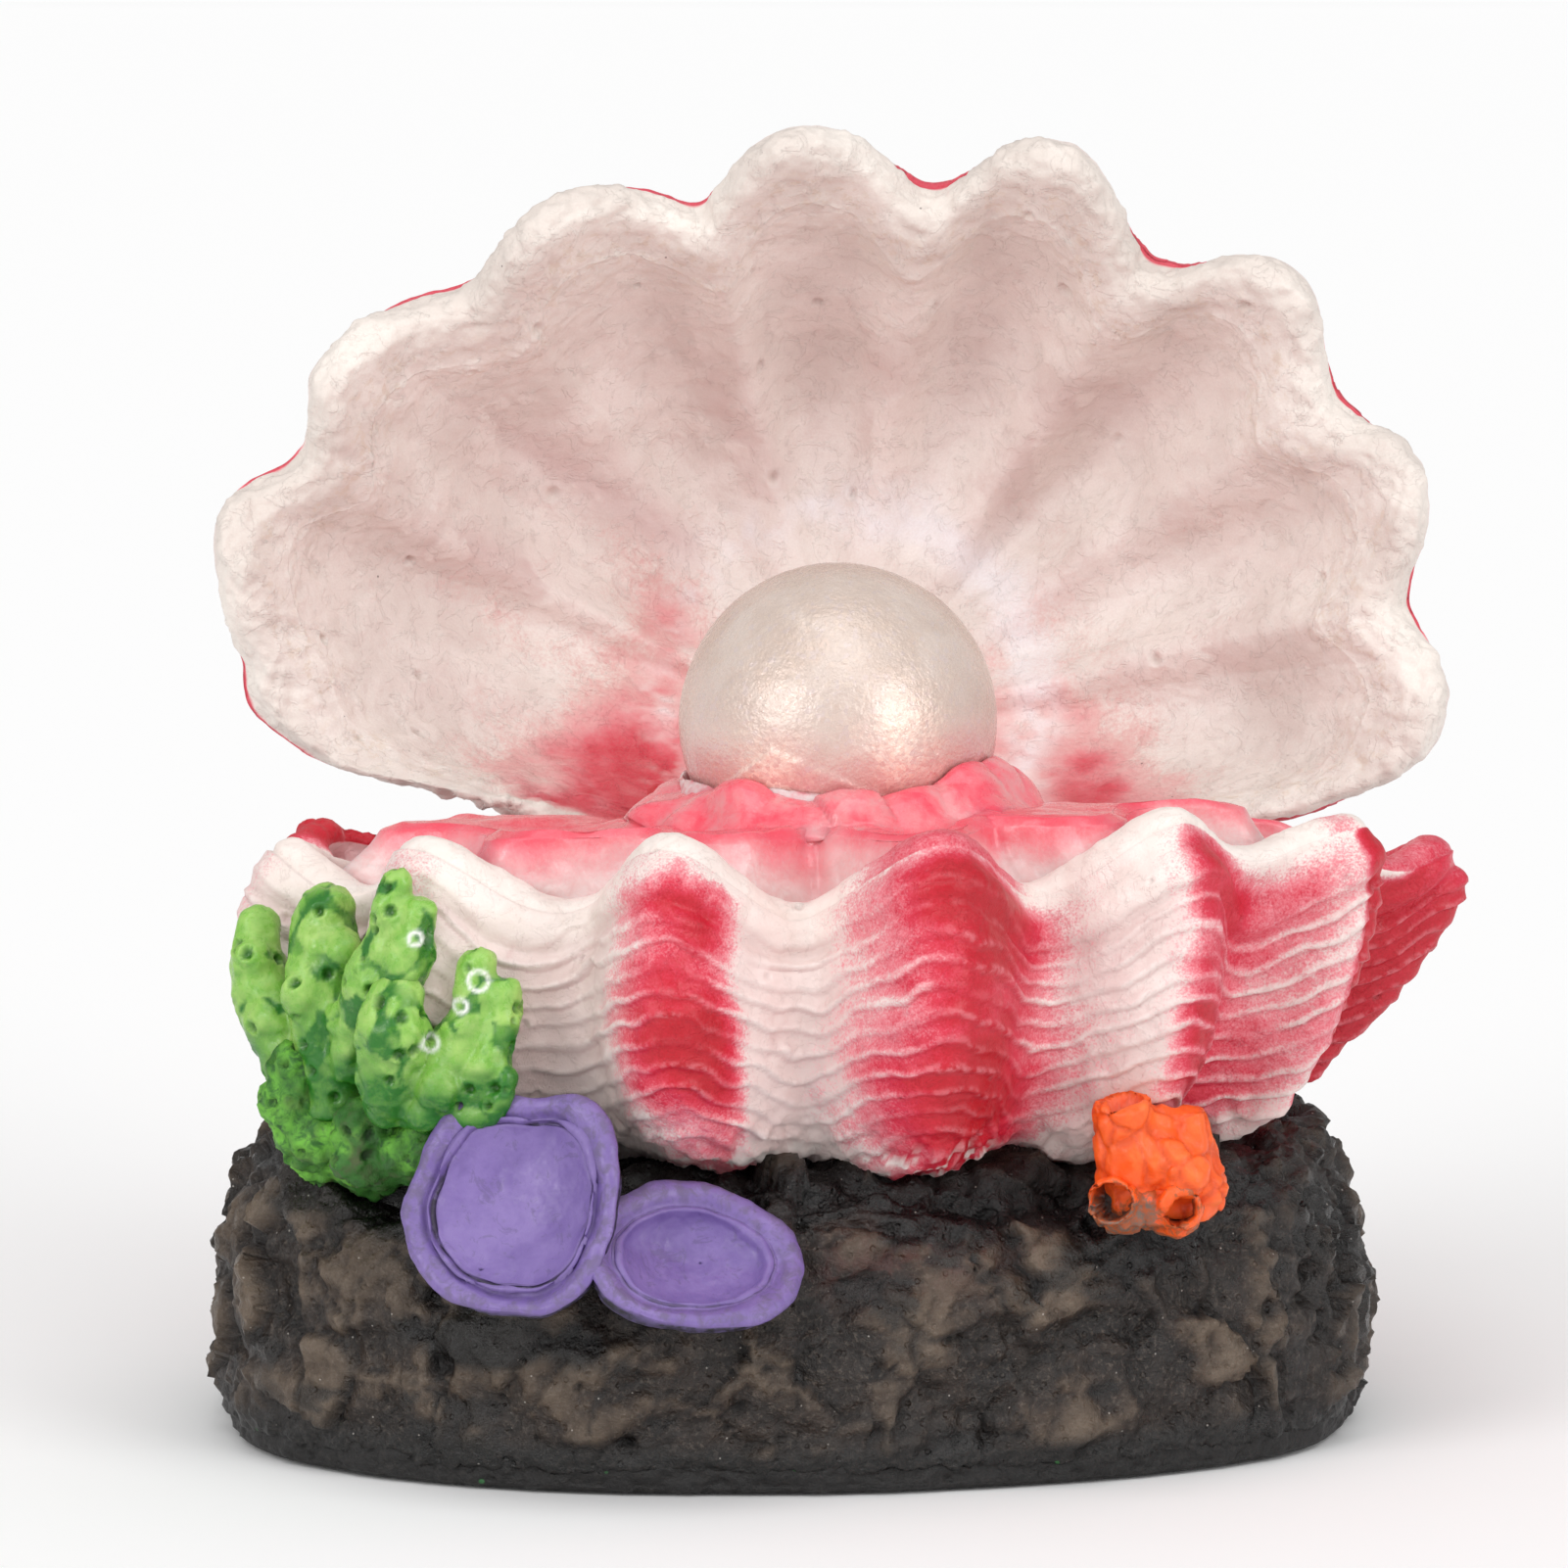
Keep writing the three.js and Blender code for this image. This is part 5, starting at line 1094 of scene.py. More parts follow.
mid_n = fbm(rv / 2.2, 4, 106)
fine_n = fbm(rv / 0.75, 3, 107)
creases = smooth(0.10, 0.0, ea) * smooth(0.1, 0.5, wa) * 0.6 + smooth(0.09, 0.0, eb) * smooth(0.3, 0.8, wb) * 0.35
gouge = fbm(rv * np.array([0.45, 0.45, 1.5]) / 1.5 + 1.2 * warp, 3, 117)
h = 0.50 * big + 1.15 * ha + 0.42 * hb - 0.38 * creases + 0.26 * mid_n + 0.40 * gouge + 0.10 * fine_n
f1p, _, wp = cells(rv / 2.3, 108)
pr = 0.10 + 0.14 * ((wp * 5.7) % 1)
pits = (wp > 0.60) * np.clip(1 - (f1p / pr) ** 2, 0, 1)
f1q, _, wq = cells(rv / 5.0, 109)
holes = (wq > 0.62) * smooth(0.20, 0.10, f1q + 0.08 * fbm(rv / 1.2, 2, 110))
h = h - 0.45 * pits - 1.0 * holes
# vertical crumbly grooves on the right flank
flank = smooth(26, 33, rv[:, 0]) * smooth(3, 6, rv[:, 2])
groove_v = fbm(rv * np.array([1.0, 1.0, 0.28]) / 1.6, 3, 111)
h = h + flank * 0.55 * groove_v
# deep hollows under the shell's front edge
brow = np.exp(-((rv[:, 2] - 18.2) / 1.5) ** 2) * smooth(-8, -16, rv[:, 1])
hollow = brow * smooth(0.05, 0.45, fbm(rv * np.array([1, 1, 1.4]) / 4.2, 3, 112) + 0.12)
h = h - 1.6 * hollow
band_zone = smooth(3.4, 2.0, rv[:, 2])
h = h * (1 - 0.72 * band_zone) - 0.25
h = h + 0.30 * band_zone * fbm(rv / 0.9, 3, 113)
calm = smooth(22.2, 24.0, rv[:, 1]) * smooth(24, 26, rv[:, 2])
h = np.where((rv[:, 2] > 24), np.minimum(h, 0.10), h)
h = np.clip(h, -2.6, 0.95)
rock_h = h.copy()
rv2 = rv + rn * h[:, None]
rv2 = under_shell(rv2, 0.9)
# room for the barrel, the ears and their caps
front_of_hump = (rv2[:, 2] > 24.2) & (rv2[:, 1] < 23.3)
rv2[front_of_hump, 1] = 23.3
# the inlet's pocket
px, pz = rv2[:, 0] - 3.0, rv2[:, 2] - 9.0
pr2 = np.hypot(px, pz)
inside = (rv2[:, 1] > 28.7) & (pr2 < 4.0)
rv2[inside, 1] = 28.7
rv2[:, 2] = np.maximum(rv2[:, 2], 0.9)
lobe = smooth(-0.5, 0.5, h)
rock_attrs = dict(high=np.clip(lobe, 0, 1), crease=np.clip(creases + holes + 0.8 * pits + hollow, 0, 1), hollow=np.clip(hollow, 0, 1), cell=wa, cell2=wb, flank=flank)


def near_px(v, x, z, sx, sz, y=None):
    return np.exp(-((v[:, 0] - x) / sx) ** 2 - ((v[:, 2] - z) / sz) ** 2)


front_face = smooth(-6, -10, rv2[:, 1])
gloss = np.maximum.reduce([
    near_px(rv2, 1.5, 18.4, 6.0, 1.9), near_px(rv2, 20.5, 15.2, 5.5, 2.6), near_px(rv2, -19.0, 9.6, 6.5, 2.2), near_px(rv2, 9.0, 17.0, 4.0, 1.6),
    near_px(rv2, -25.8, 18.5, 4.0, 3.4), near_px(rv2, 30, 18.0, 4.0, 2.0)]) * front_face
gloss = smooth(0.28, 0.62, gloss + 0.28 * fbm(rv2 / 3.2, 3, 121))
gloss = np.maximum(gloss, 0.8 * smooth(0.16, 0.40, fbm(rv2 * np.array([0.6, 0.6, 1.2]) / 3.0, 4, 123) + 0.3 * smooth(10, 18, rv2[:, 2]) - 0.12))
# darker just under the lower valve, which is painted shade; also darker towards the black foot band, on the right
# flank and in uneven blotches
dark_paint_and_shade = smooth(0.15, 0.75, 0.42 * fbm(rv2 / 5.5, 3, 122) + 0.55 * smooth(14.5, 19.5, rv2[:, 2]) + 0.55 * smooth(5.5, 2.2, rv2[:, 2]) + 0.35 * flank)
rock_attrs["gloss"] = gloss
rock_attrs["dark_paint_and_shade"] = dark_paint_and_shade
rock_attrs["maroon"] = np.clip(near_px(rv2, 8.5, 15.2, 4.5, 2.2) * front_face + 0.5 * near_px(rv2, 3.0, 14.0, 2.0, 1.5) * front_face, 0, 1)
rock_attrs["dusk"] = np.clip(smooth(3.5, 2.1, rv2[:, 2]), 0, 1)


def rock_material():
    m = Mat("rock_paint")
    big = m.noise(5.5, 5, 0.6, 0.3)
    mid = m.noise(1.6, 5, 0.65, 0.6)
    fine = m.noise(0.35, 4, 0.7)
    grit = m.noise(0.16, 2, 0.6)
    tone = m.math("ADD", m.math("MULTIPLY", m.attr("high"), 0.52), m.math("MULTIPLY", big, 0.52))
    tone = m.math("ADD", tone, m.math("MULTIPLY", m.math("SUBTRACT", mid, 0.5), 0.55))
    tone = m.math("ADD", tone, m.math("MULTIPLY", m.math("SUBTRACT", m.attr("cell2"), 0.5), 0.14))
    col = m.ramp(tone, [(0.18, "#140e0b"), (0.38, "#2a1f18"), (0.54, "#403328"), (0.70, "#534538"), (0.90, "#695a4b")])
    col = m.mix(m.math("MULTIPLY", m.range(fine, 0.5, 0.72), 0.28), col, "#8a7d71")
    # darker in the creases, holes and pits; the hollows under the shell's front edge, counted in here, are painted
    # shade
    col = m.mix(m.math("MULTIPLY", m.attr("crease"), 0.92), col, "#0d0908")
    # painted shade under the lower valve, with darker paint low down, on the right flank and in blotches
    col = m.mix(m.math("MULTIPLY", m.attr("dark_paint_and_shade"), m.range(mid, 0.36, 0.58, 0.45, 0.96)), col, "#171210")
    col = m.mix(m.math("MULTIPLY", m.attr("maroon"), m.range(mid, 0.4, 0.6, 0.1, 0.75)), col, "#4a201d")
    # glossy black paint streaks, and painted shade filling the hollows under the shell's front edge
    black = m.math("MAXIMUM", m.attr("gloss"), m.attr("hollow"))
    col = m.mix(m.math("MULTIPLY", black, 0.95), col, "#080606")
    # crumbly black band along the foot, with flecks of green
    band = m.math("MULTIPLY", m.attr("dusk"), m.range(fine, 0.3, 0.5, 0.8, 1.0))
    col = m.mix(band, col, m.mix(m.range(fine, 0.45, 0.65), "#080706", "#27221f"))
    fleck = m.vor(1.1, "F1")
    sep = m.node("ShaderNodeSeparateColor")
    pick = m.node("ShaderNodeTexVoronoi", feature="F1")
    pick.inputs["Scale"].default_value = 1000 / 1.1
    m.put(pick.inputs["Vector"], m.co)
    m.put(sep.inputs[0], pick.outputs["Color"])
    green = m.math("MULTIPLY", m.range(fleck, 0.10, 0.16, 1, 0), m.math("GREATER_THAN", sep.outputs[0], 0.96))
    col = m.mix(m.math("MULTIPLY", m.math("MULTIPLY", green, m.attr("dusk")), 0.8), col, "#2f6a34")
    sparkle = m.vor(0.42, "F1")
    sep2 = m.node("ShaderNodeSeparateColor")
    pick2 = m.node("ShaderNodeTexVoronoi", feature="F1")
    pick2.inputs["Scale"].default_value = 1000 / 0.42
    m.put(pick2.inputs["Vector"], m.co)
    m.put(sep2.inputs[0], pick2.outputs["Color"])
    glint = m.math("MULTIPLY", m.range(sparkle, 0.10, 0.2, 1, 0), m.math("GREATER_THAN", sep2.outputs[0], 0.965))
    col = m.mix(m.math("MULTIPLY", glint, 0.55), col, "#c9c2ba")
    h = m.math("ADD", m.math("MULTIPLY", m.noise(0.9, 5, 0.65, 0.5), 1.0), m.math("MULTIPLY", fine, 0.45))
    h = m.math("ADD", h, m.math("MULTIPLY", grit, 0.16))
    pit = m.vor(0.9, "F1")
    h = m.math("SUBTRACT", h, m.math("MULTIPLY", m.range(pit, 0.10, 0.26, 1, 0), 0.35))
    rough = m.mixf(m.range(mid, 0.35, 0.65), 0.50, 0.30)
    rough = m.mixf(m.attr("gloss"), rough, m.mixf(m.range(fine, 0.4, 0.6), 0.14, 0.34))
    return m.done(col, rough, m.bump(h, 0.30, 0.9), Specular_IOR_Level=0.5)


rock_mat = rock_material()
make_object("rock_foot", rv2, rf, "base", rock_mat, replaces=["rock_base"], slot="rock", attrs=rock_attrs)

# black foot plate with a crumbly edge
t = np.linspace(0, 360, 840, endpoint=False)
rows = [(0.0, 9.0), (0.0, 1.2), (0.06, 0.55), (0.3, 0.25), (0.7, 0.12), (1.1, 0.05), (1.5, 0.0), (1.9, 0.0), (2.2, 0.1), (2.3, 0.5), (2.3, 3.0), (2.3, 9.0)]
zz = np.interp(np.linspace(0, 11, 34), range(12), [q[0] for q in rows])
cc = np.interp(np.linspace(0, 11, 34), range(12), [q[1] for q in rows])
PP = []
for z, c in zip(zz, cc):
    r = foot_r(t) - c - 0.75
    PP.append(np.stack([r * np.cos(np.radians(t)), 6 + r * np.sin(np.radians(t)), z + 0 * r], -1))
PP = np.array(PP)
NN = grid_normals(PP)
if np.mean(np.einsum("jik,jik->ji", NN[14:20, :, :2], PP[14:20, :, :2] - np.array([0, 6]))) < 0:
    NN = -NN
crumb = 0.34 * fbm(PP / 1.7, 4, 131) + 0.14 * fbm(PP / 0.6, 2, 132) - 0.18
side_w = np.clip(NN[..., 0] ** 2 + NN[..., 1] ** 2, 0, 1)
PP = PP + NN * (crumb * side_w)[..., None]
PP[..., 2] = np.clip(PP[..., 2], 0, 2.34)
plate_mat = Mat("foot_black_paint")
pn = plate_mat.noise(0.5, 5, 0.7)
pc = plate_mat.ramp(pn, [(0.3, "#060505"), (0.55, "#141110"), (0.75, "#2c2724")])
fleck = plate_mat.vor(1.3, "F1")
sepf = plate_mat.node("ShaderNodeSeparateColor")
pickf = plate_mat.node("ShaderNodeTexVoronoi", feature="F1")
pickf.inputs["Scale"].default_value = 1000 / 1.3
plate_mat.put(pickf.inputs["Vector"], plate_mat.co)
plate_mat.put(sepf.inputs[0], pickf.outputs["Color"])
gr = plate_mat.math("MULTIPLY", plate_mat.range(fleck, 0.12, 0.2, 1, 0), plate_mat.math("GREATER_THAN", sepf.outputs[0], 0.90))
pc = plate_mat.mix(plate_mat.math("MULTIPLY", gr, 0.8), pc, "#2d6b37")
plate_mat.done(pc, plate_mat.mixf(pn, 0.35, 0.6), plate_mat.bump(plate_mat.math("ADD", pn, plate_mat.math("MULTIPLY", plate_mat.noise(0.2, 2), 0.3)), 0.22, 0.9))
grid_object("foot_plate", [0, 6, 0], PP, [0, 6, 2.3], "base", plate_mat.m, replaces=["base_plate"], slot="foot_black")


# ================================================================ mantle, pearl and the clear adhesive
PC = np.array(PEARL)


def fold(d):
    return 0.5 + 0.5 * np.sin(np.radians(d * 5 + 40)) * np.cos(np.radians(d * 2))


def build_mantle():
    n = 720
    td = np.linspace(-14, 346, n, endpoint=False)
    r2, _ = low_ring(td, 2.0)
    wall = around(td, np.maximum(1, r2 - 2.8 - 0.35), 0 * td, shut)
    dx, dy = wall[:, 0] - PC[0], wall[:, 1] - PC[1]
    ln = np.hypot(dx, dy)
    frontness = smooth(-30, 20, low_angle(td)) * (1 - smooth(160, 210, low_angle(td)))
    rows = [  # ("s" share of the way, "r" distance), value, height
        ("s", 0.30, 30.4, True), ("s", 0.86, 29.9, True), ("s", 0.955, 30.3, True),
        ("s", 0.975, lambda d: -5.0 + 0 * d, False), ("s", 0.965, lambda d: -3.6 + 0.3 * fold(d), False), ("s", 0.92, lambda d: -2.7 + 0.4 * fold(d), False),
        ("s", 0.87, lambda d: -1.2 + 0.4 * fold(d), False), ("s", 0.82, lambda d: 0.95 + 0.4 * fold(d + 20), False),
        ("s", 0.78, lambda d: 1.45 + 0.4 * fold(d + 20), False), ("s", 0.72, lambda d: 1.15 + 0.5 * fold(d + 60), False),
        ("r", 13.4, lambda d: 0.9 + 0.6 * fold(d + 10), False), ("r", 12.3, lambda d: 1.8 + 1.1 * fold(d), False),
        ("r", 11.3, lambda d: 2.5 + 1.5 * fold(d), False), ("r", 10.3, lambda d: 3.0 + 1.5 * fold(d), False), ("r", 8.4, lambda d: 2.9 + 1.0 * fold(d), False)]
    P = []
    for kind, value, h, flat in rows:
        if kind == "s":
            x, y = mix(PC[0], wall[:, 0], value), mix(PC[1], wall[:, 1], value)
        else:
            x, y = PC[0] + value * dx / ln, PC[1] + value * dy / ln
        z = h + 0 * x if flat else mix(31.2, HINGE_Z + (HINGE_Y - y) * math.tan(LEAN) + h(td) + 0.7 * rise(td), frontness)
        P.append(np.stack([x, y, z], -1))
    P = np.array(P)
    tt = np.concatenate([np.linspace(0, 2, 10, endpoint=False), np.linspace(2, len(P) - 1, 130)])
    i = np.minimum(tt.astype(int), len(P) - 2)
    f = (tt - i)[:, None, None]
    f = f * f * (3 - 2 * f) * 0.5 + f * 0.5
    Q = P[i] * (1 - f) + P[i + 1] * f
    N = grid_normals(Q)
    if N[100:, :, 2].mean() < 0:
        N = -N
    rp = np.hypot(Q[..., 0] - PC[0], Q[..., 1] - PC[1])
    up = smooth(31.0, 34.0, Q[..., 2]) * np.broadcast_to(frontness, rp.shape)
    d = up * (0.42 * fbm(Q / 5.0, 2, 141) + 0.07 * fbm(Q / 1.6, 3, 142))
    # glossy lumps of paint and resin heaped in front of the pearl
    f1, f2, who = cells(Q / np.array([5.2, 4.6, 5.0]), 143)
    heap = smooth(15.5, 12.5, rp) * smooth(9.5, 10.5, rp) * np.broadcast_to(frontness, rp.shape)
    d += heap * (1.1 * smooth(0.75, 0.1, f1) * (0.3 + who) - 0.2)
    d = d * smooth(0, 4, np.abs(np.arange(len(Q)))[:, None])
    Q = Q + N * d[..., None]
    # clear of the pearl, of the barrel and of the open valve
    gap = np.linalg.norm(Q - PC, axis=-1)
    push = np.maximum(0, PEARL_R + 0.12 - gap)
    Q = Q + (Q - PC) / np.maximum(gap, 1e-6)[..., None] * push[..., None]
    back = Q[..., 1] > HINGE_Y - 4.4
    Q[..., 2] = np.where(back, np.minimum(Q[..., 2], 31.9), Q[..., 2])
    hy, hz = Q[..., 1] - HINGE_Y, Q[..., 2] - HINGE_Z
    hr = np.hypot(hy, hz)
    near = hr < 4.4
    Q[..., 1] = np.where(near, HINGE_Y + hy / np.maximum(hr, 1e-6) * 4.4, Q[..., 1])
    Q[..., 2] = np.where(near, HINGE_Z + hz / np.maximum(hr, 1e-6) * 4.4, Q[..., 2])
    h = Q[..., 2] - (HINGE_Z + (HINGE_Y - Q[..., 1]) * math.tan(LEAN))
    sh = np.hypot(Q[..., 0] - PC[0], Q[..., 1] - PC[1]) / ln[None]
    wallward = smooth(0.76, 0.93, sh + 0.025 * fbm(Q / 4.0, 3, 144))
    return Q, dict(wall=wallward, ridge=smooth(0.4, 1.4, h) * (1 - wallward), heap=np.clip(heap, 0, 1), lump=np.clip(who * heap, 0, 1), lowz=smooth(33, 30, Q[..., 2]))


def mantle_material():
    m = Mat("mantle_gloss_red")
    big = m.noise(3.2, 4, 0.6, 0.4)
    mid = m.noise(1.1, 5, 0.6, 0.5)
    fine = m.noise(0.25, 3, 0.7)
    red = m.ramp(big, [(0.25, "#e45468"), (0.5, "#ef7684"), (0.75, "#f6929c")])
    red = m.mix(m.math("MULTIPLY", m.attr("ridge"), m.range(mid, 0.2, 0.7, 0.5, 1.0)), red, "#e8485c")
    pale = m.mix(m.range(mid, 0.35, 0.65), "#e8d0ce", "#e2bdbb")
    w = m.math("ADD", m.attr("wall"), m.math("MULTIPLY", m.math("SUBTRACT", fine, 0.5), 0.35))
    col = m.mix(m.range(w, 0.12, 0.92), red, pale)
    clump = m.ramp(m.math("ADD", m.math("MULTIPLY", big, 1.3), m.math("MULTIPLY", m.math("SUBTRACT", mid, 0.5), 0.5)), [(0.42, "#f0485f"), (0.62, "#f07682"), (0.88, "#e3a4a6")])
    col = m.mix(m.math("MULTIPLY", m.attr("heap"), 0.75), col, clump)
    h = m.math("ADD", m.math("MULTIPLY", mid, 0.6), m.math("MULTIPLY", fine, 0.25))
    rough = m.mixf(m.attr("wall"), m.mixf(m.range(mid, 0.4, 0.6), 0.16, 0.36), 0.5)
    return m.done(col, rough, m.bump(h, 0.10, 0.8), Subsurface_Weight=0.25, Subsurface_Radius=(0.003, 0.001, 0.001), Subsurface_Scale=0.6, Coat_Weight=0.35, Coat_Roughness=0.08)


MP, MA = build_mantle()
mantle_mat = mantle_material()
grid_object("mantle_body", [PC[0], PC[1], 30.3], MP, [PC[0], PC[1], PC[2] - PEARL_R - 0.15], "base", mantle_mat, attrs=MA, replaces=["mantle"], slot="mantle")


def pearl_material():
    m = Mat("pearl_lacquer")
    cloud = m.noise(5.0, 4, 0.55, 0.4)
    mid = m.noise(1.5, 4, 0.6)
    fine = m.noise(0.30, 3, 0.75)
    fleck = m.vor(0.30, "F1")
    col = m.mix(m.range(cloud, 0.35, 0.66), "#cebaae", "#d9c8be")
    col = m.mix(m.math("MULTIPLY", m.range(mid, 0.5, 0.75), 0.25), col, "#d5cac4")
    # painted shade: the colour turns darker and tan towards the pearl's outline as seen
    outline_shade = m.node("ShaderNodeLayerWeight")
    outline_shade.inputs["Blend"].default_value = 0.35
    col = m.mix(m.math("MULTIPLY", m.range(outline_shade.outputs["Facing"], 0.35, 0.95), 0.50), col, "#ccb39f")
    pinkish = m.math("MULTIPLY", m.attr("under"), m.range(mid, 0.3, 0.7, 0.75, 1.0))
    col = m.mix(pinkish, col, "#dc7f84")
    sep = m.node("ShaderNodeSeparateColor")
    pick = m.node("ShaderNodeTexVoronoi", feature="F1")
    pick.inputs["Scale"].default_value = 1000 / 0.30
    m.put(pick.inputs["Vector"], m.co)
    m.put(sep.inputs[0], pick.outputs["Color"])
    mica = m.math("GREATER_THAN", sep.outputs[0], 0.72)
    hue = m.mix(sep.outputs[1], "#f9cdb8", "#f6e2c4")
    hue = m.mix(m.math("GREATER_THAN", sep.outputs[2], 0.7), hue, "#d9cfe6")
    col = m.mix(m.math("MULTIPLY", mica, 0.10), col, hue)
    # painted highlight: two broad lighter patches low on the front, where the lamps' reflections sit, flecked like the
    # mica
    flat = m.math("MULTIPLY", m.attr("painted_highlight"), m.math("ADD", 0.34, m.math("MULTIPLY", sep.outputs[1], 0.66)))
    col = m.mix(flat, col, m.mix(sep.outputs[2], "#ffeddd", "#ffdcc8"))
    h = m.math("ADD", m.math("MULTIPLY", fine, 0.75), m.math("MULTIPLY", m.noise(0.6, 2, 0.5), 0.9))
    h = m.math("ADD", h, m.math("MULTIPLY", m.noise(2.2, 4, 0.55), 0.9))
    metal = m.mixf(mica, 0.16, 0.20)
    rough = m.mixf(sep.outputs[1], 0.17, 0.36)
    return m.done(col, rough, m.bump(h, 0.07, 1.0), Metallic=metal, Coat_Weight=0.30, Coat_Roughness=0.12, Sheen_Weight=0.15, Sheen_Roughness=0.4)


pt = np.linspace(0, TAU, 360, endpoint=False)
pp = np.linspace(math.pi, 0, 182)[1:-1]
PR = np.stack([np.outer(np.sin(pp), np.cos(pt)), np.outer(np.sin(pp), np.sin(pt)), np.outer(np.cos(pp), np.ones_like(pt))], -1)
pearl_r = PEARL_R - 0.08 + 0.05 * fbm(PR * 2.2, 3, 151) + 0.012 * fbm(PR * 14, 3, 152)
# the faint parting line left by its mould
pearl_r = pearl_r - 0.03 * np.exp(-((PR[..., 0] * 0.96 + PR[..., 2] * 0.28) / 0.012) ** 2)
under = 1.0 * smooth(0.22, -0.52, PR[..., 2] + 0.10 * PR[..., 0] * -1 + 0.12 * fbm(PR * 3, 3, 153))
# painted highlight: two broad lighter patches low on the front of the pearl
painted_highlight = np.exp(-((PR[..., 0] + 0.44) / 0.24) ** 2 - ((PR[..., 2] + 0.24) / 0.26) ** 2) + np.exp(-((PR[..., 0] - 0.38) / 0.24) ** 2 - ((PR[..., 2] + 0.02) / 0.32) ** 2)
painted_highlight = np.clip(0.85 * painted_highlight * (1 + 0.5 * fbm(PR * 6, 3, 155)), 0, 1) * (PR[..., 1] < 0)
# a pointed shard of clear pink resin leaning on its front
film_top = np.where(PR[..., 0] < -0.42, -0.05 - 0.9 * (-0.42 - PR[..., 0]), -0.05 - 0.42 * (PR[..., 0] + 0.42)) + 0.015 * fbm(PR * 9, 2, 154)
film = smooth(0.012, -0.012, PR[..., 2] - film_top) * smooth(0.0, -0.25, PR[..., 1]) * smooth(0.62, 0.45, PR[..., 0])
under = np.maximum(under, film * (0.55 + 0.4 * smooth(-0.1, -0.45, PR[..., 2])))
pearl_r = pearl_r + 0.14 * film
grid_object("pearl_ball", [PC[0], PC[1], PC[2] - PEARL_R + 0.08], PC + PR * pearl_r[..., None], [PC[0], PC[1], PC[2] + PEARL_R - 0.08], "base", pearl_material(),
            attrs=dict(painted_highlight=painted_highlight, under=under), replaces=["pearl"], slot="pearl")


def glue_material(name, tint, weight):
    m = Mat(name)
    n = m.noise(1.2, 4, 0.6)
    col = m.mix(m.range(n, 0.35, 0.65), tint, "#f3dcdc")
    return m.done(col, m.mixf(n, 0.08, 0.24), m.bump(m.noise(0.7, 3), 0.05, 0.7), Transmission_Weight=weight, IOR=1.45,
                  Subsurface_Weight=0.2, Subsurface_Radius=(0.003, 0.002, 0.002), Subsurface_Scale=0.5)


glue_mat = glue_material("clear_adhesive", "#ec8d96", 0.18)
gt = np.linspace(0, TAU, 300, endpoint=False)
g0 = PEARL[2] - 6.3
profile = [(8.3, -0.2), (9.1, -0.35), (10.0, -0.1), (10.5, 0.6), (10.6, 1.4), (10.4, 2.2), (10.1, 2.75), (9.9, 3.0), (9.6, 2.4), (9.2, 1.4)]
pa = np.array(profile)
G = []
for q in np.linspace(0, 9, 46):
    r, h = np.interp(q, range(10), pa[:, 0]), np.interp(q, range(10), pa[:, 1])
    lump = 0.5 * np.sin(3 * gt + 1) + 0.35 * np.sin(7 * gt + 2.2)
    G.append(np.stack([PC[0] + r * np.cos(gt), PC[1] + r * np.sin(gt), g0 + h + 0.35 * lump * (q / 9)], -1))
G = np.array(G)
GN = grid_normals(G)
if np.mean(np.einsum("jik,jik->ji", GN[10:20, :, :2], G[10:20, :, :2] - PC[:2])) < 0:
    GN = -GN
G = G + GN * (0.22 * fbm(G / 1.8, 3, 161))[..., None]
dd = np.linalg.norm(G - PC, axis=-1)
G = G + (G - PC) / dd[..., None] * np.maximum(0, PEARL_R + 0.01 - dd)[..., None]
nj, ni, _ = G.shape
gf = []
ii = np.arange(ni)
kk2 = (ii + 1) % ni
for j in range(nj):
    q = (j + 1) % nj
    gf += list(zip((j * ni + ii).tolist(), (j * ni + kk2).tolist(), (q * ni + kk2).tolist(), (q * ni + ii).tolist()))
gv = G.reshape(-1, 3)
if signed_volume(gv, gf) < 0:
    gf = [tuple(reversed(f)) for f in gf]
make_object("adhesive_collar", gv, gf, "base", glue_mat, replaces=["pearl_adhesive"], slot="adhesive")


# ================================================================ corals
def limb(points, radii, n=28, per=6):
    """round rings along a smooth bent line, closed at both ends"""
    p = np.array(points, float)
    r = np.array(radii, float)
    m = len(p)
    ext = np.concatenate([[2 * p[0] - p[1]], p, [2 * p[-1] - p[-2]]])
    rext = np.concatenate([[r[0]], r, [r[-1]]])
    pts, rr = [], []
    for i in range(m - 1):
        a, b, c, d = ext[i:i + 4]
        for f in np.linspace(0, 1, per, endpoint=False):
            pts.append(0.5 * (2 * b + (c - a) * f + (2 * a - 5 * b + 4 * c - d) * f * f + (3 * b - a - 3 * c + d) * f ** 3))
            rr.append(mix(rext[i + 1], rext[i + 2], f * f * (3 - 2 * f)))
    pts.append(p[-1])
    rr.append(r[-1])
    end = p[-1] - p[-2]
    end /= np.linalg.norm(end)
    for q in (0.35, 0.6, 0.78, 0.9):
        pts.append(p[-1] + end * r[-1] * q)
        rr.append(r[-1] * math.sqrt(1 - q * q))
    pts, rr = np.array(pts), np.array(rr)
    side = np.array([1.0, 0, 0])
    rings = []
    for k in range(len(pts)):
        t = pts[min(k + 1, len(pts) - 1)] - pts[max(k - 1, 0)]
        t /= np.linalg.norm(t)
        side = side - t * side.dot(t)
        side /= np.linalg.norm(side)
        up = np.cross(t, side)
        a = np.linspace(0, TAU, n, endpoint=False)
        rings.append(pts[k] + rr[k] * (np.outer(np.cos(a), side) + np.outer(np.sin(a), up)))
    P = np.array(rings)
    v = np.concatenate([[pts[0]], P.reshape(-1, 3), [pts[-1] + end * r[-1] * 0.08]])
    f = ring_faces(len(rings), n)
    if signed_volume(v, f) < 0:
        f = [tuple(reversed(q)) for q in f]
    return v, f


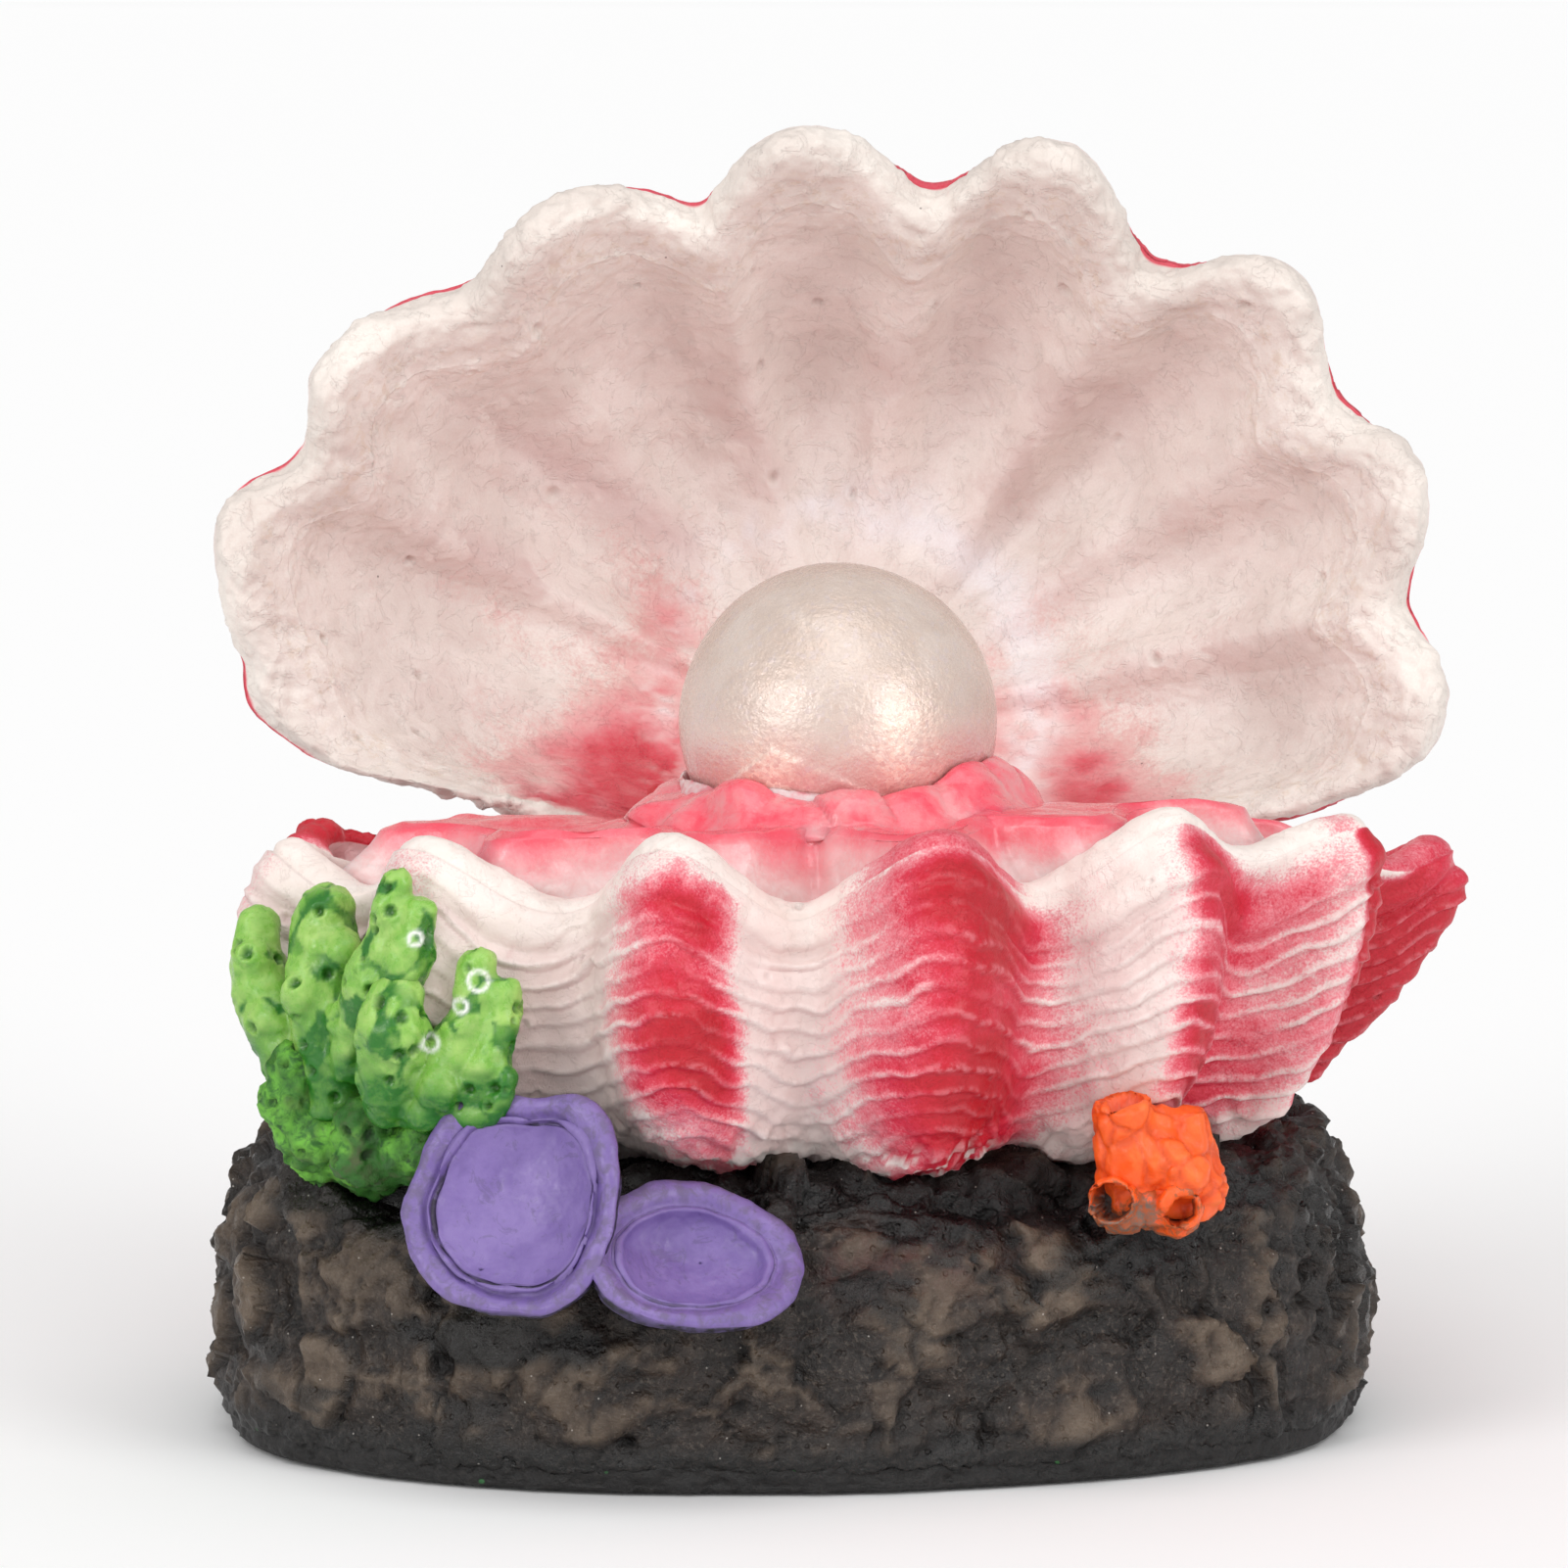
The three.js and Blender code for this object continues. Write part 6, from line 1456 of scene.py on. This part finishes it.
def ball(c, r, squash=(1, 1, 1), n=26):
    a = np.linspace(0, TAU, n, endpoint=False)
    b = np.linspace(math.pi, 0, n // 2 + 2)[1:-1]
    P = np.stack([np.outer(np.sin(b), np.cos(a)), np.outer(np.sin(b), np.sin(a)), np.outer(np.cos(b), np.ones_like(a))], -1)
    P = np.array(c) + P * r * np.array(squash)
    c = np.array(c, float)
    v = np.concatenate([[c - [0, 0, r * squash[2]]], P.reshape(-1, 3), [c + [0, 0, r * squash[2]]]])
    f = ring_faces(len(b), n)
    if signed_volume(v, f) < 0:
        f = [tuple(reversed(q)) for q in f]
    return v, f


def coral_finish(v, f, seed, pit_mm, lump=0.35):
    v = relaxed(v, f, 2)
    n = normals_of(v, f)
    f1, _, who = cells(v / 2.5, seed)
    knob = np.sqrt(np.clip(1 - (f1 / 0.62) ** 2, 0, 1))
    p1, p2, pw = cells(v / pit_mm, seed + 20)
    rad = 0.20 + 0.14 * ((pw * 6.1) % 1)
    on = (pw > 0.22)
    pit = on * smooth(rad, rad * 0.55, p1)
    lip = on * np.exp(-((p1 - rad * 1.15) / 0.07) ** 2)
    h = lump * knob * 0.9 + 0.26 * fbm(v / 2.2, 3, seed + 40) + 0.06 * fbm(v / 0.7, 2, seed + 41) - 0.46 * pit + 0.07 * lip - 0.05
    return v + n * h[:, None], f, pit, knob


def coral_material(name, dark):
    m = Mat(name)
    big = m.noise(2.6, 4, 0.6, 0.4)
    mid = m.noise(0.8, 5, 0.65, 0.5)
    fine = m.noise(0.22, 3, 0.7)
    t = m.math("ADD", m.math("MULTIPLY", big, 0.55), m.math("MULTIPLY", mid, 0.45))
    if dark:
        col = m.ramp(t, [(0.3, "#1d3f16"), (0.48, "#2e6a1f"), (0.62, "#46552f"), (0.8, "#5c7a36")])
        col = m.mix(m.math("MULTIPLY", m.attr("pit"), 0.7), col, "#152b12")
        col = m.mix(m.math("MULTIPLY", m.attr("lime"), m.range(mid, 0.35, 0.6)), col, "#6cb23a")
    else:
        col = m.ramp(t, [(0.25, "#5b9a34"), (0.45, "#85b94f"), (0.62, "#a6cb6c"), (0.85, "#c3d98e")])
        # painted shade: darker green between the knobs, low down and on the sides facing down
        col = m.mix(m.math("MULTIPLY", m.attr("recess_and_underside_shade"), m.range(mid, 0.3, 0.55, 0.7, 1.0)), col, "#23701a")
        col = m.mix(m.math("MULTIPLY", m.attr("pit"), 0.95), col, "#2c6a18")
        col = m.mix(m.attr("ring"), col, "#eef0ea")
    h = m.math("ADD", m.math("MULTIPLY", mid, 0.7), m.math("MULTIPLY", fine, 0.3))
    rough = m.mixf(m.range(mid, 0.4, 0.6), 0.22, 0.48) if not dark else m.mixf(mid, 0.45, 0.8)
    return m.done(col, rough, m.bump(h, 0.09 if not dark else 0.2, 0.8), Subsurface_Weight=0.25 if not dark else 0.05, Subsurface_Radius=(0.0015, 0.003, 0.001), Subsurface_Scale=0.5)


coral_mat = coral_material("coral_lime", False)
dark_mat = coral_material("coral_flock", True)
LEFT = [
    limb([(-30.0, -12.5, 23.5), (-32.4, -11.6, 27.5), (-33.7, -10.2, 31.2), (-33.8, -9.6, 34.0)], (2.5, 2.0, 1.85, 1.3)),
    limb([(-28.4, -13.2, 23.0), (-28.9, -13.6, 28.0), (-29.5, -13.4, 32.4), (-29.3, -13.1, 35.6)], (2.8, 2.6, 2.5, 1.8)),
    limb([(-27.4, -15.0, 26.0), (-26.6, -18.0, 31.0), (-25.3, -19.2, 35.2), (-24.7, -19.4, 38.2)], (2.0, 1.75, 1.35, 1.0)),
    limb([(-27.0, -15.4, 27.4), (-25.2, -18.8, 31.2), (-23.9, -19.8, 34.2), (-23.3, -20.0, 36.2)], (1.9, 1.75, 1.65, 1.25)),
    ball((-32.8, -12.4, 28.6), 1.5), ball((-34.0, -11.0, 32.0), 1.4), ball((-30.6, -14.6, 30.4), 1.5), ball((-28.2, -15.0, 33.4), 1.3), ball((-28.2, -16.4, 29.0), 1.3)]
FRONT = [
    limb([(-25.0, -17.5, 23.8), (-25.0, -19.4, 26.4), (-24.8, -20.2, 29.4), (-24.6, -20.3, 31.0)], (2.0, 2.2, 2.2, 1.7)),
    limb([(-24.0, -17.5, 23.6), (-21.6, -19.8, 26.6), (-20.0, -20.4, 30.4), (-19.6, -20.4, 33.2)], (2.0, 1.7, 1.5, 1.2)),
    limb([(-22.5, -18.4, 23.8), (-19.6, -20.6, 26.0), (-18.4, -20.9, 29.0), (-18.0, -20.9, 31.6)], (1.8, 1.5, 1.3, 1.1)),
    limb([(-22.6, -18.6, 23.6), (-19.0, -21.2, 24.2), (-17.9, -21.8, 26.4)], (1.4, 1.0, 0.7)),
    ball((-22.0, -20.6, 25.6), 1.6), ball((-25.9, -20.2, 27.4), 1.3), ball((-20.8, -20.9, 29.4), 1.2), ball((-23.0, -19.8, 23.9), 1.4)]
FOOTC = [
    limb([(-28.8, -10.0, 19.8), (-30.6, -12.8, 21.8), (-31.4, -13.6, 24.0), (-31.6, -14, 25.6)], (2.6, 2.3, 2.1, 1.5)),
    limb([(-26.5, -11.5, 19.6), (-27.0, -15.0, 21.2), (-27.0, -16.6, 22.4)], (2.6, 2.3, 1.8)),
    limb([(-27.0, -11.5, 19.6), (-24.4, -16.2, 20.8), (-22.8, -18.2, 21.8)], (2.5, 2.0, 1.5)),
    ball((-30.0, -14.2, 21.4), 1.8), ball((-27.4, -16.4, 20.4), 1.7), ball((-31.8, -12.6, 23.2), 1.7), ball((-24.8, -17.4, 20.8), 1.3)]
for name, parts, seed, pit_mm, vox, mat, node in (
        ("coral_left", LEFT, 201, 1.5, 0.22, coral_mat, "coral_fingers_left"), ("coral_front", FRONT, 202, 1.5, 0.22, coral_mat, "coral_fingers_front"),
        ("coral_clump", FOOTC, 203, 1.35, 0.26, dark_mat, "coral_foot")):
    v, f = remeshed(parts, vox)
    v, f, pit, knob = coral_finish(v, f, seed, pit_mm, 0.16 if mat is coral_mat else 0.25)
    if mat is dark_mat:
        n = normals_of(v, f)
        v = v + n * (0.30 * fbm(v / 0.8, 3, 206))[:, None]
    n = normals_of(v, f)
    ring = np.zeros(len(v))
    for cx, cz, cr in ((-19.6, 32.4, 0.62), (-22.6, 28.4, 0.5), (-20.7, 30.8, 0.42), (-23.5, 35.0, 0.4)):
        ring = np.maximum(ring, np.exp(-((np.hypot(v[:, 0] - cx, v[:, 2] - cz) - cr) / 0.13) ** 2) * smooth(0.2, -0.3, n[:, 1]))
    v = v + n * (0.10 * ring)[:, None]
    # painted shade: darker green between the knobs, towards the bottom and on the sides that face down
    recess_and_underside_shade = np.clip(smooth(0.35, -0.1, knob - 0.3 * fbm(v / 1.5, 2, 205)) + smooth(30, 22.5, v[:, 2] + 2.5 * fbm(v / 2.0, 2, 208)) * 0.85 + smooth(0.2, -0.7, n[:, 2]) * 0.5, 0, 1)
    make_object(name, v, f, "base", mat, replaces=[node], slot="coral" if mat is coral_mat else "coral_dark",
                attrs=dict(pit=pit, recess_and_underside_shade=recess_and_underside_shade, ring=np.clip(ring, 0, 1), lime=np.clip(fbm(v / 2.4, 3, 207) * 1.4 + 0.5 * smooth(17, 22, v[:, 2]) * smooth(-28, -31, v[:, 0]), 0, 1)))

# white rings left by burst bubbles in the coral's lacquer
bubble_mat = Mat("bubble_rings")
bn = bubble_mat.noise(0.3, 3)
bubble_mat.done(bubble_mat.mix(bn, "#d9dcd2", "#f4f4ee"), 0.3, bubble_mat.bump(bn, 0.03, 0.6))


# ================================================================ purple shells
def dish(name, cx, cy, cz, a, b, depth, tilt, turn, roll, ribs, node, seed, inner_dish, thick=1.3):
    n = 420
    ang = np.linspace(0, TAU, n, endpoint=False)
    wob = 1 + (0.035 * np.cos(4 * (ang - 0.65)) if inner_dish else 0.0) + 0.014 * np.cos(ribs * ang) + 0.025 * np.sin(3 * ang + seed) + 0.014 * np.sin(5 * ang + 2 * seed) + 0.006 * np.sin(13 * ang + seed)
    rows = []
    # underside, rolled rim, then the dish with its ring
    for s in np.sin(np.linspace(0.04, 1, 26) * math.pi / 2):
        rows.append((s, -depth * (1 - s * s) ** 0.7, 0.0))
    rim = [(0.0, 0.15), (-0.12, 0.45), (-0.05, 0.8), (0.25, 1.0), (0.65, 1.0), (1.0, 0.82), (1.25, 0.55), (1.45, 0.42)]
    ra = np.array(rim)
    for q in np.linspace(0.2, 7, 24):
        rows.append((1.0, np.interp(q, range(8), ra[:, 1]), np.interp(q, range(8), ra[:, 0])))
    for s in np.linspace(0.985, 0.03, 76):
        base = -depth * (1 - (s * 0.98) ** 2) ** 0.7 + thick
        if inner_dish:
            base += -0.34 * math.exp(-((s - 0.93) / 0.022) ** 2) + 0.16 * smooth(0.92, 0.45, s)
        else:
            base += 0.22 * math.exp(-((s - 0.86) / 0.05) ** 2) - 0.28 * math.exp(-((s - 0.94) / 0.03) ** 2)
        rows.append((s, min(base, 0.42 + 0.6 * (1 - s) + (0.5 if inner_dish else 0.0)), 1.45 * s))
    P = np.array([np.stack([(a - c) * s * wob * np.cos(ang), (b - c) * s * wob * np.sin(ang) + 0.12 * b * (1 - s), w + 0 * ang], -1) for s, w, c in rows])
    N = grid_normals(P)
    if N[-30:, :, 2].mean() < 0:
        N = -N
    s_of = np.array([r[0] for r in rows])[:, None] * np.ones(n)
    face = (np.arange(len(rows)) > 30)[:, None] * np.ones(n)
    d = 0.10 * fbm(P / 2.6 + seed, 3, seed) + face * 0.38 * fbm(P / 5.0 + seed, 2, seed + 7) + 0.05 * fbm(P / 0.9 + seed, 3, seed + 1)
    f1, _, who = cells(P / 1.9 + seed, seed + 2)
    hole = (who > 0.78) * smooth(0.09, 0.05, f1) * face
    d = d - 0.35 * hole
    P = P + N * d[..., None]

    def rot(P, ax, deg):
        c, s = math.cos(math.radians(deg)), math.sin(math.radians(deg))
        m = {"x": [[1, 0, 0], [0, c, -s], [0, s, c]], "y": [[c, 0, s], [0, 1, 0], [-s, 0, c]], "z": [[c, -s, 0], [s, c, 0], [0, 0, 1]]}[ax]
        return P @ np.array(m).T

    P = rot(rot(rot(P, "y", roll), "x", tilt), "z", turn) + np.array([cx, cy, cz])
    rimness = np.exp(-((np.arange(len(rows)) - 38) / 9.0) ** 2)[:, None] * np.ones(n)
    groove = (np.exp(-((s_of - 0.93) / 0.022) ** 2) if inner_dish else 0.7 * np.exp(-((s_of - 0.94) / 0.025) ** 2)) * face
    return grid_object(name, P[0].mean(0), P, P[-1].mean(0), "base", purple_mat, replaces=[node], slot="purple",
                       attrs=dict(rim=rimness, groove=np.clip(groove, 0, 1), hole=hole, back=(1 - face), centre=smooth(0.7, 0.1, s_of) * face))


def purple_material():
    m = Mat("purple_paint")
    big = m.noise(3.0, 4, 0.6, 0.3)
    mid = m.noise(0.9, 5, 0.65, 0.5)
    fine = m.noise(0.25, 3, 0.7)
    col = m.mix(m.range(big, 0.35, 0.65), "#735e9d", "#806ba9")
    col = m.mix(m.math("MULTIPLY", m.attr("centre"), m.range(big, 0.4, 0.65, 0.0, 0.5)), col, "#8a76b0")
    worn = m.math("MULTIPLY", m.math("MAXIMUM", m.attr("rim"), m.math("MULTIPLY", m.attr("groove"), 0.9)), m.range(mid, 0.42, 0.60))
    col = m.mix(m.math("MULTIPLY", worn, 0.75), col, "#665a78")
    col = m.mix(m.math("MULTIPLY", m.attr("groove"), m.range(mid, 0.35, 0.55, 0.45, 0.95)), col, "#2c2438")
    scuff = m.range(m.noise(1.6, 6, 0.75, 1.2), 0.56, 0.62)
    col = m.mix(m.math("MULTIPLY", scuff, 0.45), col, "#5f5379")
    col = m.mix(m.attr("back"), col, m.mix(m.range(mid, 0.4, 0.6), "#1a1620", "#4b3f66"))
    col = m.mix(m.math("MULTIPLY", m.attr("hole"), 0.95), col, "#0d0a10")
    h = m.math("ADD", m.math("MULTIPLY", mid, 0.7), m.math("MULTIPLY", fine, 0.25))
    return m.done(col, m.mixf(m.range(mid, 0.35, 0.6), 0.34, 0.56), m.bump(h, 0.09, 0.8), Specular_IOR_Level=0.5)


purple_mat = purple_material()
dish("purple_left", -17.2, -23.6, 18.6, 7.0, 7.2, 2.6, 66, -10, -8, 6, "purple_shell_left", 5, True)
dish("purple_right", -6.4, -24.6, 15.2, 6.8, 5.2, 2.4, 48, 10, 6, 5, "purple_shell_right", 9, False)


# ================================================================ orange barnacles and the tube ends
def cone(x, y, z, r0, r1, h, dx, dy, n=9, drop=2.4):
    pts = np.array([(x - dx * 0.8, y - dy * 0.8, z - drop), (x, y, z), (x + dx * 0.5, y + dy * 0.5, z + h * 0.55), (x + dx, y + dy, z + h)])
    rr = [r0 * 1.05, r0, mix(r0, r1, 0.55), r1]
    side = np.array([1.0, 0, 0])
    rings = []
    for k in range(4):
        t = pts[min(k + 1, 3)] - pts[max(k - 1, 0)]
        t /= np.linalg.norm(t)
        side = side - t * side.dot(t)
        side /= np.linalg.norm(side)
        up = np.cross(t, side)
        a = np.linspace(0, TAU, n, endpoint=False)
        rings.append(pts[k] + rr[k] * (np.outer(np.cos(a), side) + np.outer(np.sin(a), up)))
    P = np.array(rings)
    v = np.concatenate([[pts[0]], P.reshape(-1, 3), [pts[-1]]])
    f = ring_faces(4, n)
    if signed_volume(v, f) < 0:
        f = [tuple(reversed(q)) for q in f]
    return v, f, pts[-1], (pts[-1] - pts[-2]) / np.linalg.norm(pts[-1] - pts[-2])


def carve(v, tip, axis, radius, depth):
    """a round hole pressed into a tip along its axis"""
    rel = v - tip
    along = rel @ axis
    radial = np.linalg.norm(rel - along[:, None] * axis, axis=1)
    share = smooth(radius, radius * 0.72, radial) * (along > -depth)
    return v - axis * (share * np.clip(along + depth, 0, None))[:, None], share


def orange_material(name, worn_amount):
    m = Mat(name)
    big = m.noise(1.9, 4, 0.6, 0.4)
    mid = m.noise(0.6, 5, 0.65, 0.5)
    fine = m.noise(0.2, 3, 0.7)
    col = m.ramp(m.math("ADD", m.math("MULTIPLY", big, 0.6), m.math("MULTIPLY", mid, 0.4)), [(0.28, "#e8520f"), (0.5, "#fb6420"), (0.75, "#ff7c34")])
    col = m.mix(m.math("MULTIPLY", m.attr("seam"), m.range(mid, 0.35, 0.6, 0.2, 0.8)), col, "#d1440c")
    grey = m.mix(m.range(mid, 0.4, 0.6), "#7d675a", "#b4582a")
    w = m.math("ADD", m.attr("worn"), m.math("MULTIPLY", m.math("SUBTRACT", mid, 0.5), 1.3))
    # grey-brown: browner tube ends, uneven wear, and painted shade towards the bottom
    col = m.mix(m.range(w, 0.45, 0.62), col, grey)
    # painted shade inside the tube holes
    col = m.mix(m.math("MULTIPLY", m.attr("hole"), 0.95), col, m.mix(m.range(mid, 0.45, 0.6), "#1d1514", "#3a211a"))
    col = m.mix(m.math("MULTIPLY", m.attr("cup"), 0.6), col, "#f08a72")
    h = m.math("ADD", m.math("MULTIPLY", mid, 0.7), m.math("MULTIPLY", fine, 0.3))
    return m.done(col, m.mixf(m.range(mid, 0.35, 0.6), 0.30, 0.5), m.bump(h, 0.10, 0.8), Subsurface_Weight=0.1, Subsurface_Radius=(0.002, 0.001, 0.0005), Subsurface_Scale=0.4)


def lumps(name, cones, extra, holes, node, seed, worn, cup=False):
    parts = [(c[0], c[1]) for c in cones] + extra
    v, f = remeshed(parts, 0.2)
    v = relaxed(v, f, 2)
    hole = np.zeros(len(v))
    for (tip, axis), radius, depth in holes:
        v, s = carve(v, tip, axis, radius, depth)
        hole = np.maximum(hole, s)
    n = normals_of(v, f)
    f1, f2, who = cells(v / 2.4, seed)
    v = v + n * (0.42 * (who - 0.5) * smooth(0, 0.2, f2 - f1) - 0.22 * smooth(0.16, 0.0, f2 - f1) + 0.16 * fbm(v / 1.1, 3, seed + 5) - 0.03)[:, None]
    seam = smooth(0.22, 0.0, f2 - f1)
    # painted shade: greyer brown towards the bottom, most on the left
    low_shade = smooth(20.0, 17.8, v[:, 2]) * (0.35 + 0.65 * smooth(23.4, 21.4, v[:, 0]))
    return make_object(name, v, f, "base", orange_material(name + "_paint", worn), replaces=[node], slot="orange",
                       attrs=dict(seam=seam, worn=np.clip(worn + 0.55 * low_shade + 0.25 * fbm(v / 1.8, 2, seed + 7), 0, 1), hole=hole * (0.0 if cup else 1.0), cup=hole * (1.0 if cup else 0.0)))


ca = cone(21.0, -19.6, 20.2, 2.5, 1.9, 4.6, -0.6, -1.2)
cb = cone(24.4, -18.6, 20.0, 2.6, 1.1, 4.2, 0.3, -0.8, n=6)
la = cone(20.2, -19.8, 18.4, 1.95, 1.65, 0.3, -0.6, -3.0, drop=0.9)
lb = cone(23.8, -19.2, 17.9, 1.9, 1.45, 0.2, 0.3, -2.8, drop=0.9)
lumps("orange_cups", [ca, cb], [ball((22.6, -20.0, 21.0), 2.1), ball((24.2, -20.6, 20.0), 1.8), ball((21.0, -21.0, 21.6), 1.5), ball((22.7, -19.4, 23.2), 1.3), ball((25.6, -19.4, 19.0), 1.4)], [((ca[2], ca[3]), 1.1, 1.2)], "orange_barnacles", 221, -0.05, cup=True)
lumps("orange_tubes", [la, lb], [ball((22.2, -20.4, 18.0), 1.5)], [((la[2], la[3]), 1.2, 2.2), ((lb[2], lb[3]), 0.95, 2.0)], "tube_ends", 231, 0.35)


# ================================================================ floor, light and camera
def plane(name, z, size, colour):
    mesh = bpy.data.meshes.new(name)
    s = size
    mesh.from_pydata([(-s, -s, z), (s, -s, z), (s, s, z), (-s, s, z)], [], [(0, 1, 2, 3)])
    obj = bpy.data.objects.new(name, mesh)
    bpy.context.scene.collection.objects.link(obj)
    m = Mat(name + "_paper")
    n = m.noise(40, 3)
    m.done(m.mix(n, colour, "#ffffff"), 0.9, m.bump(m.noise(1.5, 3), 0.01, 0.3), Specular_IOR_Level=0.1)
    mesh.materials.append(m.m)
    return obj


plane("floor", -0.0002, 6.0, "#ffffff")


def soft_light(name, azimuth, elevation, strength, spread, colour=(1, 1, 1)):
    """a broad soft light far away, so that the floor is lit evenly"""
    light = bpy.data.lights.new(name, "SUN")
    light.angle = math.radians(spread)
    light.energy = strength
    light.color = colour
    obj = bpy.data.objects.new(name, light)
    a, e = math.radians(azimuth), math.radians(elevation)
    toward = Vector((math.sin(a) * math.cos(e), -math.cos(a) * math.cos(e), math.sin(e)))
    obj.location = toward
    obj.rotation_euler = (-toward).to_track_quat("-Z", "Y").to_euler()
    bpy.context.scene.collection.objects.link(obj)
    return obj


soft_light("soft_left", -46, 20, 1.00, 30)
soft_light("soft_right", 46, 18, 0.95, 30)
soft_light("soft_top", 5, 66, 1.00, 55)

world = bpy.data.worlds.new("studio")
bpy.context.scene.world = world
world.use_nodes = True
bg = world.node_tree.nodes["Background"]
bg.inputs[0].default_value = (1, 1, 1, 1)
bg.inputs[1].default_value = 0.50
bpy.context.scene.view_settings.view_transform = "Standard"
bpy.context.scene.view_settings.look = "None"

ELEV, DIST = math.radians(8.0), 0.700
TARGET = Vector((-0.00065, 0.0, 0.0417))
cam = bpy.data.cameras.new("camera")
cam.sensor_fit = "HORIZONTAL"
cam.sensor_width = 36.0
cam.lens = 36.0 * 700.0 / 100.0625
cam.clip_start, cam.clip_end = 0.01, 50.0
camera = bpy.data.objects.new("camera", cam)
camera.location = TARGET + DIST * Vector((0, -math.cos(ELEV), math.sin(ELEV)))
camera.rotation_euler = (TARGET - camera.location).to_track_quat("-Z", "Y").to_euler()
bpy.context.scene.collection.objects.link(camera)
bpy.context.scene.camera = camera
